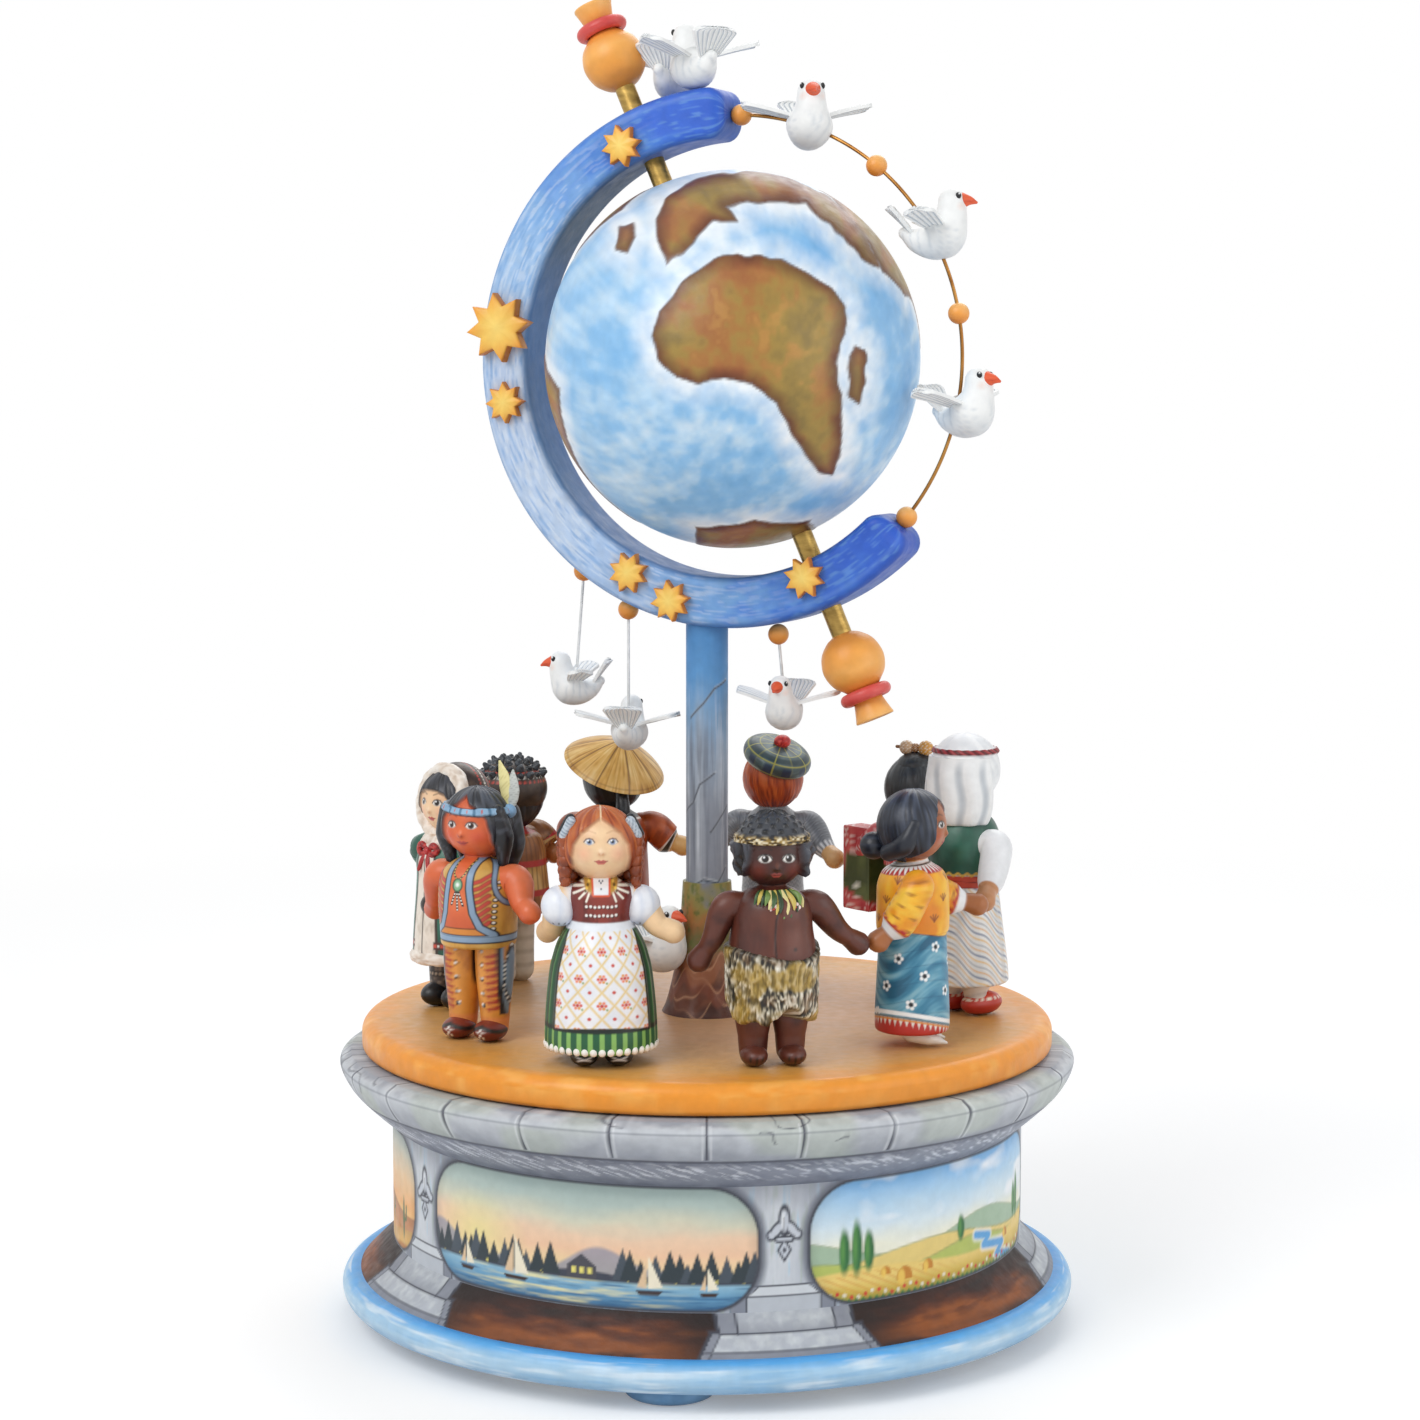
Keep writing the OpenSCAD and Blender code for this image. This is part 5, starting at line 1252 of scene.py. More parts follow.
def addDove(heap, at, heading, span=15.0, pitch=0.0, size=1.0):
    turn = size * turnBy(heading, "z") @ turnBy(-pitch, "y")

    def place(points, inner=np.eye(3), shift=(0, 0, 0)):
        return (points @ inner.T + np.array(shift)) @ turn.T + at

    spine = smoothLine([(x, 0, z) for x, z in dove["spine"]], 34)
    girth = smoothLine([(k, r) for k, r in enumerate(dove["girth"])], 34)[:, 1]
    body = tubeGrid(spine, girth, 30, up=(0, 1, 0))
    # painted shade: pale grey under the dove's belly
    paint = daub(flat(dove["white"], body), "#D3D9DE", body[..., 2] + 3.2, 5, 0.7)
    feathers = np.sin(body[..., 0] * 2.6 + 1.2 * np.sin(body[..., 1] * 1.3))
    paint = lay(paint, "#C3CBD3", np.clip(feathers - 0.55, 0, 0.5) * fill(body[..., 2] - 2.0, 2))
    for s in (-1, 1):
        paint = daub(paint, "#F0B49A", np.linalg.norm(body - (7.2, 2.4 * s, 6.4), axis=-1) - 0.9, 1.2, 0.35)
    addGrid(heap, place(body), paint)
    beak = tubeGrid(smoothLine([(7.8, 0, 7.9), (9.6, 0, 7.6), (11.2, 0, 6.9)], 12),
                    np.linspace(2.1, 0.4, 12), 18, up=(0, 1, 0))
    gape = np.abs(beak[..., 2] - 7.35) - 0.12
    addGrid(heap, place(beak), daub(flat(dove["beak"], beak), "#B8402A", gape, 0.4))
    for s in (-1, 1):
        eye, way = ballGrid((7.05, 2.75 * s, 9.2), (0.75, 0.6, 0.85), 16, 12)
        glint = np.linalg.norm(way - (0.5, 0.7 * s, 0.6), axis=-1) - 0.35
        addGrid(heap, place(eye), daub(flat(dove["eye"], eye), "#FFFFFF", glint, 0.3))
        wing = turnBy(90 * s + 14 * s, "z") @ turnBy(-12, "y")
        plate(heap, lambda p, m=wing, k=s: place(p, m, (0.2, 2.6 * k, 2.0)), 2.4, 4.4, span, 0.9, 5, 1.4,
              -0.6)
    tail = turnBy(180, "z") @ turnBy(-48, "y")
    plate(heap, lambda p: place(p, tail, (-5.6, 0, 0.6)), 1.3, 7.2, 9.6, 0.9, 9, 0.8, 1.0)


flock = {
    "garland": [(70.5, -82, 0.0), (29.0, -8, 1.0), (-12.3, -36, 2.6)], "span": 15.0, "small": 0.84,
    "lift": 1.0, "perched": [(97.0, 3.0, 120, 15.0), (105.0, -7.5, 60, 7.5)], "perchRadius": 78.1,
    "foot": {"at": (-12.6, -4.0, 17.6), "heading": -44, "span": 6.0, "pitch": 12},
    "hanging": [(231, -5.5, 33, -2.5, 178), (245.5, 0.0, 34.5, 0.0, 80), (280.3, 0.0, 21.5, 2.0, -112)],
}


def makeDoves():
    heap = newHeap()
    for degrees, heading, out in flock["garland"]:
        addDove(heap, ringPoint(degrees, garland["radius"] + out), heading, flock["span"], 8)
    buildPiece("garlandDoves", heap, whitePaint, "turntable", "garland_doves")
    heap = newHeap()
    for degrees, w, heading, reach in flock["perched"]:
        addDove(heap, ringPoint(degrees, flock["perchRadius"], w), heading, reach)
    low = flock["foot"]
    addDove(heap, np.array(low["at"]) + (0, 0, span("turntable")[1]), low["heading"], low["span"],
            low["pitch"])
    buildPiece("perchedDoves", heap, whitePaint, "turntable", "perched_doves")
    heap = newHeap()
    for degrees, w, drop, lean, heading in flock["hanging"]:
        at = ringPoint(degrees, garland["hangRadius"], w) + np.array([lean, 0, flock["lift"] - drop])
        addDove(heap, at, heading, flock["span"], 0, flock["small"])
    buildPiece("hangingDoves", heap, whitePaint, "turntable", "hanging_doves")


axleBrass = finish("axleBrass", {
    "tones": ("#8A6E3A", "#C4A35C"), "grain": 200, "stretch": (1, 1, 3), "rough": 0.34, "metal": 0.9})
finialRed = finish("finialRed", {"tones": ("#C63E3C", "#E0615A"), "grain": 160, "rough": 0.4})
paleWire = finish("paleWire", {"tones": ("#C9CBCC", "#E4E5E5"), "grain": 300, "rough": 0.35, "metal": 0.6})
for name, material in (("globe_axle", axleBrass), ("finial_rings", finialRed), ("dove_wires", paleWire)):
    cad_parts[name].data.materials.clear()
    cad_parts[name].data.materials.append(material)
makeRing()
makeStars("bigStar", stars["big"], "big_star")
makeStars("smallStars", stars["small"], "small_stars")
makeGlobe()
makeFinials()
makeGarland()
makeDoves()
print("globe, ring and doves painted")


# dolls: x to the viewer's right, y to the back and z up from the stage, before each is turned to its place
dollSpots = {
    "apron_girl": (-22.5, 3, 65.0, 8.2), "fur_cloth_boy": (13.5, 8, 64.0, 9.8),
    "wrap_skirt_girl": (49.5, 91, 67.0, 9.2), "headcloth_boy": (87.0, 131, 77.0, 9.8),
    "kimono_girl": (121.5, 160, 70.0, 9.6), "tam_boy": (164.0, 170, 69.0, 9.6),
    "straw_hat_boy": (203.0, 185, 66.0, 10.0), "poncho_boy": (233.5, 238, 64.0, 10.4),
    "hooded_girl": (265.5, -46, 69.0, 10.6), "feather_boy": (301.5, -28, 66.5, 9.8),
}
dollRing = {"radius": 70.0, "handLevel": 29.0, "hand": 2.9, "gap": 0.3, "neckDrop": 18.8, "headDrop": 9.8}
handShifts = {  # outward, along the ring and up, for the hands a doll shares with the next one
    "fur_cloth_boy": (4.0, 5.0, 0.0), "wrap_skirt_girl": (11.5, 0.0, 5.5), "kimono_girl": (0.0, 0.0, 5.0),
    "tam_boy": (0.0, 0.0, 7.0), "straw_hat_boy": (0.0, 0.0, 7.0), "hooded_girl": (9.0, 2.0, 3.0),
}


def spotOf(name):
    a = math.radians(dollSpots[name][0])
    return np.array([dollRing["radius"] * math.sin(a), -dollRing["radius"] * math.cos(a),
                     span("turntable")[1]])


def startDoll(name, headTurn=0, size=1.0):
    _, facing, height, shoulder = dollSpots[name]
    turn, look = size * turnBy(facing, "z"), size * turnBy(facing + headTurn, "z")
    at = spotOf(name)
    return {
        "name": name, "put": lambda p: np.asarray(p, float) @ turn.T + at,
        "putHead": lambda p: np.asarray(p, float) @ look.T + at, "neck": height - dollRing["neckDrop"],
        "head": height - dollRing["headDrop"], "shoulder": shoulder, "body": newHeap(), "face": newHeap(),
        "arms": newHeap(),
    }


def addSkin(doll, heap, grid, paint, wrapV=False):  # sets a grid in place on a doll
    put = doll["putHead"] if heap == "face" else doll["put"]
    addGrid(doll[heap], put(grid), paint, wrapV)


def turnedBody(outline, around=230, rows=150, crowd=0.4, deep=1.0):  # a turned trunk, finer at the front
    line = smoothLine(outline, rows)
    s = np.linspace(-np.pi, np.pi, around, endpoint=False)
    a = s - crowd * np.sin(s)
    r, z = line[:, 0], line[:, 1]
    grid = np.stack([np.outer(np.sin(a), r), -deep * np.outer(np.cos(a), r),
                     np.outer(np.ones(around), z)], -1)
    turn = a[:, None] + 0 * grid[..., 2]
    return grid, turn, grid[..., 2]


def addBall(doll, heap, at, half, paint, around=28, rows=18):
    grid, way = ballGrid(at, half, around, rows)
    addSkin(doll, heap, grid, paint(way) if callable(paint) else flat(paint, grid))


def addTube(doll, heap, points, radii, paint, sides=18, count=24, flatness=1.0, up=(0, 1, 0)):
    line = smoothLine(points, count)
    girth = np.interp(np.linspace(0, 1, count), np.linspace(0, 1, len(radii)), radii)
    grid = tubeGrid(line, girth, sides, flatness, up)
    along = alongTube(line)[None] + 0 * grid[..., 0]
    addSkin(doll, heap, grid, paint(grid, along) if callable(paint) else flat(paint, grid))


def paintFace(paint, x, z, look):  # eyes, nose and mouth, in shares of the head's radius
    ez, mz = look.get("eyes", 0.14), look.get("mouth", -0.42)
    nz = 0.45 * ez + 0.55 * mz
    for s in (-1, 1):
        ex = s * look.get("apart", 0.34)
        size = look.get("eyeSize", 1.0)
        paint = daub(paint, look["blush"], disc(x, z, (s * 0.5, ez - 0.34), 0.17), 0.3, 0.6)
        paint = daub(paint, look["shade"], oval(x, z, (ex, ez + 0.07), (0.2, 0.13)), 0.16, 0.45)
        white = oval(x, z, (ex, ez), (0.165 * size, 0.1 * size))
        paint = daub(paint, "#E9E5DF", white, 0.035)
        paint = daub(paint, look["iris"], np.maximum(disc(x, z, (ex, ez), 0.09 * size), white), 0.03)
        paint = daub(paint, "#14100E", disc(x, z, (ex, ez), 0.048 * size), 0.025)
        paint = daub(paint, "#FFFFFF", disc(x, z, (ex - 0.035, ez + 0.04), 0.026), 0.025)
        w, h = 0.175 * size, 0.105 * size
        lid = [
            (ex - w, ez - 0.01), (ex - 0.6 * w, ez + 0.75 * h), (ex, ez + h),
            (ex + 0.6 * w, ez + 0.75 * h), (ex + w, ez - 0.01),
        ]
        paint = daub(paint, look["lash"], stroke(x, z, lid, 0.035), 0.03)
        low = [(ex - 0.8 * w, ez - 0.5 * h), (ex, ez - h), (ex + 0.8 * w, ez - 0.5 * h)]
        paint = daub(paint, look["lash"], stroke(x, z, low, 0.012), 0.03, 0.5)
        brow = [(ex - 0.17, ez + 0.24), (ex + 0.01 * s, ez + 0.3), (ex + 0.18, ez + 0.24)]
        paint = daub(paint, look["brow"], stroke(x, z, brow, 0.035), 0.05, look.get("browShare", 0.8))
        paint = daub(paint, look["shade"], disc(x, z, (s * 0.05, nz - 0.02), 0.026), 0.03, 0.9)
    paint = daub(paint, look["shade"], oval(x, z, (0, nz - 0.02), (0.1, 0.05)), 0.08, 0.5)
    paint = daub(paint, look.get("light", "#FBE3C6"), oval(x, z, (0, nz + 0.07), (0.04, 0.06)), 0.08, 0.5)
    upper = [
        (-0.19, mz + 0.01), (-0.06, mz + 0.06), (0, mz + 0.035), (0.06, mz + 0.06), (0.19, mz + 0.01),
        (0, mz - 0.02),
    ]
    lower = [
        (-0.16, mz - 0.005), (0, mz - 0.02), (0.16, mz - 0.005), (0.08, mz - 0.085), (-0.08, mz - 0.085),
    ]
    paint = daub(paint, look["lips"], patch(x, z, upper), 0.025)
    paint = daub(paint, look.get("lipLight", look["lips"]), patch(x, z, lower), 0.025)
    smile = [(-0.19, mz + 0.015), (-0.08, mz - 0.015), (0.08, mz - 0.015), (0.19, mz + 0.015)]
    return daub(paint, look["lipLine"], stroke(x, z, smile, 0.02), 0.03)


headGrid = {"rows": 130, "around": 210}


def addHead(doll, look, over=None):  # over shapes and paints what lies on the hair
    s = np.linspace(-np.pi, np.pi, headGrid["around"], endpoint=False)
    a = (s - 0.55 * np.sin(s))[:, None]
    e = np.linspace(-np.pi / 2 + 0.04, np.pi / 2 - 0.04, headGrid["rows"])[None]
    way = np.stack([np.sin(a) * np.cos(e), -np.cos(a) * np.cos(e), np.sin(e) + 0 * a], -1)
    x, y, z = way[..., 0], way[..., 1], way[..., 2]
    half = look.get("outline", [(0, 0.78), (0.26, 0.62), (0.54, 0.4), (0.74, 0.1), (0.8, -0.25),
                                (0.74, -0.65), (0.5, -0.97)])
    hairRing = half + [(-u, v) for u, v in half[::-1] if u]
    edge = np.where(y < 0.1, patch(x, z, hairRing), 1.0)
    hair = fill(-edge, 0.05) * look.get("hairShare", 1.0)
    low = look.get("hairTo", -9)
    hair = hair * fill(low - z, 0.06)
    nz = 0.45 * look.get("eyes", 0.14) + 0.55 * look.get("mouth", -0.42)
    nose = 0.7 * np.exp(-((x / 0.11) ** 2 + ((z - nz) / 0.1) ** 2)) * (y < 0)
    cheek = 0.3 * np.exp(-(((np.abs(x) - 0.46) / 0.2) ** 2 + ((z + 0.24) / 0.2) ** 2)) * (y < 0)
    lip = 0.22 * np.exp(-((x / 0.16) ** 2 + ((z - look.get("mouth", -0.42)) / 0.07) ** 2)) * (y < 0)
    strands = specks(a * look.get("strands", 16) / 2 + 60 + 3 * z, z * 2.5 + 9, 161)
    lumps = look.get("lumps", 0.0) * specks(a * 4.5 * np.cos(e) + 70 + 0 * z, z * 6 + 20, 163)
    thick = look.get("hairThick", 1.0) + 0.35 * (strands - 0.5) * look.get("grooves", 1.0) + lumps
    size = np.array([look.get("wide", 8.6), look.get("wide", 8.6), look.get("tall", 8.9)])
    grid = way * size + way * (nose + cheek + lip + hair * thick)[..., None]
    paint = lay(flat(look["skin"], way), look["shade"], fill(z + 0.72, 0.5) * 0.4
                + 0.25 * fill(-edge - 0.12, 0.16))
    paint = paintFace(paint, np.where(y < 0, x, 9), z, look)
    # painted light: the 0.3 * z term lifts the hair towards its lighter tones at the crown
    tone = ramp(strands + lumps * 0.4 + 0.3 * z, look["hair"])
    paint = lay(paint, tone, hair)
    paint = lay(paint, look["hair"][0][1], fill(np.abs(edge) - 0.012, 0.03) * hair * 0.6)
    if "part" in look:  # a centre parting over the crown
        paint = lay(paint, look["part"], fill(np.abs(x) - 0.02, 0.02) * (z > 0.74) * (y < 0.5))
    centre = np.array([0, 0, doll["head"]]) + np.array(look.get("shift", (0, 0, 0)))
    if over:
        grid, paint = over(grid, paint, way)
    addSkin(doll, "face", grid + centre, paint)
    return centre


def addArm(doll, side, radii, paint, sag=1.5, start=0.88, raised=0.0, count=44, sides=24, bend=1.2):
    order = list(dollSpots)
    k = order.index(doll["name"])
    other = spotOf(order[(k + side) % len(order)])
    own = spotOf(doll["name"])
    out, slide, lift = handShifts.get(order[k if side > 0 else k - 1], (0.0, 0.0, 0.0))
    inner = doll["put"]((side * (doll["shoulder"] - 2.0), 0, start * doll["neck"] + 0.6))
    shoulder = doll["put"]((side * (doll["shoulder"] + 2.0), 0, start * doll["neck"]))
    apart = own - other
    hand = (own + other) / 2
    outward = hand * (1, 1, 0) / np.linalg.norm(hand[:2])
    ahead = side * (other - own) / np.linalg.norm(apart)
    hand = hand + outward * out + ahead * slide + (0, 0, dollRing["handLevel"] + lift + raised)
    hand = hand + apart * (dollRing["hand"] + dollRing["gap"]) / np.linalg.norm(apart)
    front = doll["put"]((0, -1, 0)) - doll["put"]((0, 0, 0))
    elbow = 0.52 * shoulder + 0.48 * hand - np.array([0, 0, sag]) + front * bend * 0.3
    line = smoothLine([inner, shoulder, elbow, 0.2 * elbow + 0.8 * hand, hand], count)
    girth = np.interp(np.linspace(0, 1, count), np.linspace(0, 1, len(radii)), radii)
    grid = tubeGrid(line, girth, sides, 1.0, (0.1, 0.2, 0.97))
    along = alongTube(line)[None] + 0 * grid[..., 0]
    turn = np.linspace(0, 2 * np.pi, sides, endpoint=False)[:, None] + 0 * along
    addGrid(doll["arms"], grid, paint(along, turn))
    return line


def sleeve(bands):  # colours along an arm, as [(until, colour), ...]
    def paint(along, turn):
        tone = np.broadcast_to(tint(bands[-1][1]), (*along.shape, 3))
        for until, colour in bands[-2::-1]:
            tone = daub(tone, colour, along - until, 0.02)
        # painted shade: a darker copy of the colour in stripes winding round the arm, the shade of cloth
        # folds
        return lay(tone, tone * 0.86, np.clip(np.sin(turn * 3 + 9 * along), 0, 1) * 0.25)
    return paint


def endDoll(doll):
    name = doll["name"]
    buildPiece(name + "Body", doll["body"], dollPaint, "turntable", name, crease=60)
    buildPiece(name + "Head", doll["face"], dollPaint, "turntable", "doll_heads", crease=60)
    buildPiece(name + "Arms", doll["arms"], dollPaint, "turntable", "doll_arms", crease=60)


def addLegs(doll, apart, top, outline, paint, low=3.5):  # a pair of trouser legs or bare legs
    for s in (-1, 1):
        line = [(s * apart, 0, top - k * (top - low) / (len(outline) - 1)) for k in range(len(outline))]
        addTube(doll, "body", line, outline, lambda g, t, s=s: paint(g, t, s), 40, 40)


def addShoes(doll, apart, half, paint, ahead=-2.2):
    for s in (-1, 1):
        grid, way = ballGrid((s * apart, ahead, half[2]), half, 40, 26)
        grid[..., 2] = np.maximum(grid[..., 2], 0.15)
        addSkin(doll, "body", grid, paint(grid, way, s))


def boxSkin(at, half, paint, around=48, rows=36):  # a box with rounded edges
    _, way = ballGrid((0, 0, 0), (1, 1, 1), around, rows)
    grid = np.sign(way) * np.abs(way) ** 0.42
    grid = grid / np.maximum(np.abs(grid).max(-1, keepdims=True), 0.75) * np.asarray(half, float)
    return grid + np.asarray(at, float), paint(grid)


apronGirl = {
    "outline": [
        (12.4, 3.5), (13.9, 4.2), (14.2, 6), (14.15, 9), (13.8, 15), (12.9, 23.4), (12.0, 27.2),
        (11.0, 30.4), (9.6, 33.2), (8.3, 35.2), (7.9, 37.0), (8.4, 40.0), (8.6, 42.6), (7.4, 45.0),
        (4.6, 46.6), (3.5, 48.2),
    ],
    "look": {
        "skin": "#F3CFA4", "shade": "#D9A078", "blush": "#EFA98A", "iris": "#7F8FB0", "lash": "#5A4038",
        "brow": "#B98660", "lips": "#C4605A", "lipLight": "#D97A70", "lipLine": "#9A4040",
        "browShare": 0.5, "eyes": 0.2, "mouth": -0.36, "eyeSize": 0.88,
        "hair": [(0.0, "#6E2A14"), (0.4, "#9A4420"), (0.7, "#B85E2E"), (1.2, "#C97A44")],
        "part": "#F0D0A8", "strands": 26,
    },
    "arm": [4.2, 3.9, 3.5, 3.2, 2.8, 3.0],
}


def girlWithApron():
    doll = startDoll("apron_girl")
    grid, turn, z = turnedBody(apronGirl["outline"], 300, 190)
    u = turn * 11.5
    folds = np.cos(turn * 26)
    ripple = 1 + 0.012 * folds * fill(z - 31, 5) * (np.abs(turn) > 1.0)
    grid[..., 0] *= ripple
    grid[..., 1] *= ripple
    paint = lay(flat("#1D4A2B", grid), "#5B9350", np.clip(folds - 0.45, 0, 0.6))
    paint = lay(paint, "#0F2417", np.clip(-folds - 0.4, 0, 0.7))
    stripe = np.cos(turn * 30)
    hem = daub(flat("#1F5A38", grid), "#86B863", 0.25 - stripe, 0.5)
    paint = daub(paint, hem, z - 9.6, 0.4)
    paint = daub(paint, "#12211A", np.abs(z - 10.1) - 0.6, 0.4)
    field = np.maximum(np.abs(turn) - np.interp(z, [9, 31, 36], [0.98, 0.97, 1.15]),
                       (10.4 + 0.5 * np.cos(turn * 2.4) - z) / 11.5)
    paint = daub(paint, "#0F1A14", field - 0.07, 0.06, z > 9.4)
    cloth = lay(flat("#F0F0F3", grid), "#DDE3EE", (clouds(u / 3 + 40, z / 4, 171) - 0.35) * 1.2)
    p, q = u / 5.3 + z / 6.6, u / 5.3 - z / 6.6
    lattice = np.minimum(np.abs(p - np.round(p)), np.abs(q - np.round(q))) * 4.1
    cloth = daub(cloth, "#E6C25E", lattice - 0.22, 0.5, 0.9)
    for i in range(-4, 5):
        for j in range(-1, 12):
            if (i + j) % 2:
                continue
            at = (i * 2.65, 9.9 + j * 3.3)
            if j % 2:
                cloth = daub(cloth, "#C9473A", disc(u, z, at, 0.42), 0.3)
                continue
            for k in range(6):
                a = k * math.pi / 3
                dot = (at[0] + 0.8 * math.cos(a), at[1] + 0.8 * math.sin(a))
                cloth = daub(cloth, ("#D9553F", "#EE8A6A", "#E39A4A")[k % 3], disc(u, z, dot, 0.36), 0.3)
            cloth = daub(cloth, "#C43B34", disc(u, z, at, 0.4), 0.3)
            cloth = daub(cloth, "#86A35A", disc(u, z, (at[0] + 1.1, at[1] - 1.0), 0.26), 0.3)
    paint = daub(paint, cloth, field, 0.03)
    # painted light: the bodice is lighter at the front and darker round the sides and back
    bodice = daub(flat("#6E241F", grid), "#8E3A2F", np.abs(turn) - 0.5, 0.9)
    bodice = lay(bodice, "#4E1815", np.clip((clouds(turn * 4 + 20, z / 5, 172) - 0.55) * 3, 0, 0.6))
    paint = daub(paint, bodice, 36.0 - z, 0.3)
    x = grid[..., 0] + 9 * (grid[..., 1] > 0)
    for level in (40.6, 38.3):
        for k in range(8):
            at = (-3.7 + 1.06 * k, level + 0.1 * math.sin(2 * k))
            # painted shadow: a dark disc set a little down and to the right under each white pearl
            paint = daub(paint, "#2A0E0C", disc(x, z, (at[0] + 0.15, at[1] - 0.15), 0.42), 0.25)
            paint = daub(paint, "#F7F2EC", disc(x, z, at, 0.36), 0.22)
    for s in (-1, 1):
        for k in range(6):
            a = math.radians(-78 + 22 * k)
            tip = (s * (2.7 + 5.0 * math.cos(a)), 46.0 + 4.2 * math.sin(a))
            start = (s * (2.4 + 1.8 * math.cos(a)), 46.0 + 1.5 * math.sin(a))
            paint = daub(paint, "#F3EBDC", stroke(x, z, [start, tip], 0.5), 0.25)
        paint = daub(paint, "#B98A3A", oval(x, z, (s * 3.1, 46.0), (1.1, 2.2), -20 * s), 0.5)
        for k in range(5):
            dot = (s * (2.7 + 0.3 * k), 47.2 - 0.7 * k)
            paint = daub(paint, ("#5E4A20", "#E9C35A")[k % 2], disc(x, z, dot, 0.32), 0.25)
    inset = patch(x, z, [(-2.0, 48.5), (2.0, 48.5), (1.8, 43.6), (-1.8, 43.6)])
    paint = daub(paint, "#D95A3C", inset - 0.5, 0.3)
    paint = daub(paint, "#EDEEF1", inset, 0.3)
    for at in ((0, 46.2), (0, 45.0), (-0.4, 46.6), (0.4, 46.6)):
        paint = daub(paint, "#4A5A6A", disc(x, z, at, 0.22), 0.2)
    paint = daub(paint, "#E9EDF3", np.abs(z - 35.4) - 1.0, 0.35)
    paint = daub(paint, "#F3CFA4", 47.2 - z, 0.3)
    addSkin(doll, "body", grid, paint)
    for k in range(40):
        a = 2 * math.pi * k / 40
        addBall(doll, "body", (13.7 * math.sin(a), -13.7 * math.cos(a), 4.7), (1.0, 1.0, 1.05), "#F4F1EA",
                14, 10)

    def shoe(g, way, s):
        tone = flat("#1C1718", g)
        for line in ([(s * 4.4 - 2, 3.0), (s * 4.4, 2.3), (s * 4.4 + 2, 3.0)],
                     [(s * 4.4 - 1.8, 1.9), (s * 4.4, 2.4), (s * 4.4 + 1.8, 1.9)]):
            tone = daub(tone, "#D8D8DC", stroke(g[..., 0], g[..., 2], line, 0.35), 0.25, way[..., 1] < -0.2)
        return tone

    addShoes(doll, 4.4, (3.6, 5.6, 2.6), shoe, -5.6)
    centre = addHead(doll, apronGirl["look"])

    def tress(g, t):
        return lay(flat("#8A3A1C", g), "#B8622F", np.clip(np.sin(g[..., 0] * 5), 0, 1))

    def silver(g, t):
        return lay(flat("#C9D3DC", g), "#7F8FA0", np.clip(np.sin(g[..., 2] * 6 + g[..., 0] * 4), 0, 1))

    for s in (-1, 1):
        for k, (x0, y0, top, low, size) in enumerate(
                ((8.9, -1.5, 2.5, -11.5, 1.7), (7.9, 2.0, 0.5, -12.5, 2.2), (9.3, 1.0, 2.0, -10.0, 1.6))):
            drop = np.linspace(top, low, 12)
            line = [(s * (x0 + 0.45 * math.sin(3.2 * j + k)), y0 + 0.45 * math.cos(3.2 * j), centre[2]
                     + v) for j, v in enumerate(drop)]

            def lock(g, t):
                curl = np.sin(t * 42 + 2 * np.arctan2(g[..., 1] - y0, g[..., 0]))
                return lay(flat("#9A4A24", g), "#5E2412", np.clip(curl, 0, 1) * 0.7)
            addTube(doll, "face", line, [size, size, size * 0.9, size * 0.5], lock, 16, 60)
        back = [
            (s * 4.5, 6.0, centre[2] + 2), (s * 6.0, 6.0, centre[2] - 6),
            (s * 5.6, 5.6, centre[2] - 12.5),
        ]
        addTube(doll, "face", back, [4.2, 4.4, 2.0], tress, 22, 30)
        clip = [(s * 7.4, -3.4, centre[2] + 6.4), (s * 9.2, -2.2, centre[2] + 2.6)]
        addTube(doll, "face", clip, [1.25, 1.25], silver, 14, 12)
        ribbon = [(s * 7.6, -1.4, centre[2] + 6.8), (s * 9.7, -0.4, centre[2] + 2.8)]
        addTube(doll, "face", ribbon, [1.3, 1.3], "#17181C", 12, 10)
        addArm(doll, s, apronGirl["arm"], sleeve([(0.12, "#F0F2F6"), (1.1, "#F1CDA0")]), sag=2.0,
               raised=4.2 if s > 0 else 2.0)
        at = (s * (doll["shoulder"] + 2.0), -0.3, 0.86 * doll["neck"])

        def puff(way):
            pleats = np.clip(np.sin(way[..., 0] * 9 + way[..., 1] * 5), 0, 1)
            tone = lay(flat("#EDF0F6", way), "#C9D2E4", pleats * 0.45)
            # painted shade: darker blue-grey under each puff
            tone = daub(tone, "#AEB9D0", way[..., 2] + 0.55, 0.5, 0.6)
            teeth = np.sin(np.arctan2(way[..., 0], way[..., 1]) * 12)
            return daub(tone, "#1F2228", np.abs(way[..., 2] + 0.8) - 0.05, 0.06, teeth > 0.2)
        addBall(doll, "arms", at, (4.9, 5.0, 5.2), puff, 48, 36)
    endDoll(doll)


girlWithApron()
print("apron girl made")


featherBoy = {
    "outline": [
        (7.6, 24.6), (9.6, 25.2), (10.0, 27.0), (10.2, 31), (10.5, 36), (10.3, 41), (9.2, 44.6),
        (6.6, 46.9), (3.9, 48.2), (3.5, 50),
    ],
    "look": {
        "skin": "#DD6B3F", "shade": "#A8432A", "blush": "#D9503A", "iris": "#4A2E22", "lash": "#2A1712",
        "brow": "#8A3524", "lips": "#B4453F", "lipLight": "#C8564A", "lipLine": "#7A2626", "eyes": 0.06,
        "mouth": -0.46, "light": "#F0936A",
        "hair": [(0.0, "#14151A"), (0.5, "#23252B"), (0.9, "#4A4E57"), (1.4, "#6A6E78")], "strands": 24,
        "outline": [
            (0, 0.82), (0.2, 0.6), (0.5, 0.46), (0.7, 0.2), (0.78, -0.2), (0.74, -0.62), (0.5, -0.97),
        ],
    },
    "arm": [3.9, 4.3, 4.0, 3.4, 2.8, 3.0],
}


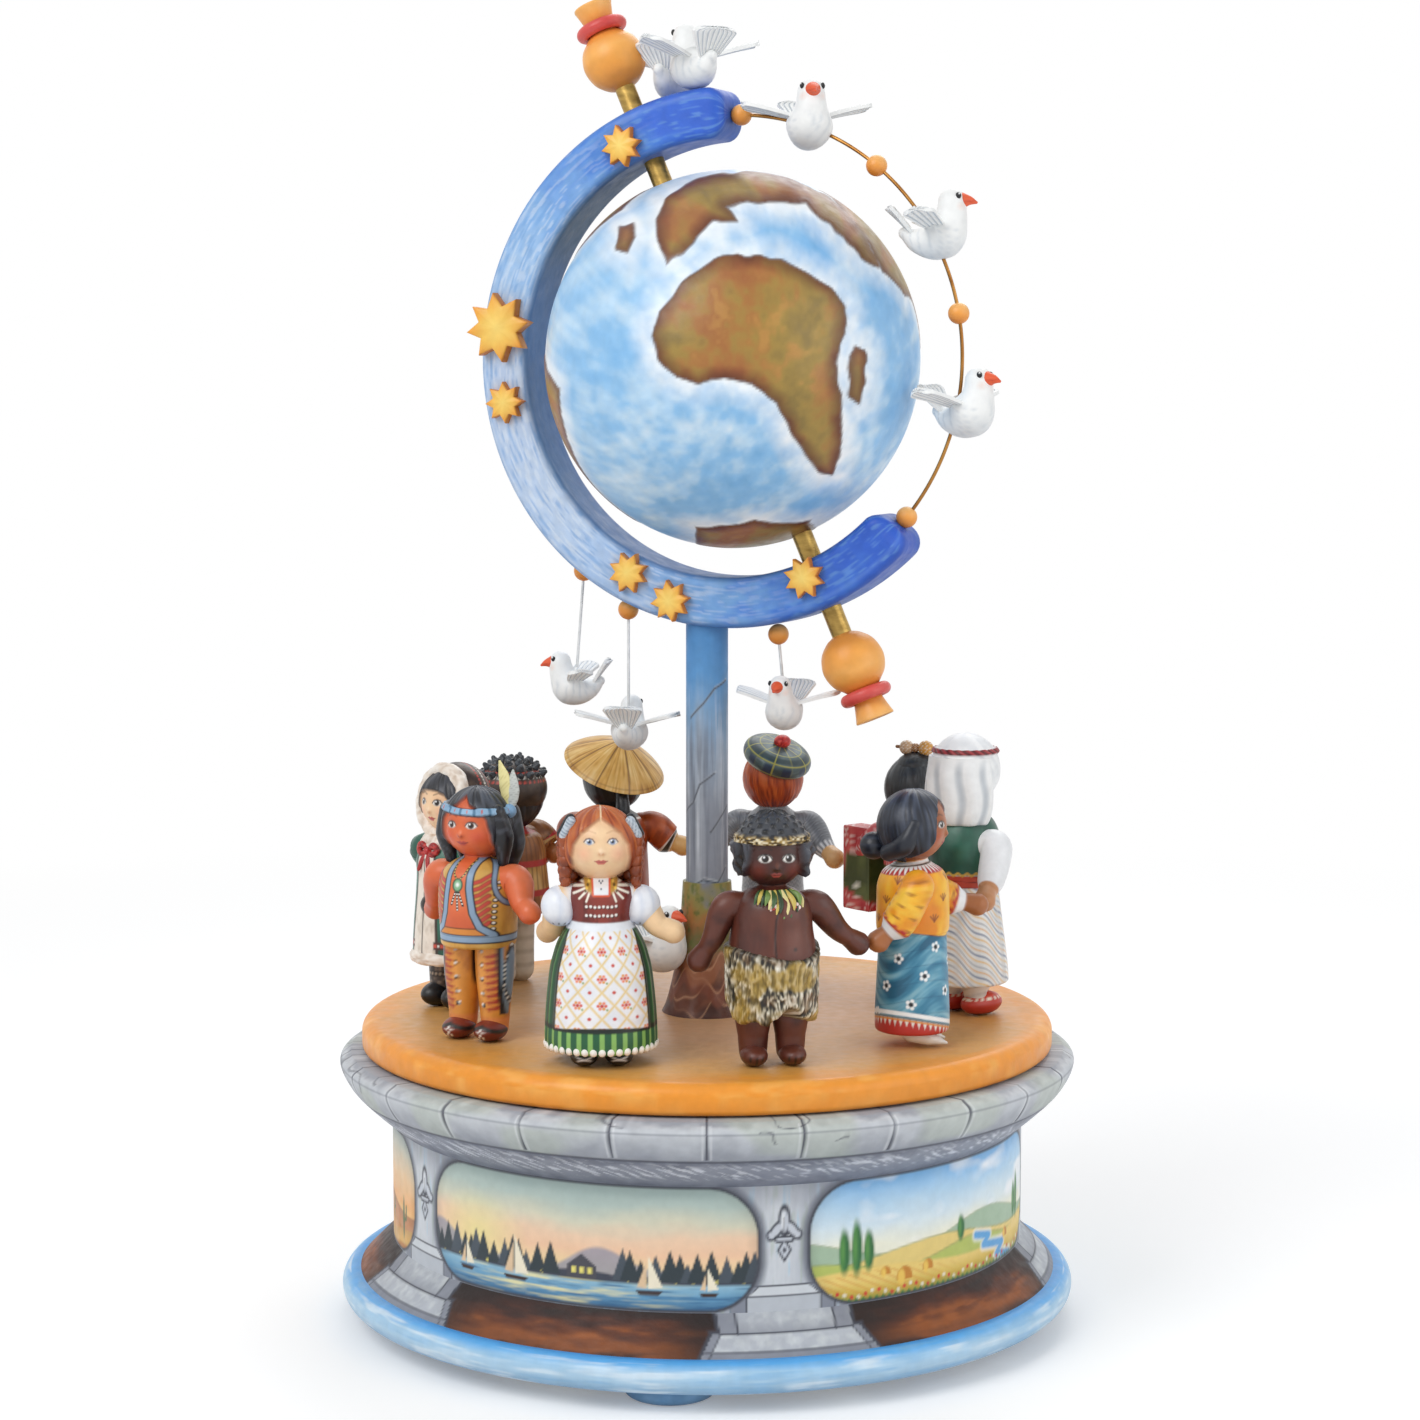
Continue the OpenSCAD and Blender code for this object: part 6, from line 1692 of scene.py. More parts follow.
def boyWithFeathers():
    doll = startDoll("feather_boy")
    grid, turn, z = turnedBody(featherBoy["outline"], 280, 150)
    x = np.where(grid[..., 1] < 0, grid[..., 0], 30)
    worn = np.clip((clouds(turn * 4 + 9, z / 6, 181) - 0.5) * 3, 0, 0.7)
    tan = lay(flat("#D3A04A", grid), "#B87F30", worn)
    paint = daub(tan, "#E3BC6C", np.abs(np.abs(turn) - 0.75) - 0.2, 0.5, 0.5)
    for s in (-1, 1):
        for k in range(8):
            low = 30.2 + 1.75 * k
            mark = [(s * 4.3, low), (s * 5.8, low + 0.5), (s * 7.6, low + 2.0)]
            paint = daub(paint, "#7E2A20", stroke(x, z, mark, 1.15), 0.4, 0.9)
            paint = daub(paint, "#C8473A", stroke(x, z, mark, 0.75), 0.4)
        for k in range(9):
            dot = (s * (8.2 + 0.12 * k), 30.4 + 1.5 * k)
            paint = daub(paint, "#15110F", disc(x, z, dot, 0.55), 0.25)
            paint = daub(paint, "#F2EFE8", disc(x, z, (dot[0], dot[1] + 0.1), 0.3), 0.2)
        armhole = disc(turn * 10 * s, z, (15.0, 42.0), 5.2)
        paint = daub(paint, "#2E3440", np.abs(armhole) - 0.9, 0.4)
        paint = daub(paint, "#8AA2BC", np.abs(armhole) - 0.55, 0.4)
    front = [
        (-2.2, 51), (-2.3, 46.6), (-2.5, 41), (-3.4, 34.4), (-5.0, 30.4), (-7.4, 28.6), (7.4, 28.6),
        (5.0, 30.4), (3.4, 34.4), (2.5, 41), (2.3, 46.6), (2.2, 51),
    ]
    chest = patch(x, z, front)
    # painted shade and highlight: the bare skin darkens towards the belt and has a lighter round spot in
    # the middle of the chest
    skin = daub(flat("#DD6B3F", grid), "#C24F2C", z - 33, 5, 0.5)
    skin = daub(skin, "#EE8A5A", disc(x, z, (0.4, 38), 1.6), 4, 0.7)
    border = np.minimum(np.where(z > 28.4, np.abs(chest - 0.75), 9), np.abs(z - 27.6))
    paint = daub(paint, "#23262E", border - 1.1, 0.3)
    paint = daub(paint, "#8CA5C0", border - 0.7, 0.3)
    paint = daub(paint, skin, np.maximum(chest + 0.35, 28.4 - z), 0.3)
    belt = fill(np.maximum(chest + 0.3, np.abs(z - 29.5) - 0.9), 0.3)
    paint = lay(paint, "#D98A3C", belt)
    paint = daub(paint, "#6A3A1C", np.abs(z - 30.5) - 0.14, 0.25, fill(chest, 0.3))
    for s in (-1, 1):
        cord = [(s * 2.3, 47.6), (s * 1.6, 44.6), (0, 42.8)]
        paint = daub(paint, "#3A3320", stroke(x, z, cord, 0.5), 0.25)
        paint = daub(paint, "#D8C26A", stroke(x, z, cord, 0.28), 0.2, np.sin(z * 9) > 0)
    for tip in ((-1.7, 36.8), (0.1, 35.4), (1.7, 36.6)):
        string = [(0.2 * tip[0], 40.4), tip]
        paint = daub(paint, "#1B1613", stroke(x, z, string, 0.62), 0.25)
        paint = daub(paint, "#F1EDE6", stroke(x, z, string, 0.36), 0.2, np.sin(z * 8) > 0.1)
    paint = daub(paint, "#2F4A38", oval(x, z, (0, 41.8), (1.55, 1.8)), 0.3)
    paint = daub(paint, "#86B58C", oval(x, z, (0, 41.8), (1.15, 1.4)), 0.4)
    paint = daub(paint, "#F6FAF4", disc(x, z, (0, 41.9), 0.5), 0.6)
    paint = daub(paint, skin, 48.3 - z, 0.3)
    addSkin(doll, "body", grid, paint)

    def leg(g, t, s):
        u, v = g[..., 0] - s * 4.8, g[..., 2]
        front = g[..., 1] < 0.6
        tone = daub(flat("#D58C36", g), "#E8A24C", np.abs(u + 0.6 * s) - 1.2, 2.4, 0.7)
        tone = lay(tone, "#A8622A", np.clip((clouds(u / 2 + 20, v / 5 + 9, 183) - 0.55) * 3, 0, 0.5))
        out = u * s
        for k in range(9):
            low = 8.6 + 1.75 * k
            mark = [(0.5, low), (1.8, low + 0.2), (3.2, low + 0.6)]
            tone = daub(tone, "#A83A2A", stroke(out, v, mark, 0.95), 0.4, front)
        for level in (24.0, 20.4, 16.6, 12.8, 9.6):
            tone = daub(tone, "#14100E", disc(out, v, (-0.9, level), 0.62), 0.25, front)
            tone = daub(tone, "#F4F1EA", disc(out, v, (-1.05, level + 0.12), 0.4), 0.2, front)
        seam = np.where(front, np.abs(out - 3.7), 9)
        tone = daub(tone, "#1E1C20", seam - 0.62, 0.3, v > 7)
        tone = lay(tone, "#7F93A8", fill(np.abs(out - 4.25) - 0.3, 0.3) * front * (v > 7))
        thigh = oval(g[..., 1], v, (0.6, 18.2), (2.6, 6.4))
        side = fill(2.6 - out, 0.4)
        tone = daub(tone, "#191718", thigh - 0.7, 0.4, side)
        tone = daub(tone, "#7E96AE", thigh, 0.4, side)
        tone = lay(tone, "#F2F0EA", fill(np.abs(thigh - 0.4) - 0.2, 0.3) * side * (np.sin(v * 5) > 0.3))
        # painted shade: dark brown on the inner side of the upper legs, where they meet
        tone = daub(tone, "#3A1E14", out + 4.3, 0.4, fill(15 - v, 2))
        return daub(tone, "#E08A4C", v - 6.4, 0.6)

    addLegs(doll, 4.85, 26.2, [5.1, 5.2, 5.0, 4.5, 4.0, 3.6], leg)

    def shoe(g, way, s):
        # painted light: the shoe is lighter on top
        tone = daub(flat("#6E281E", g), "#8E3F2E", -way[..., 2], 0.8, 0.5)
        tone = daub(tone, "#2A2422", np.abs(g[..., 2] - 4.4 + 0.35 * np.abs(g[..., 0] - s * 4.85)) - 0.5,
                    0.3)
        for a, b in ((-0.9, 3.0), (0.9, 3.0), (0, 2.2), (-0.5, 1.5), (0.6, 1.4), (0, 3.5)):
            tone = daub(tone, "#F0EEEA", disc(g[..., 0], g[..., 2], (s * 4.85 + a, b), 0.34), 0.25,
                        way[..., 1] < -0.2)
        return tone

    addShoes(doll, 4.85, (4.1, 5.4, 2.9), shoe, -2.2)

    def band(grid, paint, way):
        level = way[..., 2] - 0.43 + 0.05 * way[..., 0]
        mask = fill(np.abs(level) - 0.085, 0.03)
        turn = np.arctan2(way[..., 0], -way[..., 1])
        tone = daub(flat("#8FB4D2", paint), "#4E7796", np.abs(np.sin(turn * 7)) - 0.3, 0.3)
        tone = daub(tone, "#C85A4A", np.abs(np.cos(turn * 7)) - 0.14, 0.15,
                    fill(np.abs(level) - 0.04, 0.03))
        paint = daub(paint, "#20262E", np.abs(level) - 0.11, 0.03)
        return grid + way * (mask * 0.8)[..., None], lay(paint, tone, mask)

    centre = addHead(doll, featherBoy["look"], band)

    def dark(g, t):
        shine = np.clip(np.sin(g[..., 0] * 6 + g[..., 1] * 5) - 0.3, 0, 0.6)
        return lay(flat("#17181D", g), "#4A4E58", shine)

    for s in (-1, 1):
        addTube(doll, "face", [(s * 7.4, -2.6, centre[2] + 3.4), (s * 8.6, -1.6, centre[2] - 3),
                               (s * 8.0, -0.6, centre[2] - 9.4)], [2.4, 2.9, 1.5], dark, 20, 30)
        addTube(doll, "face", [(s * 5.4, 5.0, centre[2] + 2), (s * 6.4, 5.6, centre[2] - 6),
                               (s * 5.2, 5.6, centre[2] - 13)], [4.0, 4.0, 2.0], dark, 22, 30)
    addBall(doll, "face", (8.6, 1.6, centre[2] + 3.6), (1.9, 1.9, 1.9), "#7FA6C8", 24, 16)
    for lean, tall, colour, edge in ((-2.4, 12.2, "#E9DFA0", "#B9A860"), (1.6, 10.0, "#C9CDC8", "#6E746E")):
        quill = [
            (8.6 + 0.1 * lean, 2.0, centre[2] + 4.0), (8.4 + 0.5 * lean, 2.4, centre[2] + 4 + 0.5 * tall),
            (7.6 + lean, 2.6, centre[2] + 4 + tall),
        ]

        def feather(g, t, colour=colour, edge=edge):
            barbs = np.clip(np.sin(g[..., 2] * 7 + np.abs(g[..., 0]) * 3) - 0.5, 0, 0.6)
            tone = lay(flat(colour, g), edge, barbs)
            return daub(tone, "#F7F2D8", np.abs(np.sin(t * 3)) - 0.1, 0.1, 0.3)

        addTube(doll, "face", quill, [0.7, 1.9, 2.1, 1.5, 0.4], feather, 16, 30, 0.35, (0, 1, 0))
    for s in (-1, 1):
        def arm(along, turn):
            tone = np.broadcast_to(tint("#DC6A3E"), (*along.shape, 3))
            # painted light and shade: the arm is lighter along its upper side and darker underneath near
            # the shoulder
            tone = lay(tone, "#B84A2C", fill(0.22 - along, 0.2) * fill(np.sin(turn) + 0.2, 0.8) * 0.5)
            return lay(tone, "#EE8A5C", np.clip(np.sin(turn), 0, 1) * 0.4)
        addArm(doll, s, featherBoy["arm"], arm, sag=1.4, raised=6.0 if s > 0 else 0.0)
    endDoll(doll)


furBoy = {
    "skinTones": [(0.2, "#3A1A14"), (0.5, "#4C241B"), (0.8, "#5E3024")],
    "outline": [
        (8.6, 22), (10.6, 24), (11.2, 27.6), (10.9, 31), (10.3, 35), (10.1, 39), (9.0, 42.2), (6.0, 44.4),
        (3.7, 45.6), (3.4, 48),
    ],
    "look": {
        "skin": "#46211A", "shade": "#26100C", "blush": "#7A2E24", "iris": "#24130E", "lash": "#0F0807",
        "brow": "#190C09", "lips": "#8E3A34", "lipLight": "#B04A42", "lipLine": "#4E1A18", "eyes": -0.1,
        "mouth": -0.55, "eyeSize": 1.12, "light": "#7A4A3A",
        "hair": [(0.1, "#0E0E11"), (0.5, "#1C1D22"), (0.8, "#34363D"), (1.2, "#4A4D56")], "lumps": 1.8,
        "hairThick": 0.6, "grooves": 2.2,
        "outline": [(0, 0.4), (0.4, 0.36), (0.66, 0.2), (0.72, -0.15), (0.76, -0.5), (0.6, -0.97)],
        "tall": 9.2, "hairTo": -0.62,
    },
    "arm": [3.6, 3.8, 3.4, 2.9, 2.4, 3.1],
}


def boyWithFur():
    doll = startDoll("fur_cloth_boy")
    skinTones = furBoy["skinTones"]
    grid, turn, z = turnedBody(furBoy["outline"], 220, 120)
    x = np.where(grid[..., 1] < 0, grid[..., 0], 30)
    # painted light: the skin is lighter towards the front and in two soft patches on the chest
    paint = ramp(clouds(turn * 3 + 30, z / 9, 191) + 0.25 * np.cos(turn - 0.3), skinTones)
    paint = daub(paint, "#7A4636", oval(x, z, (4.6, 33.5), (2.4, 3.4)), 4, 0.45)
    paint = daub(paint, "#7A4636", oval(x, z, (-3.6, 38.5), (2.6, 2.6)), 4, 0.4)
    paint = daub(paint, "#1E0C09", stroke(x, z, [(0.6, 41.4), (-0.5, 38), (-0.8, 33.5), (-0.6, 29)], 0.5),
                 0.5, 0.9)
    paint = daub(paint, "#22100C", disc(x, z, (4.4, 30.6), 0.5), 0.5, 0.8)
    grid[..., :2] *= 1 - (0.03 * fill(stroke(x, z, [(0.6, 41), (-0.8, 30)], 0.6), 1.0))[..., None]
    addSkin(doll, "body", grid, paint)
    edge = [
        (9.2, 12.6), (11.2, 13.4), (11.6, 18), (11.7, 23), (11.9, 27.6), (12.1, 29.4), (11.2, 30.2),
        (10.4, 29.4), (9.6, 20),
    ]
    fur, turn, z = turnedBody(edge, 300, 110, 0.35)
    hem = (12.8 + 1.8 * np.sin(turn * 3 + 0.6) + 1.0 * np.sin(turn * 7)
           + 1.3 * (specks(turn * 8 + 40, 0 * z, 193) - 0.5))
    rise = 28.9 - 2.0 * np.cos(turn) - 1.0 * np.sin(turn * 2)
    up = (z - 12.6) / (30.2 - 12.6)
    height = hem + (rise + 1.6 - hem) * up
    tuft = specks(turn * 17 + 50, height / 1.3 + 3 * np.sin(turn * 4), 195)
    sway = 2.4 * clouds(turn * 2.6 + 9, height / 5, 196)
    hairs = (0.6 * specks(turn * 30 + 9 + sway, height / 1.5 + 2 * sway, 197)
             + 0.4 * specks(turn * 12 - sway + 60, height / 1.1, 194))
    grow = 1 + 0.045 * (tuft - 0.4) + 0.03 * (hairs - 0.5)
    fur = np.stack([fur[..., 0] * grow, fur[..., 1] * grow, height], -1)
    blots = clouds(turn * 2.2 + 17, height / 6, 198)
    paint = ramp(hairs * 0.75 + 0.4 * (tuft - 0.4) + 0.1,
                 [(0.2, "#15130F"), (0.4, "#3A352C"), (0.54, "#857C66"), (0.7, "#D6CFBC"),
                  (0.9, "#F4F0E4")])
    paint = lay(paint, "#B8973A", np.clip((blots - 0.5) * 5, 0, 0.75) * (0.35 + hairs))
    paint = lay(paint, "#8A5A24", np.clip((0.42 - blots) * 5, 0, 0.6) * hairs)
    paint = daub(paint, "#12100D", np.abs(up - 1) - 0.03, 0.08, 0.8)
    addSkin(doll, "body", fur, paint)

    def leg(g, t, s):
        tone = ramp(clouds(g[..., 0] / 3 + 20, g[..., 2] / 6 + 9, 199) + 0.2, skinTones)
        # painted highlight: a lighter stripe down the front of each leg, left of its middle
        return lay(tone, "#7A4030", fill(np.abs(g[..., 0] - s * 4.7 + 1.2) - 0.8, 2.6) * 0.4
                   * (g[..., 1] < 0))

    addLegs(doll, 4.75, 19, [5.2, 5.0, 4.6, 3.9, 3.6], leg)

    def foot(g, way, s):
        tone = ramp(np.full(g.shape[:2], 0.55), skinTones)
        gaps = np.abs(np.sin((g[..., 0] - s * 4.9) * 2.0))
        toes = fill(gaps - 0.16, 0.14) * fill(way[..., 1] + 0.62, 0.1) * fill(g[..., 2] - 3.0, 0.6)
        # painted light: the tops of the feet are lighter
        return lay(daub(tone, "#6E3A2B", -way[..., 2] + 0.1, 0.5, 0.5), "#1E0D09", toes)

    addShoes(doll, 4.9, (3.5, 5.2, 2.7), foot, -2.6)
    for k in range(15):
        a = -0.6 + 1.3 * k / 14
        low = 42.6 - 3.0 * math.exp(-((a - 0.2) / 0.36) ** 2) + 0.6 * math.sin(3 * k)
        colour = ("#3E5A34", "#C9B25A", "#2A3E26", "#6E8A46", "#E3D493")[k % 5]
        tip = (10.2 * math.sin(a), -10.2 * math.cos(a), low - 0.6)
        middle = (9.0 * math.sin(a + 0.05), -9.0 * math.cos(a + 0.05), low + 1.4)
        start = (6.3 * math.sin(a), -6.3 * math.cos(a), 44.7)
        addTube(doll, "body", [start, middle, tip], [0.5, 0.75, 0.7, 0.2], colour, 12, 12, 0.5)
    for a in (-0.12, 0.55):
        at = np.array([9.1 * math.sin(a), -9.1 * math.cos(a), 40.9])
        for k in range(5):
            b = k * 2 * math.pi / 5
            addBall(doll, "body", at + (0.75 * math.cos(b), -0.2, 0.75 * math.sin(b)), (0.6, 0.45, 0.6),
                    "#F2D9D2", 12, 8)
        addBall(doll, "body", at + (0, -0.4, 0), (0.45, 0.45, 0.45), "#C43F38", 12, 8)

    def spotted(grid, paint, way):
        turn = np.arctan2(way[..., 0], -way[..., 1])
        flatWay = way * (1, 1, 0) / np.maximum(np.hypot(way[..., 0], way[..., 1]), 0.05)[..., None]
        crown = fill(0.4 - way[..., 2], 0.04)
        knots = np.clip(np.sin(turn * 13) * np.sin(way[..., 2] * 24 + 0.6), 0, 1)
        bulge = 0.7 * np.sqrt(np.clip(1 - way[..., 2] ** 2, 0, 1))
        dome = way * (8.9, 8.9, 10.0) + flatWay * bulge[..., None]
        grid = grid + (dome + way * (0.55 * knots)[..., None] - grid) * crown[..., None]
        paint = lay(paint, ramp(knots, [(0.0, "#383B42"), (0.5, "#1D1E23"), (1.0, "#0D0D10")]), crown)
        mask = fill(np.abs(way[..., 2] - 0.36) - 0.1, 0.03)
        fleck = specks(turn * 14 + 60, way[..., 2] * 24 + 60, 203)
        tone = ramp(fleck, [(0.2, "#1D1812"), (0.42, "#5E4A22"), (0.6, "#A88A4A"), (0.85, "#E6DCC0")])
        band = flatWay * (9.3 + 0.4 * fleck)[..., None] + way * (0, 0, 9.4)
        return grid + (band - grid) * mask[..., None], lay(paint, tone, mask)

    addHead(doll, furBoy["look"], spotted)
    for s in (-1, 1):
        def arm(along, turn):
            tone = ramp(clouds(along * 6 + 20, turn + 9, 205) + 0.2, skinTones)
            # painted light: the arm is lighter along its upper side
            return lay(tone, "#7A4636", np.clip(np.sin(turn - 0.3), 0, 1) * 0.35)
        addArm(doll, s, furBoy["arm"], arm, sag=1.2, raised=0.0 if s > 0 else -3.0)
    endDoll(doll)


boyWithFeathers()
boyWithFur()
print("feather boy and fur-cloth boy made")


wrapGirl = {
    "outline": [
        (8.8, 4.0), (9.6, 4.8), (9.7, 9), (9.3, 18), (8.9, 26), (8.8, 29.6), (9.3, 30.4), (9.5, 33),
        (9.4, 38), (9.2, 42.4), (7.8, 45.8), (5.2, 47.6), (3.9, 48.6), (3.4, 50.4),
    ],
    "look": {
        "skin": "#A8633A", "shade": "#7A4024", "blush": "#B8583A", "iris": "#2A1A12", "lash": "#140D0B",
        "brow": "#2A1710", "lips": "#9E3A36", "lipLight": "#B54A44", "lipLine": "#6A2222", "eyes": 0.12,
        "mouth": -0.42, "light": "#C98A5C",
        "hair": [(0.1, "#14171F"), (0.5, "#1F2430"), (0.85, "#343B4A"), (1.3, "#4E5668")],
        "hairThick": 0.9, "grooves": 0.5, "strands": 34,
        "outline": [
            (0, 0.74), (0.3, 0.6), (0.56, 0.3), (0.62, 0.0), (0.6, -0.4), (0.66, -0.7), (0.5, -0.97),
        ],
    },
    "arm": [3.6, 4.3, 4.4, 4.5, 4.6, 4.4, 2.3, 3.0],
}


def girlWithWrap():
    doll = startDoll("wrap_skirt_girl", headTurn=-16)
    grid, turn, z = turnedBody(wrapGirl["outline"], 240, 190, 0.0)
    u = turn * 9.2
    wave = clouds(u / 10 + 40, z / 2.6 + 1.6 * np.sin(turn * 2), 211)
    paint = ramp(wave, [(0.25, "#25607F"), (0.42, "#3B7F9F"), (0.56, "#5C9AB4"), (0.75, "#8FBDCB")])
    paint = daub(paint, "#1F4F70", np.abs(np.sin(z * 0.75 + 1.2 * np.sin(turn * 1.5))) - 0.1, 0.2, 0.4)
    for k in range(16):
        at = (-26 + 3.5 * k, 9.4 + (k * 7.3) % 19)
        for j in range(5):
            b = j * 2 * math.pi / 5
            paint = daub(paint, "#F2F4F4",
                         disc(u, z, (at[0] + 0.95 * math.cos(b), at[1] + 0.95 * math.sin(b)), 0.5), 0.3)
        paint = daub(paint, "#14161A", disc(u, z, at, 0.6), 0.3)
    slant = 7.6 - 2.4 * np.cos(turn - 0.9)
    paint = daub(paint, "#6E7A7C", z - slant + 0.8, 0.3)
    teeth = np.abs((u / 1.5) % 1 - 0.5) * 2
    trim = daub(flat("#E9E6DF", grid), "#B8332F", teeth - 0.55 + (z - slant + 2.2) * 0.4, 0.3)
    trim = daub(trim, "#D98A3A", np.abs(z - slant + 1.6) - 0.25, 0.3)
    paint = daub(paint, trim, z - slant + 1.3, 0.3)
    paint = daub(paint, "#F1F3F3", np.abs(z - slant) - 0.55, 0.3)
    low = 30.0 - 0.8 * np.cos(turn * 2 + 0.6)
    cloth = ramp(clouds(u / 5 + 70, z / 7, 213) + 0.04 * np.sin(u * 1.4),
                 [(0.3, "#E58A1E"), (0.5, "#F0A826"), (0.7, "#F6BF3A")])
    for k in range(17):
        at = (-26 + 3.3 * k, 33.2 + (k * 5.1) % 12.5)
        for lean in (-0.7, -0.2, 0.3, 0.8):
            leafTip = (at[0] + 1.7 * math.sin(lean), at[1] + 1.7 * math.cos(lean))
            cloth = daub(cloth, "#8A4516", stroke(u, z, [at, leafTip], 0.42), 0.3, 0.85)
    paint = daub(paint, cloth, low - z, 0.3)
    paint = daub(paint, "#2A3A44", np.abs(z - low) - 0.15, 0.3, 0.7)
    zig = np.abs((turn * 5.2) % 1 - 0.5) * 2
    collar = 46.6 + 0.5 * np.cos(turn)
    band = daub(flat("#F3F1EE", grid), "#B02C2A", zig - 0.5 + (z - collar) * 0.5, 0.3)
    paint = daub(paint, band, np.abs(z - collar) - 1.0, 0.25)
    paint = daub(paint, "#1C1A1C", np.abs(z - collar - 1.1) - 0.16, 0.2)
    paint = daub(paint, "#F3F1EE", np.abs(z - collar - 1.6) - 0.35, 0.2)
    paint = daub(paint, "#9A5A34", collar + 2.1 - z, 0.25)
    addSkin(doll, "body", grid, paint)

    def slipper(g, t):
        return daub(flat("#E6E4DE", g), "#B9B5AC", g[..., 2] - 1.0, 1.2, 0.7)

    for s in (-1, 1):
        line = [(s * 3.4, 0.5, 3.6), (s * 3.5, -3.5, 2.6), (s * 3.6, -8.4, 1.2)]
        addTube(doll, "body", line, [2.7, 2.5, 0.6], slipper, 22, 20, 0.8, (0, 0, 1))
    centre = addHead(doll, wrapGirl["look"])
    for s in (-1, 1):
        side = [
            (s * 7.6, -1.8, centre[2] + 1.4), (s * 8.0, 0.6, centre[2] - 3.6),
            (s * 4.6, 5.4, centre[2] - 6.4),
        ]
        addTube(doll, "face", side, [2.0, 2.8, 2.4], "#1B202B", 20, 24)

    def bun(way):
        return lay(flat("#181C26", way), "#3C4456", np.clip(np.sin(way[..., 2] * 12), 0, 1) * 0.4)

    addBall(doll, "face", (0, 10.4, centre[2] - 5.4), (3.8, 3.6, 3.6), bun, 36, 26)
    for s in (-1, 1):
        def blouse(along, turn):
            tone = ramp(clouds(along * 9 + 30, turn + 10, 215),
                        [(0.3, "#E8931F"), (0.5, "#F2AE2A"), (0.7, "#F7C442")])
            leaf = np.sin(turn * 3 + 1) * np.sin(along * 40)
            tone = daub(tone, "#8E4A18", 0.75 - leaf, 0.3, 0.7)
            red = 0.72 + 0.016 * np.sign(np.sin(turn * 9))
            tone = daub(tone, "#B8302E", np.abs(along - red) - 0.025, 0.01)
            tone = daub(tone, "#EEF0F2", 0.745 - along, 0.01)
            return daub(tone, "#A8683C", 0.845 - along, 0.01)
        addArm(doll, s, wrapGirl["arm"], blouse, sag=1.6, count=60)
    endDoll(doll)


headclothBoy = {
    "outline": [
        (8.4, 8.6), (11.8, 9.2), (12.2, 11), (11.6, 17), (10.4, 26), (9.5, 33), (9.3, 36.4), (9.6, 40),
        (10.0, 44), (9.8, 48), (8.2, 52.6), (5.0, 56.4), (3.6, 59.6),
    ],
    "look": {
        "skin": "#C48A5E", "shade": "#94603C", "blush": "#C4704E", "iris": "#2E1E14", "lash": "#1A100C",
        "brow": "#2A1A12", "lips": "#A44A42", "lipLight": "#B85A50", "lipLine": "#6E2A26",
        "light": "#DBA67C",
        "hair": [(0.0, "#C9CCD0"), (0.45, "#E3E5E7"), (0.8, "#F2F3F3"), (1.3, "#F6F6F6")],
        "hairThick": 0.9, "grooves": 0.25, "strands": 10,
        "outline": [(0, 0.52), (0.4, 0.46), (0.64, 0.2), (0.68, -0.3), (0.6, -0.7), (0.4, -0.97)],
    },
    "arm": [4.2, 4.4, 4.2, 4.0, 3.6, 2.4, 3.0],
}


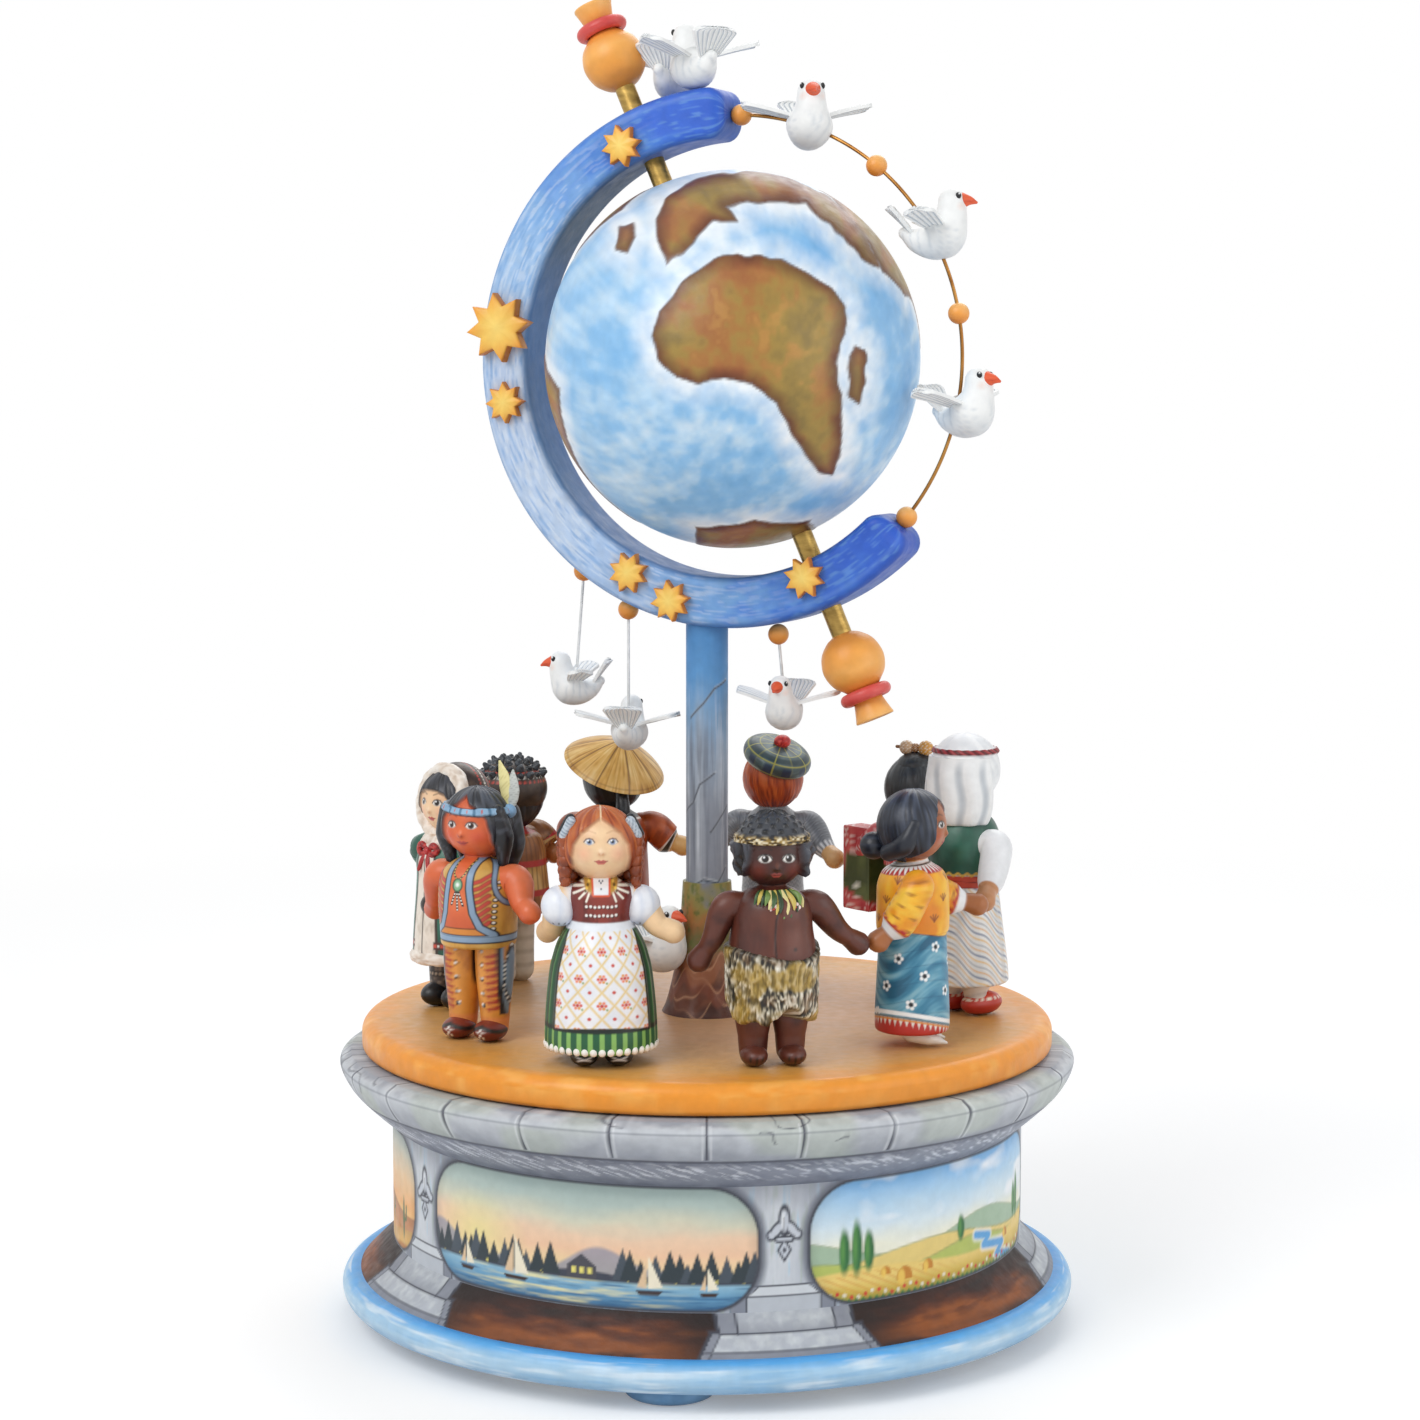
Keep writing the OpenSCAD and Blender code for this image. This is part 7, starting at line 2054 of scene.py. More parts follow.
def boyWithHeadcloth():
    doll = startDoll("headcloth_boy")
    grid, turn, z = turnedBody(headclothBoy["outline"], 240, 190, 0.0)
    u = turn * 10
    soft = np.clip((clouds(u / 4 + 50, z / 16, 221) - 0.5) * 3, 0, 0.7)
    paint = lay(flat("#E9E8E6", grid), "#C9C8C6", soft)
    slope = z + 0.85 * u + 0.7 * np.sin(u * 0.8) + 300
    for shift, colour, width in ((0.0, "#4E6488", 0.2), (1.5, "#E0B45C", 0.18), (3.0, "#9AA0A8", 0.16),
                                 (4.4, "#D9A24E", 0.16)):
        line = np.abs((slope + shift) / 5.9 - np.round((slope + shift) / 5.9)) * 5.9
        paint = daub(paint, colour, line * 0.75 - width, 0.28, 0.85)
    paint = daub(paint, "#D6D4D2", np.abs(np.sin(turn * 2.5)) - 0.12, 0.3, 0.5)
    paint = daub(paint, "#B5402C", np.abs(z - 37.4) - 1.7, 0.3)
    paint = daub(paint, "#6E2018", np.abs(np.sin((z - 37.4) * 2.0 + 0.4 * np.sin(turn * 3))) - 0.2, 0.3,
                 fill(np.abs(z - 37.4) - 1.6, 0.3))
    vest = ramp(clouds(u / 6 + 20, z / 9, 223), [(0.3, "#1C3F35"), (0.6, "#2C5C4C"), (0.8, "#3C705E")])
    paint = daub(paint, vest, 39.2 - z, 0.3)
    paint = daub(paint, "#C9A24A", np.abs(z - 39.5 - 0.3 * np.sin(turn * 24)) - 0.35, 0.25)
    opening = np.abs(turn) * 9.5 - 3.0
    paint = daub(paint, "#ECEBE8", opening, 0.4, z > 39.2)
    paint = daub(paint, "#C9A24A", np.abs(opening - 0.3) - 0.4, 0.3, z > 39.2)
    paint = daub(paint, "#ECEBE8", 55.6 - z, 0.4)
    addSkin(doll, "body", grid, paint)

    def trouser(g, t, s):
        return lay(flat("#DDDBD8", g), "#A9A7A6", np.clip(np.sin(g[..., 2] * 2.4 + g[..., 0]), 0, 1) * 0.5)

    addLegs(doll, 4.4, 14, [5.0, 5.0, 4.6, 3.2], trouser, 6.4)

    def shoe(g, way, s):
        # painted light: the shoe's red is lighter on top
        tone = daub(flat("#A82A20", g), "#D94A34", -way[..., 2] + 0.2, 0.8, 0.7)
        teeth = fill(np.abs(g[..., 2] - 4.9) - 0.35, 0.25) * (np.sin(g[..., 1] * 4) > 0)
        return daub(lay(tone, "#F1E9DA", teeth), "#6E1812", g[..., 2] - 0.9, 0.4)

    addShoes(doll, 4.5, (4.0, 7.0, 3.3), shoe, -2.4)

    def cord(grid, paint, way):
        turn = np.arctan2(way[..., 0], -way[..., 1])
        level = way[..., 2] - 0.5
        mask = fill(np.abs(level) - 0.07, 0.025)
        twist = np.sin(turn * 22 + level * 40)
        tone = ramp(twist, [(-1, "#4A1014"), (0, "#7E2228"), (1, "#A83A3E")])
        return grid + way * (mask * (0.75 + 0.2 * twist))[..., None], lay(paint, tone, mask)

    centre = addHead(doll, headclothBoy["look"], cord)
    veil = [
        (9.3, 3.6), (9.9, -1), (10.2, -6), (9.7, -11.4), (8.4, -14.4), (7.0, -13.6), (8.4, -5),
        (8.6, 3.4),
    ]
    cloth, turn, z = turnedBody([(r, v + 20) for r, v in veil], 200, 90, 0.0)
    fold = np.cos(turn * 9 + 0.5 * np.sin(z * 0.4))
    depth = 1 + 0.035 * fold * fill(z - 21, 6)
    gap = np.clip(np.abs(turn) - 0.55, 0, 1)
    keep = 0.82 + 0.18 * np.clip(gap * 4, 0, 1)
    press = np.where(cloth[..., 1] < 0, keep * 0.5, 1)
    cloth = np.stack([cloth[..., 0] * depth, cloth[..., 1] * depth * press, z - 20], -1)
    # painted shade: blue-grey in the troughs of the headcloth's folds
    paint = lay(flat("#ECEDED", cloth), "#AEB6BE", np.clip(-fold - 0.25, 0, 0.75) * fill(z - 22, 4))
    addSkin(doll, "face", cloth + np.array([0, 0.8, centre[2]]), paint)
    for s in (-1, 1):
        addArm(doll, s, headclothBoy["arm"], sleeve([(0.78, "#E9EAEC"), (1.1, "#BE8458")]), sag=1.4,
               start=0.8)
    endDoll(doll)


girlWithWrap()
boyWithHeadcloth()
print("wrap-skirt girl and headcloth boy made")


# a lumpy roll of fur; lean tips it from flat to upright
def addFurRing(doll, heap, centre, size, thick, tones, lean=0.0):
    a = np.linspace(0, 2 * np.pi, 150, endpoint=False)[:, None]
    b = np.linspace(0, 2 * np.pi, 26, endpoint=False)[None]
    share = a / (2 * np.pi)
    lumps = specks(share * 34, b * 1.6 + 20, 231, 34)
    girth = thick * (0.86 + 0.32 * lumps)
    r = girth * np.cos(b)
    flatRing = np.stack([np.cos(a) * (size[0] + r), np.sin(a) * (size[1] + r), girth * np.sin(b) + 0 * a],
                        -1)
    grid = flatRing @ turnBy(lean, "x").T + np.asarray(centre, float)
    tone = ramp(0.6 * lumps + 0.4 * specks(share * 70, b * 3 + 9, 232, 70), tones)
    addSkin(doll, heap, grid, tone, True)


def addTufts(doll, at, size, rings=4, first=7):  # short dark tufts over the crown of a cap
    for ring in range(rings):
        rise = 1.3 - 0.26 * ring
        count = first + 4 * ring
        for k in range(count):
            a = 2 * math.pi * (k + 0.5 * (ring % 2)) / count
            way = np.array([math.sin(a) * math.cos(rise), -math.cos(a) * math.cos(rise), math.sin(rise)])
            root = np.array(at) + way * size
            tip = root + way * (1.5 + 0.5 * math.sin(3 * k + ring))
            colour = ("#1D2024", "#30343A", "#474C52")[(k + ring) % 3]
            addTube(doll, "face", [root, (root + tip) / 2, tip], [1.3, 1.2, 0.7], colour, 10, 8)


hoodGirl = {
    "fur": [(0.2, "#CDB9A6"), (0.45, "#E6D8C9"), (0.7, "#F4ECE2")],
    "outline": [
        (8.8, 14.4), (11.0, 15.0), (11.6, 17), (11.3, 24), (10.6, 33), (10.3, 39), (10.4, 43),
        (9.0, 46.6), (5.6, 49.0), (3.9, 50.4), (3.5, 52),
    ],
    "red": [(0.2, "#7E1A1C"), (0.6, "#B02A2A"), (0.9, "#CF4A40")],
    "look": {
        "skin": "#F4CFA6", "shade": "#D9A078", "blush": "#F0A488", "iris": "#2C1C16", "lash": "#191110",
        "brow": "#3A2720", "lips": "#C0463F", "lipLight": "#D2605A", "lipLine": "#8A2E2C", "eyes": 0.08,
        "mouth": -0.44, "hair": [(0.0, "#111216"), (0.5, "#1E1F25"), (0.9, "#34363E"), (1.4, "#4C4F58")],
        "strands": 30,
        "outline": [
            (0, 0.44), (0.3, 0.42), (0.52, 0.34), (0.66, 0.16), (0.74, -0.2), (0.72, -0.62), (0.5, -0.97),
        ],
    },
    "arm": [3.8, 4.2, 4.0, 3.9, 4.3, 3.0, 3.0],
}


def girlWithHood():
    doll = startDoll("hooded_girl", size=0.96)
    fur = hoodGirl["fur"]
    grid, turn, z = turnedBody(hoodGirl["outline"], 240, 150)
    u = turn * 10.6
    paint = ramp(clouds(u / 5 + 40, z / 9, 233), [(0.3, "#1E4F41"), (0.55, "#2F6C59"), (0.8, "#3F8069")])
    panel = np.abs(turn) * 10.6 - np.interp(z, [14, 44, 48], [4.6, 3.4, 2.4])
    curls = np.clip((clouds(u / 1.6 + 60, z / 3, 235) - 0.5) * 3, 0, 0.8)
    cream = lay(flat("#EDE3D6", grid), "#CDBFAE", curls)
    paint = daub(paint, "#3A2C24", panel - 0.8, 0.4)
    paint = daub(paint, cream, panel, 0.4)
    paint = daub(paint, "#4A3A30", np.abs(turn) * 10.6 - 0.22, 0.3, z < 44)
    band = np.abs(z - 19.4)
    paint = daub(paint, "#4A2A22", np.maximum(band - 1.1, -panel - 0.5), 0.4)
    paint = daub(paint, "#C8503E", np.maximum(band - 0.5, -panel - 0.5), 0.3, np.sin(turn * 34) > 0)
    paint = daub(paint, "#F2EEE6", np.maximum(band - 0.3, -panel - 0.5), 0.3, np.sin(turn * 34) < -0.6)
    addSkin(doll, "body", grid, paint)
    addFurRing(doll, "body", (0, 0, 15.4), (10.6, 10.6), 1.9, fur)
    addFurRing(doll, "body", (0, -0.6, 47.4), (6.2, 6.0), 2.5, fur, -6)

    def bow(g, t):
        return ramp(specks(g[..., 0] * 2 + 20, g[..., 2] * 2, 237), hoodGirl["red"])

    for s in (-1, 1):
        loop = [
            (s * 0.3, -8.6, 46.2), (s * 2.6, -9.2, 47.8), (s * 4.0, -8.9, 46.4), (s * 2.4, -9.4, 45.2),
            (s * 0.3, -8.9, 45.8),
        ]
        addTube(doll, "body", loop, [0.7, 0.95, 0.8, 0.95, 0.7], bow, 14, 36)
        tail = [(s * 0.4, -9.0, 45.8), (s * 1.2, -10.2, 43.4), (s * 2.0, -10.9, 40.8)]
        addTube(doll, "body", tail, [0.8, 0.9, 0.6], "#A82828", 14, 20, 0.6)
    addBall(doll, "body", (0, -9.3, 46.0), (1.2, 1.1, 1.2), "#B93030", 20, 14)

    def trouser(g, t, s):
        fleck = specks(g[..., 0] * 1.6 + 40, g[..., 2] * 1.1 + 10, 239)
        tone = ramp(fleck, [(0.3, "#3E342E"), (0.55, "#5E5148"), (0.8, "#8A7A6C")])
        tone = daub(tone, "#2A1E1A", np.abs(g[..., 2] - 9.6) - 0.9, 0.4)
        return daub(tone, "#C9B9A4", np.abs(g[..., 2] - 9.6) - 0.35, 0.3, np.sin(g[..., 0] * 5) > 0)

    addLegs(doll, 4.5, 16, [4.4, 4.3, 4.1, 3.8], trouser)

    def boot(g, way, s):
        # painted highlight: grey across the top of each black boot
        return daub(flat("#141417", g), "#4A4C52", 0.55 - way[..., 2] + 0.4 * way[..., 0], 0.5, 0.6)

    addShoes(doll, 4.5, (3.9, 5.8, 3.6), boot, -2.0)
    centre = addHead(doll, hoodGirl["look"])

    def hood(way):
        around = np.arctan2(way[..., 0], way[..., 2])
        back = np.arcsin(np.clip(way[..., 1], -1, 1))
        tone = ramp(clouds(around * 4 + 40, back * 4 + 9, 241),
                    [(0.3, "#241812"), (0.55, "#3B2A20"), (0.8, "#54402F")])
        for row, colour in ((0.1, "#C23A2E"), (0.3, "#F1E9DC"), (0.5, "#C23A2E")):
            dots = np.hypot((around * 9) % 1 - 0.5, (back - row) * 9) - 0.32
            tone = daub(tone, colour, dots, 0.2)
        return tone

    addBall(doll, "face", (0, 2.2, centre[2] + 0.9), (10.2, 9.4, 10.4), hood, 120, 80)
    addFurRing(doll, "face", (0, -3.0, centre[2] - 0.2), (8.7, 9.4), 2.3, fur, 84)
    for s in (-1, 1):
        def coat(along, turn):
            tone = ramp(clouds(along * 8 + 30, turn + 12, 243),
                        [(0.3, "#1F5142"), (0.55, "#2E6A58"), (0.8, "#3D7E68")])
            tone = daub(tone, "#3A2A24", np.abs(along - 0.69) - 0.03, 0.015)
            tone = daub(tone, "#EADFD2", 0.725 - along, 0.015)
            return daub(tone, "#2A2420", 0.83 - along, 0.015)
        addArm(doll, s, hoodGirl["arm"], coat, sag=2.4)
    endDoll(doll)


kimonoGirl = {
    "outline": [
        (8.6, 3.6), (9.6, 4.4), (9.8, 8), (9.9, 16), (10.2, 24), (10.4, 30), (10.0, 34), (10.1, 40),
        (10.2, 44), (9.0, 47.8), (5.8, 50.2), (3.8, 51.6), (3.5, 53),
    ],
    "rose": [(0.3, "#B03038"), (0.55, "#C8474A"), (0.8, "#DA6A64")],
    "olive": [(0.3, "#3F4A22"), (0.55, "#566232"), (0.8, "#6F7A44")],
    "look": {
        "skin": "#F3D5B2", "shade": "#D6A680", "blush": "#EFA592", "iris": "#2A1A14", "lash": "#17100E",
        "brow": "#2A1D18", "lips": "#B8322F", "lipLight": "#CC4A42", "lipLine": "#7E1F1F",
        "hair": [(0.0, "#17181B"), (0.5, "#232528"), (0.85, "#3A3D40"), (1.3, "#505458")],
        "hairThick": 1.4, "grooves": 0.5, "strands": 40,
    },
    "arm": [3.6, 4.0, 4.2, 4.2, 3.6, 2.4, 3.0],
}


def girlWithKimono():
    doll = startDoll("kimono_girl", size=0.945)
    grid, turn, z = turnedBody(kimonoGirl["outline"], 240, 170, 0.0)
    u = turn * 10

    def scribble(p, q, tone):
        vine = np.abs(specks(p / 1.7 + 50, q / 1.7 + 50, 251) - 0.5)
        return daub(tone, "#F3DCD6", vine - 0.035, 0.05, 0.85)

    rose = kimonoGirl["rose"]
    olive = kimonoGirl["olive"]
    paint = scribble(u, z, ramp(clouds(u / 5 + 40, z / 9, 252), rose))
    paint = daub(paint, ramp(clouds(u / 4 + 40, z / 4, 253), olive), np.abs(z - 33.6) - 3.6, 0.4)
    paint = daub(paint, "#E0B24E", np.abs(z - 33.6) - 0.5, 0.3)
    paint = daub(paint, "#F4F0EA", np.abs(np.abs(turn) * 10 - (z - 37.5) * 0.5 - 0.6) - 0.6, 0.3, z > 38)
    paint = daub(paint, "#F2D6B4", 50.8 - z, 0.3)
    addSkin(doll, "body", grid, paint)

    def sash(g):
        return ramp(clouds(g[..., 0] / 3 + 30, g[..., 2] / 3, 254), olive)

    def sandal(g, way, s):
        return daub(flat("#E9E6E0", g), "#8A5A34", g[..., 2] - 1.1, 0.4)

    def topknot(way):
        return ramp(np.sin(way[..., 0] * 30), [(-1, "#1C1D20"), (1, "#2E3134")])

    addSkin(doll, "body", *boxSkin((0, 10.6, 34.2), (4.6, 2.0, 4.4), sash))
    addShoes(doll, 4.0, (2.7, 5.4, 2.2), sandal, -2.0)
    centre = addHead(doll, kimonoGirl["look"])
    addBall(doll, "face", (0, 1.0, centre[2] + 6.6), (6.2, 6.4, 4.4), topknot, 60, 30)
    addTube(doll, "face", [(-6, 1.6, centre[2] + 12.0), (6, 1.6, centre[2] + 12.4)], [0.5, 0.5],
            "#8A5A2C", 10, 6)
    for at, size, tone in ((-3.0, 2.3, "#D79A45"), (0.3, 1.4, "#A8713A"), (3.0, 2.2, "#C9A27C")):
        def bead(way, tone=tone):
            dots = np.sin(way[..., 0] * 11 + at) * np.sin(way[..., 2] * 12)
            return daub(flat(tone, way), "#F3EBDD", 0.55 - dots, 0.2, 0.9)
        addBall(doll, "face", (at, 1.6, centre[2] + 12.2), (size, size, size), bead, 30, 20)
    for s in (-1, 1):
        def cloth(along, turn):
            tone = scribble(turn * 4, along * 26, ramp(clouds(along * 8 + 30, turn + 12, 255), rose))
            return daub(tone, "#D9A566", 0.8 - along, 0.015)
        line = addArm(doll, s, kimonoGirl["arm"], cloth, sag=0.6)
        at = line[int(0.66 * len(line))]
        ahead = line[-1] - line[len(line) // 2]
        heading = math.degrees(math.atan2(ahead[1], ahead[0]))

        def pouch(g):
            tone = scribble(g[..., 0] + g[..., 1], g[..., 2],
                            ramp(clouds(g[..., 0] / 3 + 30, g[..., 2] / 4 + 20, 256), rose))
            mid = np.abs(g[..., 2] + 1.4) - 6.2
            green = ramp(clouds(g[..., 0] / 3 + 60, g[..., 2] / 3 + 60, 257), olive)
            for start in ((-3.0, -2.0), (1.2, 1.6), (0.6, -5.6)):
                for lean in (-0.9, 0.1, 1.0):
                    tip = (start[0] + 2.4 * math.sin(lean), start[1] + 2.4 * math.cos(lean))
                    green = daub(green, "#EEF0E2", stroke(g[..., 0], g[..., 2], [start, tip], 0.35), 0.25)
            return daub(tone, green, mid + 0.3 * g[..., 0], 0.4)

        box, tone = boxSkin((0, 0, 0), (5.6, 3.4, 12.0), pouch)
        put = box @ turnBy(heading, "z").T + at + np.array([0, 0, -4.6])
        addGrid(doll["arms"], put, tone)
    endDoll(doll)


tamBoy = {
    "outline": [
        (8.0, 22.4), (9.4, 22.9), (9.7, 24.4), (9.5, 27), (9.4, 34), (9.3, 40), (9.5, 43.6), (8.4, 47.2),
        (5.4, 49.6), (4.3, 50.6), (3.6, 52),
    ],
    "grey": [(0.3, "#686C71"), (0.55, "#7C8086"), (0.8, "#94989D")],
    "look": {
        "skin": "#F1C9A0", "shade": "#D2976C", "blush": "#EF9E80", "iris": "#5F7F9A", "lash": "#4A3026",
        "brow": "#A8552A", "lips": "#C25A50", "lipLight": "#D27268", "lipLine": "#8E3A36",
        "browShare": 0.6,
        "hair": [(0.0, "#6E240C"), (0.4, "#A8431A"), (0.7, "#C05A26"), (1.2, "#CC6E38")], "strands": 44,
        "grooves": 0.8, "hairThick": 0.8,
    },
    "arm": [3.9, 4.4, 4.2, 3.8, 3.2, 2.5, 3.0],
}


def boyWithTam():
    doll = startDoll("tam_boy", size=0.945)
    grid, turn, z = turnedBody(tamBoy["outline"], 260, 160, 0.0)
    u = turn * 9.6

    def knit(p, q, tone):
        rows = np.sin(p * 4.2) * np.sin(q * 4.2 + 1.5 * np.sin(p * 2.1))
        return lay(lay(tone, "#5A5E63", np.clip(rows, 0, 1) * 0.7), "#A9ADB2", np.clip(-rows, 0, 1) * 0.35)

    grey = tamBoy["grey"]
    paint = knit(u, z, ramp(clouds(u / 5 + 40, z / 8, 261), grey))
    rib = daub(flat("#74787D", grid), "#C4C8CC", np.abs(np.sin(turn * 30)) - 0.35, 0.3)
    paint = daub(paint, rib, z - 25.4, 0.3)
    paint = daub(paint, rib, 49.0 - z, 0.3)
    addSkin(doll, "body", grid, paint)

    def trouser(g, t, s):
        way = np.arctan2(g[..., 0] - s * 4.5, -g[..., 1])
        tone = daub(flat("#C3CEDA", g), "#8196AC", np.abs(np.sin(way * 5)) - 0.3, 0.3)
        return daub(tone, "#EDF0F3", np.abs(np.cos(way * 5)) - 0.2, 0.3)

    addLegs(doll, 4.5, 24, [4.6, 4.5, 4.3, 4.2, 4.2], trouser)

    def shoe(g, way, s):
        # painted highlight: a lighter brown on the top of each shoe
        return daub(flat("#2A201C", g), "#5A463A", 0.4 - way[..., 2], 0.5, 0.6)

    addShoes(doll, 4.5, (3.4, 5.6, 2.8), shoe, -2.2)
    centre = addHead(doll, tamBoy["look"])
    profile = smoothLine([(7.6, 0.2), (9.4, 0.6), (10.7, 2.4), (10.4, 4.8), (8.0, 6.6), (4.0, 7.3),
                          (0.6, 7.5)], 60)
    hat, angle = latheGrid(profile, 160)
    way, far = angle[:, None] + 0 * hat[..., 2], np.hypot(hat[..., 0], hat[..., 1])
    along = np.where(hat[..., 2] < 4.8, hat[..., 2], 4.8 + 10.4 - far)
    wool = ramp(clouds(hat[..., 0] / 3 + 40, hat[..., 1] / 3 + hat[..., 2], 263),
                [(0.3, "#3A4A4C"), (0.55, "#4C5E5F"), (0.8, "#627576")])
    check = np.sin(way * 11)
    wool = lay(wool, "#1E2F4C", fill(0.1 - check, 0.3) * fill(np.abs(along - 3.2) - 1.5, 0.4) * 0.85)
    wool = daub(wool, "#22343A", np.abs(along - 6.4) - 0.8, 0.4, 0.7)
    for level in (1.4, 5.2, 8.6):
        wool = daub(wool, "#B9B24E", np.abs(along - level) - 0.13, 0.2, 0.9)
    wool = daub(wool, "#B9B24E", np.abs(np.cos(way * 5.5)) * far / 5.5 - 0.12, 0.2, 0.85)
    tilt = turnBy(-18, "x") @ turnBy(-20, "y")
    addSkin(doll, "face", hat @ tilt.T + np.array([-0.6, 1.6, centre[2] + 4.2]), wool)
    top = np.array([-0.6, 1.6, centre[2] + 4.2]) + tilt @ np.array([0, 0, 8.6])

    def pompom(w):
        return ramp(specks(w[..., 0] * 6 + 20, w[..., 2] * 6 + w[..., 1] * 5 + 20, 265),
                    [(0.2, "#A81C1C"), (0.6, "#DC3A32"), (0.9, "#EE5A4C")])

    addBall(doll, "face", top, (2.6, 2.6, 2.1), pompom, 40, 26)
    for s in (-1, 1):
        def jumper(along, turn):
            tone = knit(turn * 4, along * 26, ramp(clouds(along * 8 + 30, turn + 12, 267), grey))
            cuff = daub(flat("#6C7075", tone), "#E6E8EA", np.abs(np.sin(turn * 6)) - 0.35, 0.3)
            tone = daub(tone, cuff, 0.7 - along, 0.015)
            return daub(tone, "#DDB078", 0.83 - along, 0.015)
        addArm(doll, s, tamBoy["arm"], jumper, sag=0.8)
    endDoll(doll)


strawHatBoy = {
    "outline": [
        (8.4, 20.4), (9.9, 20.9), (10.3, 22.6), (10.1, 30), (9.8, 36), (10.0, 40.4), (8.8, 44.2),
        (5.6, 46.4), (4.2, 47.6), (3.6, 49),
    ],
    "rust": [(0.3, "#8E3A14"), (0.55, "#AE4E1E"), (0.8, "#C4642C")],
    "look": {
        "skin": "#EDC48E", "shade": "#CC955E", "blush": "#E79C74", "iris": "#2A1A14", "lash": "#17100E",
        "brow": "#2A1D18", "lips": "#B85A4A", "lipLight": "#C66E5C", "lipLine": "#843A32",
        "hair": [(0.0, "#101113"), (0.5, "#1A1B1E"), (0.9, "#2C2E32"), (1.3, "#44474C")], "strands": 30,
        "grooves": 0.4, "hairThick": 0.5,
    },
    "arm": [3.9, 4.4, 4.6, 4.6, 4.5, 2.6, 3.0],
}


def boyWithStrawHat():
    doll = startDoll("straw_hat_boy")
    grid, turn, z = turnedBody(strawHatBoy["outline"], 220, 140, 0.0)
    u = turn * 10
    rust = strawHatBoy["rust"]
    paint = ramp(clouds(u / 5 + 40, z / 10, 271), rust)
    paint = lay(paint, "#7A2E10", np.clip(np.sin(turn * 7 + z * 0.1) - 0.55, 0, 0.6) * fill(z - 36, 8))
    paint = daub(paint, "#1B1716", 45.2 - z, 0.3)
    paint = daub(paint, "#EFEAE2", np.abs(z - 44.9) - 0.2, 0.2)
    paint = daub(paint, "#1B1716", np.abs(z - 21.6) - 1.2, 0.3)
    paint = daub(paint, "#EFEAE2", np.abs(z - 23.2) - 0.2, 0.2)
    paint = daub(paint, "#1B1716", np.abs(turn) * 10 - 0.7, 0.3)
    addSkin(doll, "body", grid, paint)

    def trouser(g, t, s):
        worn = np.clip((clouds(g[..., 0] / 2 + 40, g[..., 2] / 5, 273) - 0.45) * 3, 0, 0.7)
        return lay(flat("#2C3A4E", g), "#46587A", worn)

    addLegs(doll, 4.5, 22, [4.7, 4.7, 4.6, 4.6], trouser)

    def shoe(g, way, s):
        return daub(flat("#1A1718", g), "#E9E5DE", g[..., 2] - 0.8, 0.3)

    addShoes(doll, 4.5, (3.2, 5.4, 2.4), shoe, -2.2)
    centre = addHead(doll, strawHatBoy["look"])

    def plait(g, t):
        return lay(flat("#131417", g), "#3C4046", np.clip(np.sin(t * 40 + g[..., 0] * 2), 0, 1) * 0.5)

    addTube(doll, "face", [(-1.6, 8.4, centre[2] - 1), (-2.0, 10.6, centre[2] - 7),
                           (-2.6, 11.0, centre[2] - 16)], [1.7, 2.1, 1.0], plait, 20, 44)
    profile = smoothLine([(13.2, 0.5), (14.7, 0.2), (14.9, 0.6), (12.4, 2.9), (8.4, 5.6), (4.0, 8.0),
                          (1.2, 8.9), (0.5, 9.0)], 70)
    profile = np.concatenate([[[0.6, 4.0], [6.0, 2.6]], profile])
    hat, angle = latheGrid(profile, 200)
    way, far = angle[:, None] + 0 * hat[..., 2], np.hypot(hat[..., 0], hat[..., 1])
    fibre = specks(way * 34 + 300, far / 5 + 9, 275)
    straw = ramp(0.6 * fibre + 0.4 * clouds(way * 6 + 60, far / 3, 276),
                 [(0.2, "#A87530"), (0.45, "#CF9E4E"), (0.65, "#DDB36A"), (0.85, "#E9C98A")])
    spoke = np.abs(np.sin(way * 4.5 + 0.4)) * far / 4.5
    straw = daub(straw, "#5E3714", spoke - 0.22, 0.3, 0.85)
    straw = daub(straw, "#7A4A1C", np.abs(far - 14.3) - 0.12, 0.2, 0.5)
    tilt = turnBy(-24, "x") @ turnBy(-14, "y")
    addSkin(doll, "face", hat @ tilt.T + np.array([0, 0.8, centre[2] + 3.4]), straw)
    for s in (-1, 1):
        def tunic(along, turn):
            tone = ramp(clouds(along * 8 + 30, turn + 12, 277), rust)
            tone = lay(tone, "#7A2E10", np.clip(np.sin(turn * 2 + along * 16) - 0.4, 0, 0.6) * 0.7)
            tone = daub(tone, "#EFEAE2", np.abs(along - 0.655) - 0.012, 0.01)
            tone = daub(tone, "#191618", 0.665 - along, 0.01)
            tone = daub(tone, "#EFEAE2", np.abs(along - 0.775) - 0.01, 0.01)
            return daub(tone, "#D9A968", 0.785 - along, 0.01)
        addArm(doll, s, strawHatBoy["arm"], tunic, sag=1.0, count=60)
    endDoll(doll)


ponchoBoy = {
    "outline": [
        (8.0, 20.4), (11.2, 21.0), (11.6, 22.4), (11.0, 28), (10.4, 34), (10.0, 39), (8.6, 42.6),
        (5.4, 44.4), (4.0, 45.6), (3.5, 47),
    ],
    "look": {
        "skin": "#B4713F", "shade": "#8A4E28", "blush": "#BE6440", "iris": "#2A1A12", "lash": "#160E0B",
        "brow": "#24160F", "lips": "#A04A3E", "lipLight": "#B25A4C", "lipLine": "#6E2C26",
        "light": "#CC9060",
        "hair": [(0.0, "#121317"), (0.5, "#1D1F24"), (0.9, "#30333A"), (1.3, "#484C54")], "strands": 30,
    },
    "brown": [(0.3, "#7E4A1E"), (0.6, "#9C6230"), (0.85, "#B57C44")],
    "tan": [(0.3, "#A87838"), (0.6, "#C49550"), (0.85, "#D8B070")],
    "arm": [4.2, 5.4, 5.9, 6.2, 6.4, 6.2, 2.6, 3.0],
}


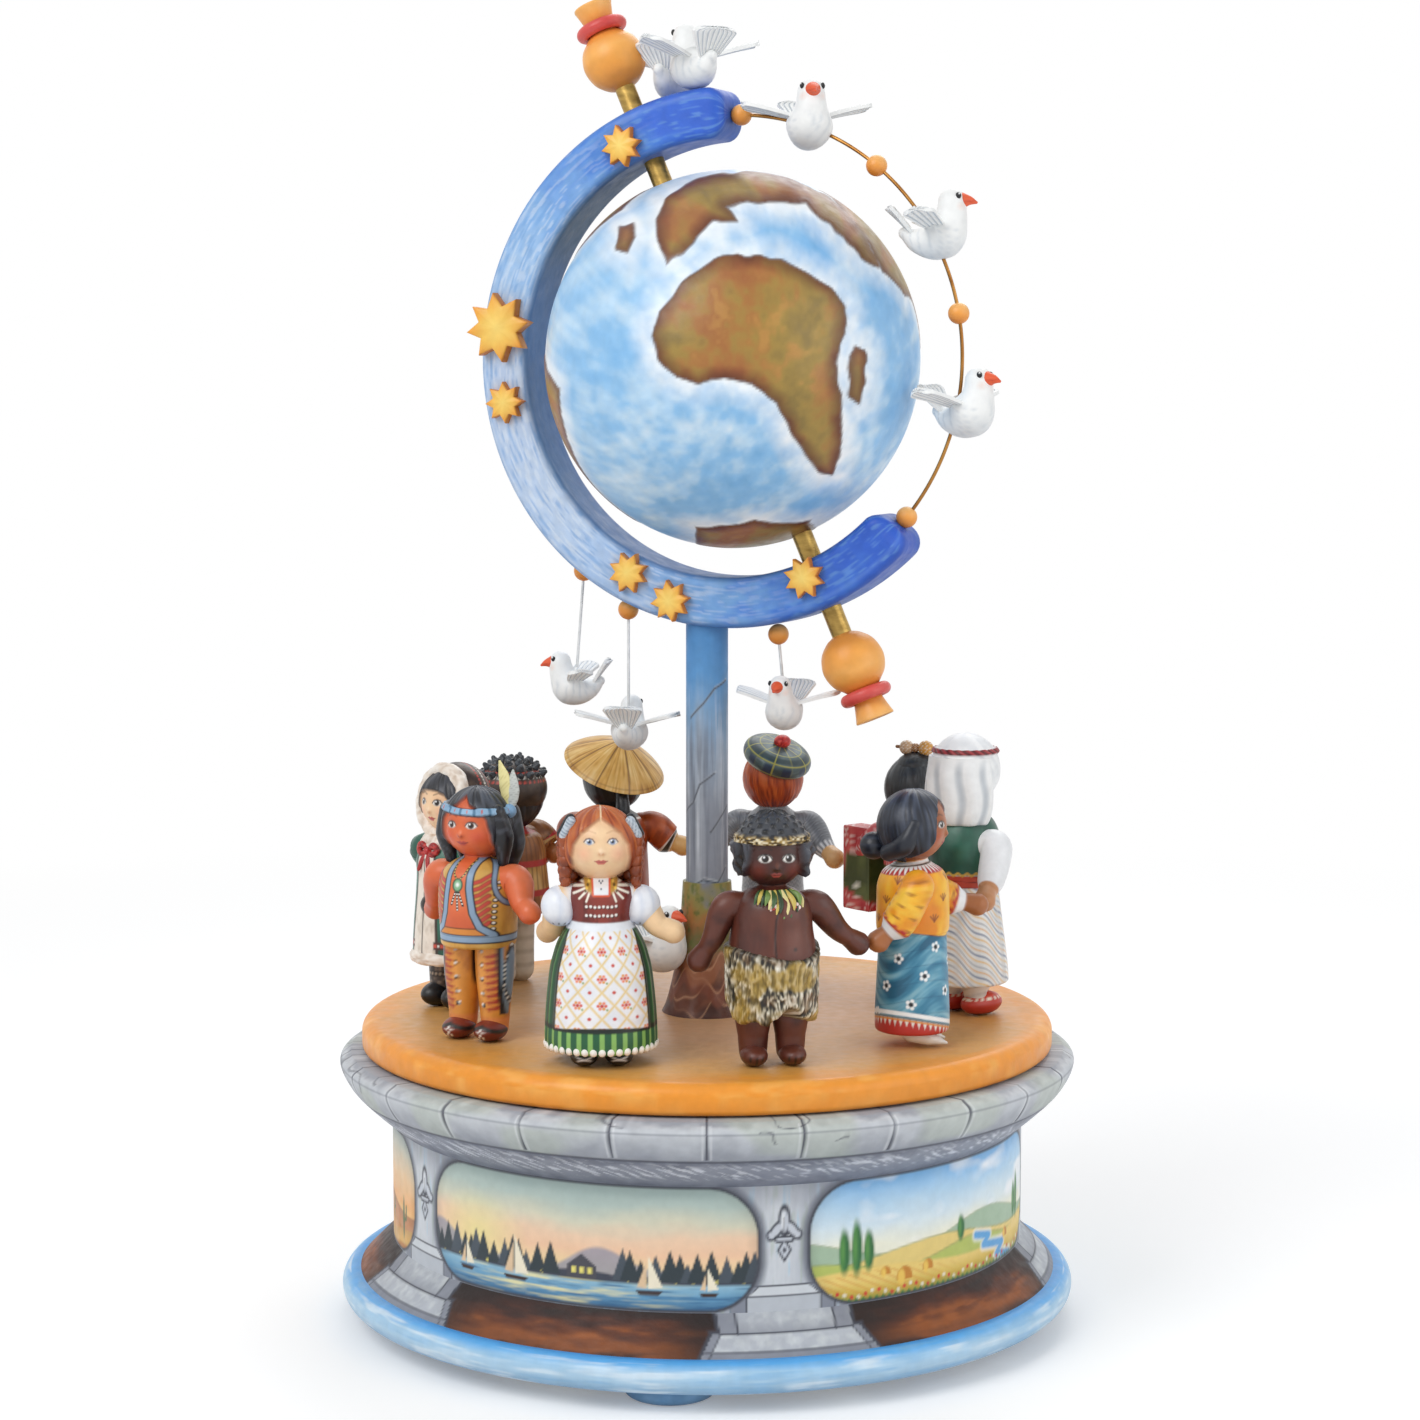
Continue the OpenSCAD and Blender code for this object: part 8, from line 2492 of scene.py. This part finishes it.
def boyWithPoncho():
    doll = startDoll("poncho_boy")
    grid, turn, z = turnedBody(ponchoBoy["outline"], 240, 130, 0.0)

    def ribs(p, q, tones):
        return lay(ramp(clouds(p * 2 + 40, q / 6 + 9, 281), tones), "#5E3716",
                   np.clip(np.sin(p * 24) - 0.2, 0, 0.8) * 0.8)

    brown, tan = ponchoBoy["brown"], ponchoBoy["tan"]
    paint = ribs(turn * 1.6, z, brown)
    paint = daub(paint, ribs(turn * 1.6, z, tan), np.abs(z - 31) - 3.4, 0.3)
    for level in (27.0, 35.4):
        paint = daub(paint, "#B02F28", np.abs(z - level) - 0.9, 0.3)
    paint = daub(paint, "#B02F28", 43.6 - z, 0.3)
    addSkin(doll, "body", grid, paint)

    def trouser(g, t, s):
        return lay(flat("#D8D2C4", g), "#A89F8E", np.clip(np.sin(g[..., 2] * 1.6), 0, 1) * 0.5)

    addLegs(doll, 4.5, 22, [4.2, 4.2, 4.0, 4.0], trouser)

    def shoe(g, way, s):
        # painted highlight: a lighter brown on the top of each shoe
        return daub(flat("#5A3018", g), "#8A5430", 0.3 - way[..., 2], 0.5, 0.6)

    addShoes(doll, 4.5, (3.2, 5.4, 2.5), shoe, -2.2)
    centre = addHead(doll, ponchoBoy["look"])

    def cap(way):
        around = np.arctan2(way[..., 0], -way[..., 1])
        tone = ramp(clouds(around * 4 + 40, way[..., 2] * 5 + 20, 283),
                    [(0.3, "#2A1F19"), (0.6, "#3E3027"), (0.85, "#554538")])
        for row, colour in ((0.3, "#C9473A"), (0.45, "#F0EADF"), (0.6, "#C9473A")):
            tone = daub(tone, colour, np.hypot((around * 6) % 1 - 0.5, (way[..., 2] - row) * 9) - 0.3, 0.2)
        return tone

    addBall(doll, "face", (0, 0.8, centre[2] + 2.0), (10.0, 10.0, 8.6), cap, 110, 60)
    addTufts(doll, (0, 0.8, centre[2] + 2.0), (9.2, 9.2, 8.0))
    for s in (-1, 1):
        def poncho(along, turn):
            tone = ribs(turn, along * 20, brown)
            tone = daub(tone, ribs(turn, along * 20, tan), 0.52 - along, 0.01, fill(along - 0.74, 0.01))
            tone = daub(tone, "#B83230", np.abs(along - 0.47) - 0.05, 0.01)
            return daub(tone, "#B06C3C", 0.74 - along, 0.01)
        addArm(doll, s, ponchoBoy["arm"], poncho, sag=1.4, count=70)
    endDoll(doll)


girlWithHood()
girlWithKimono()
boyWithTam()
boyWithStrawHat()
boyWithPoncho()
print("the other five dolls made")
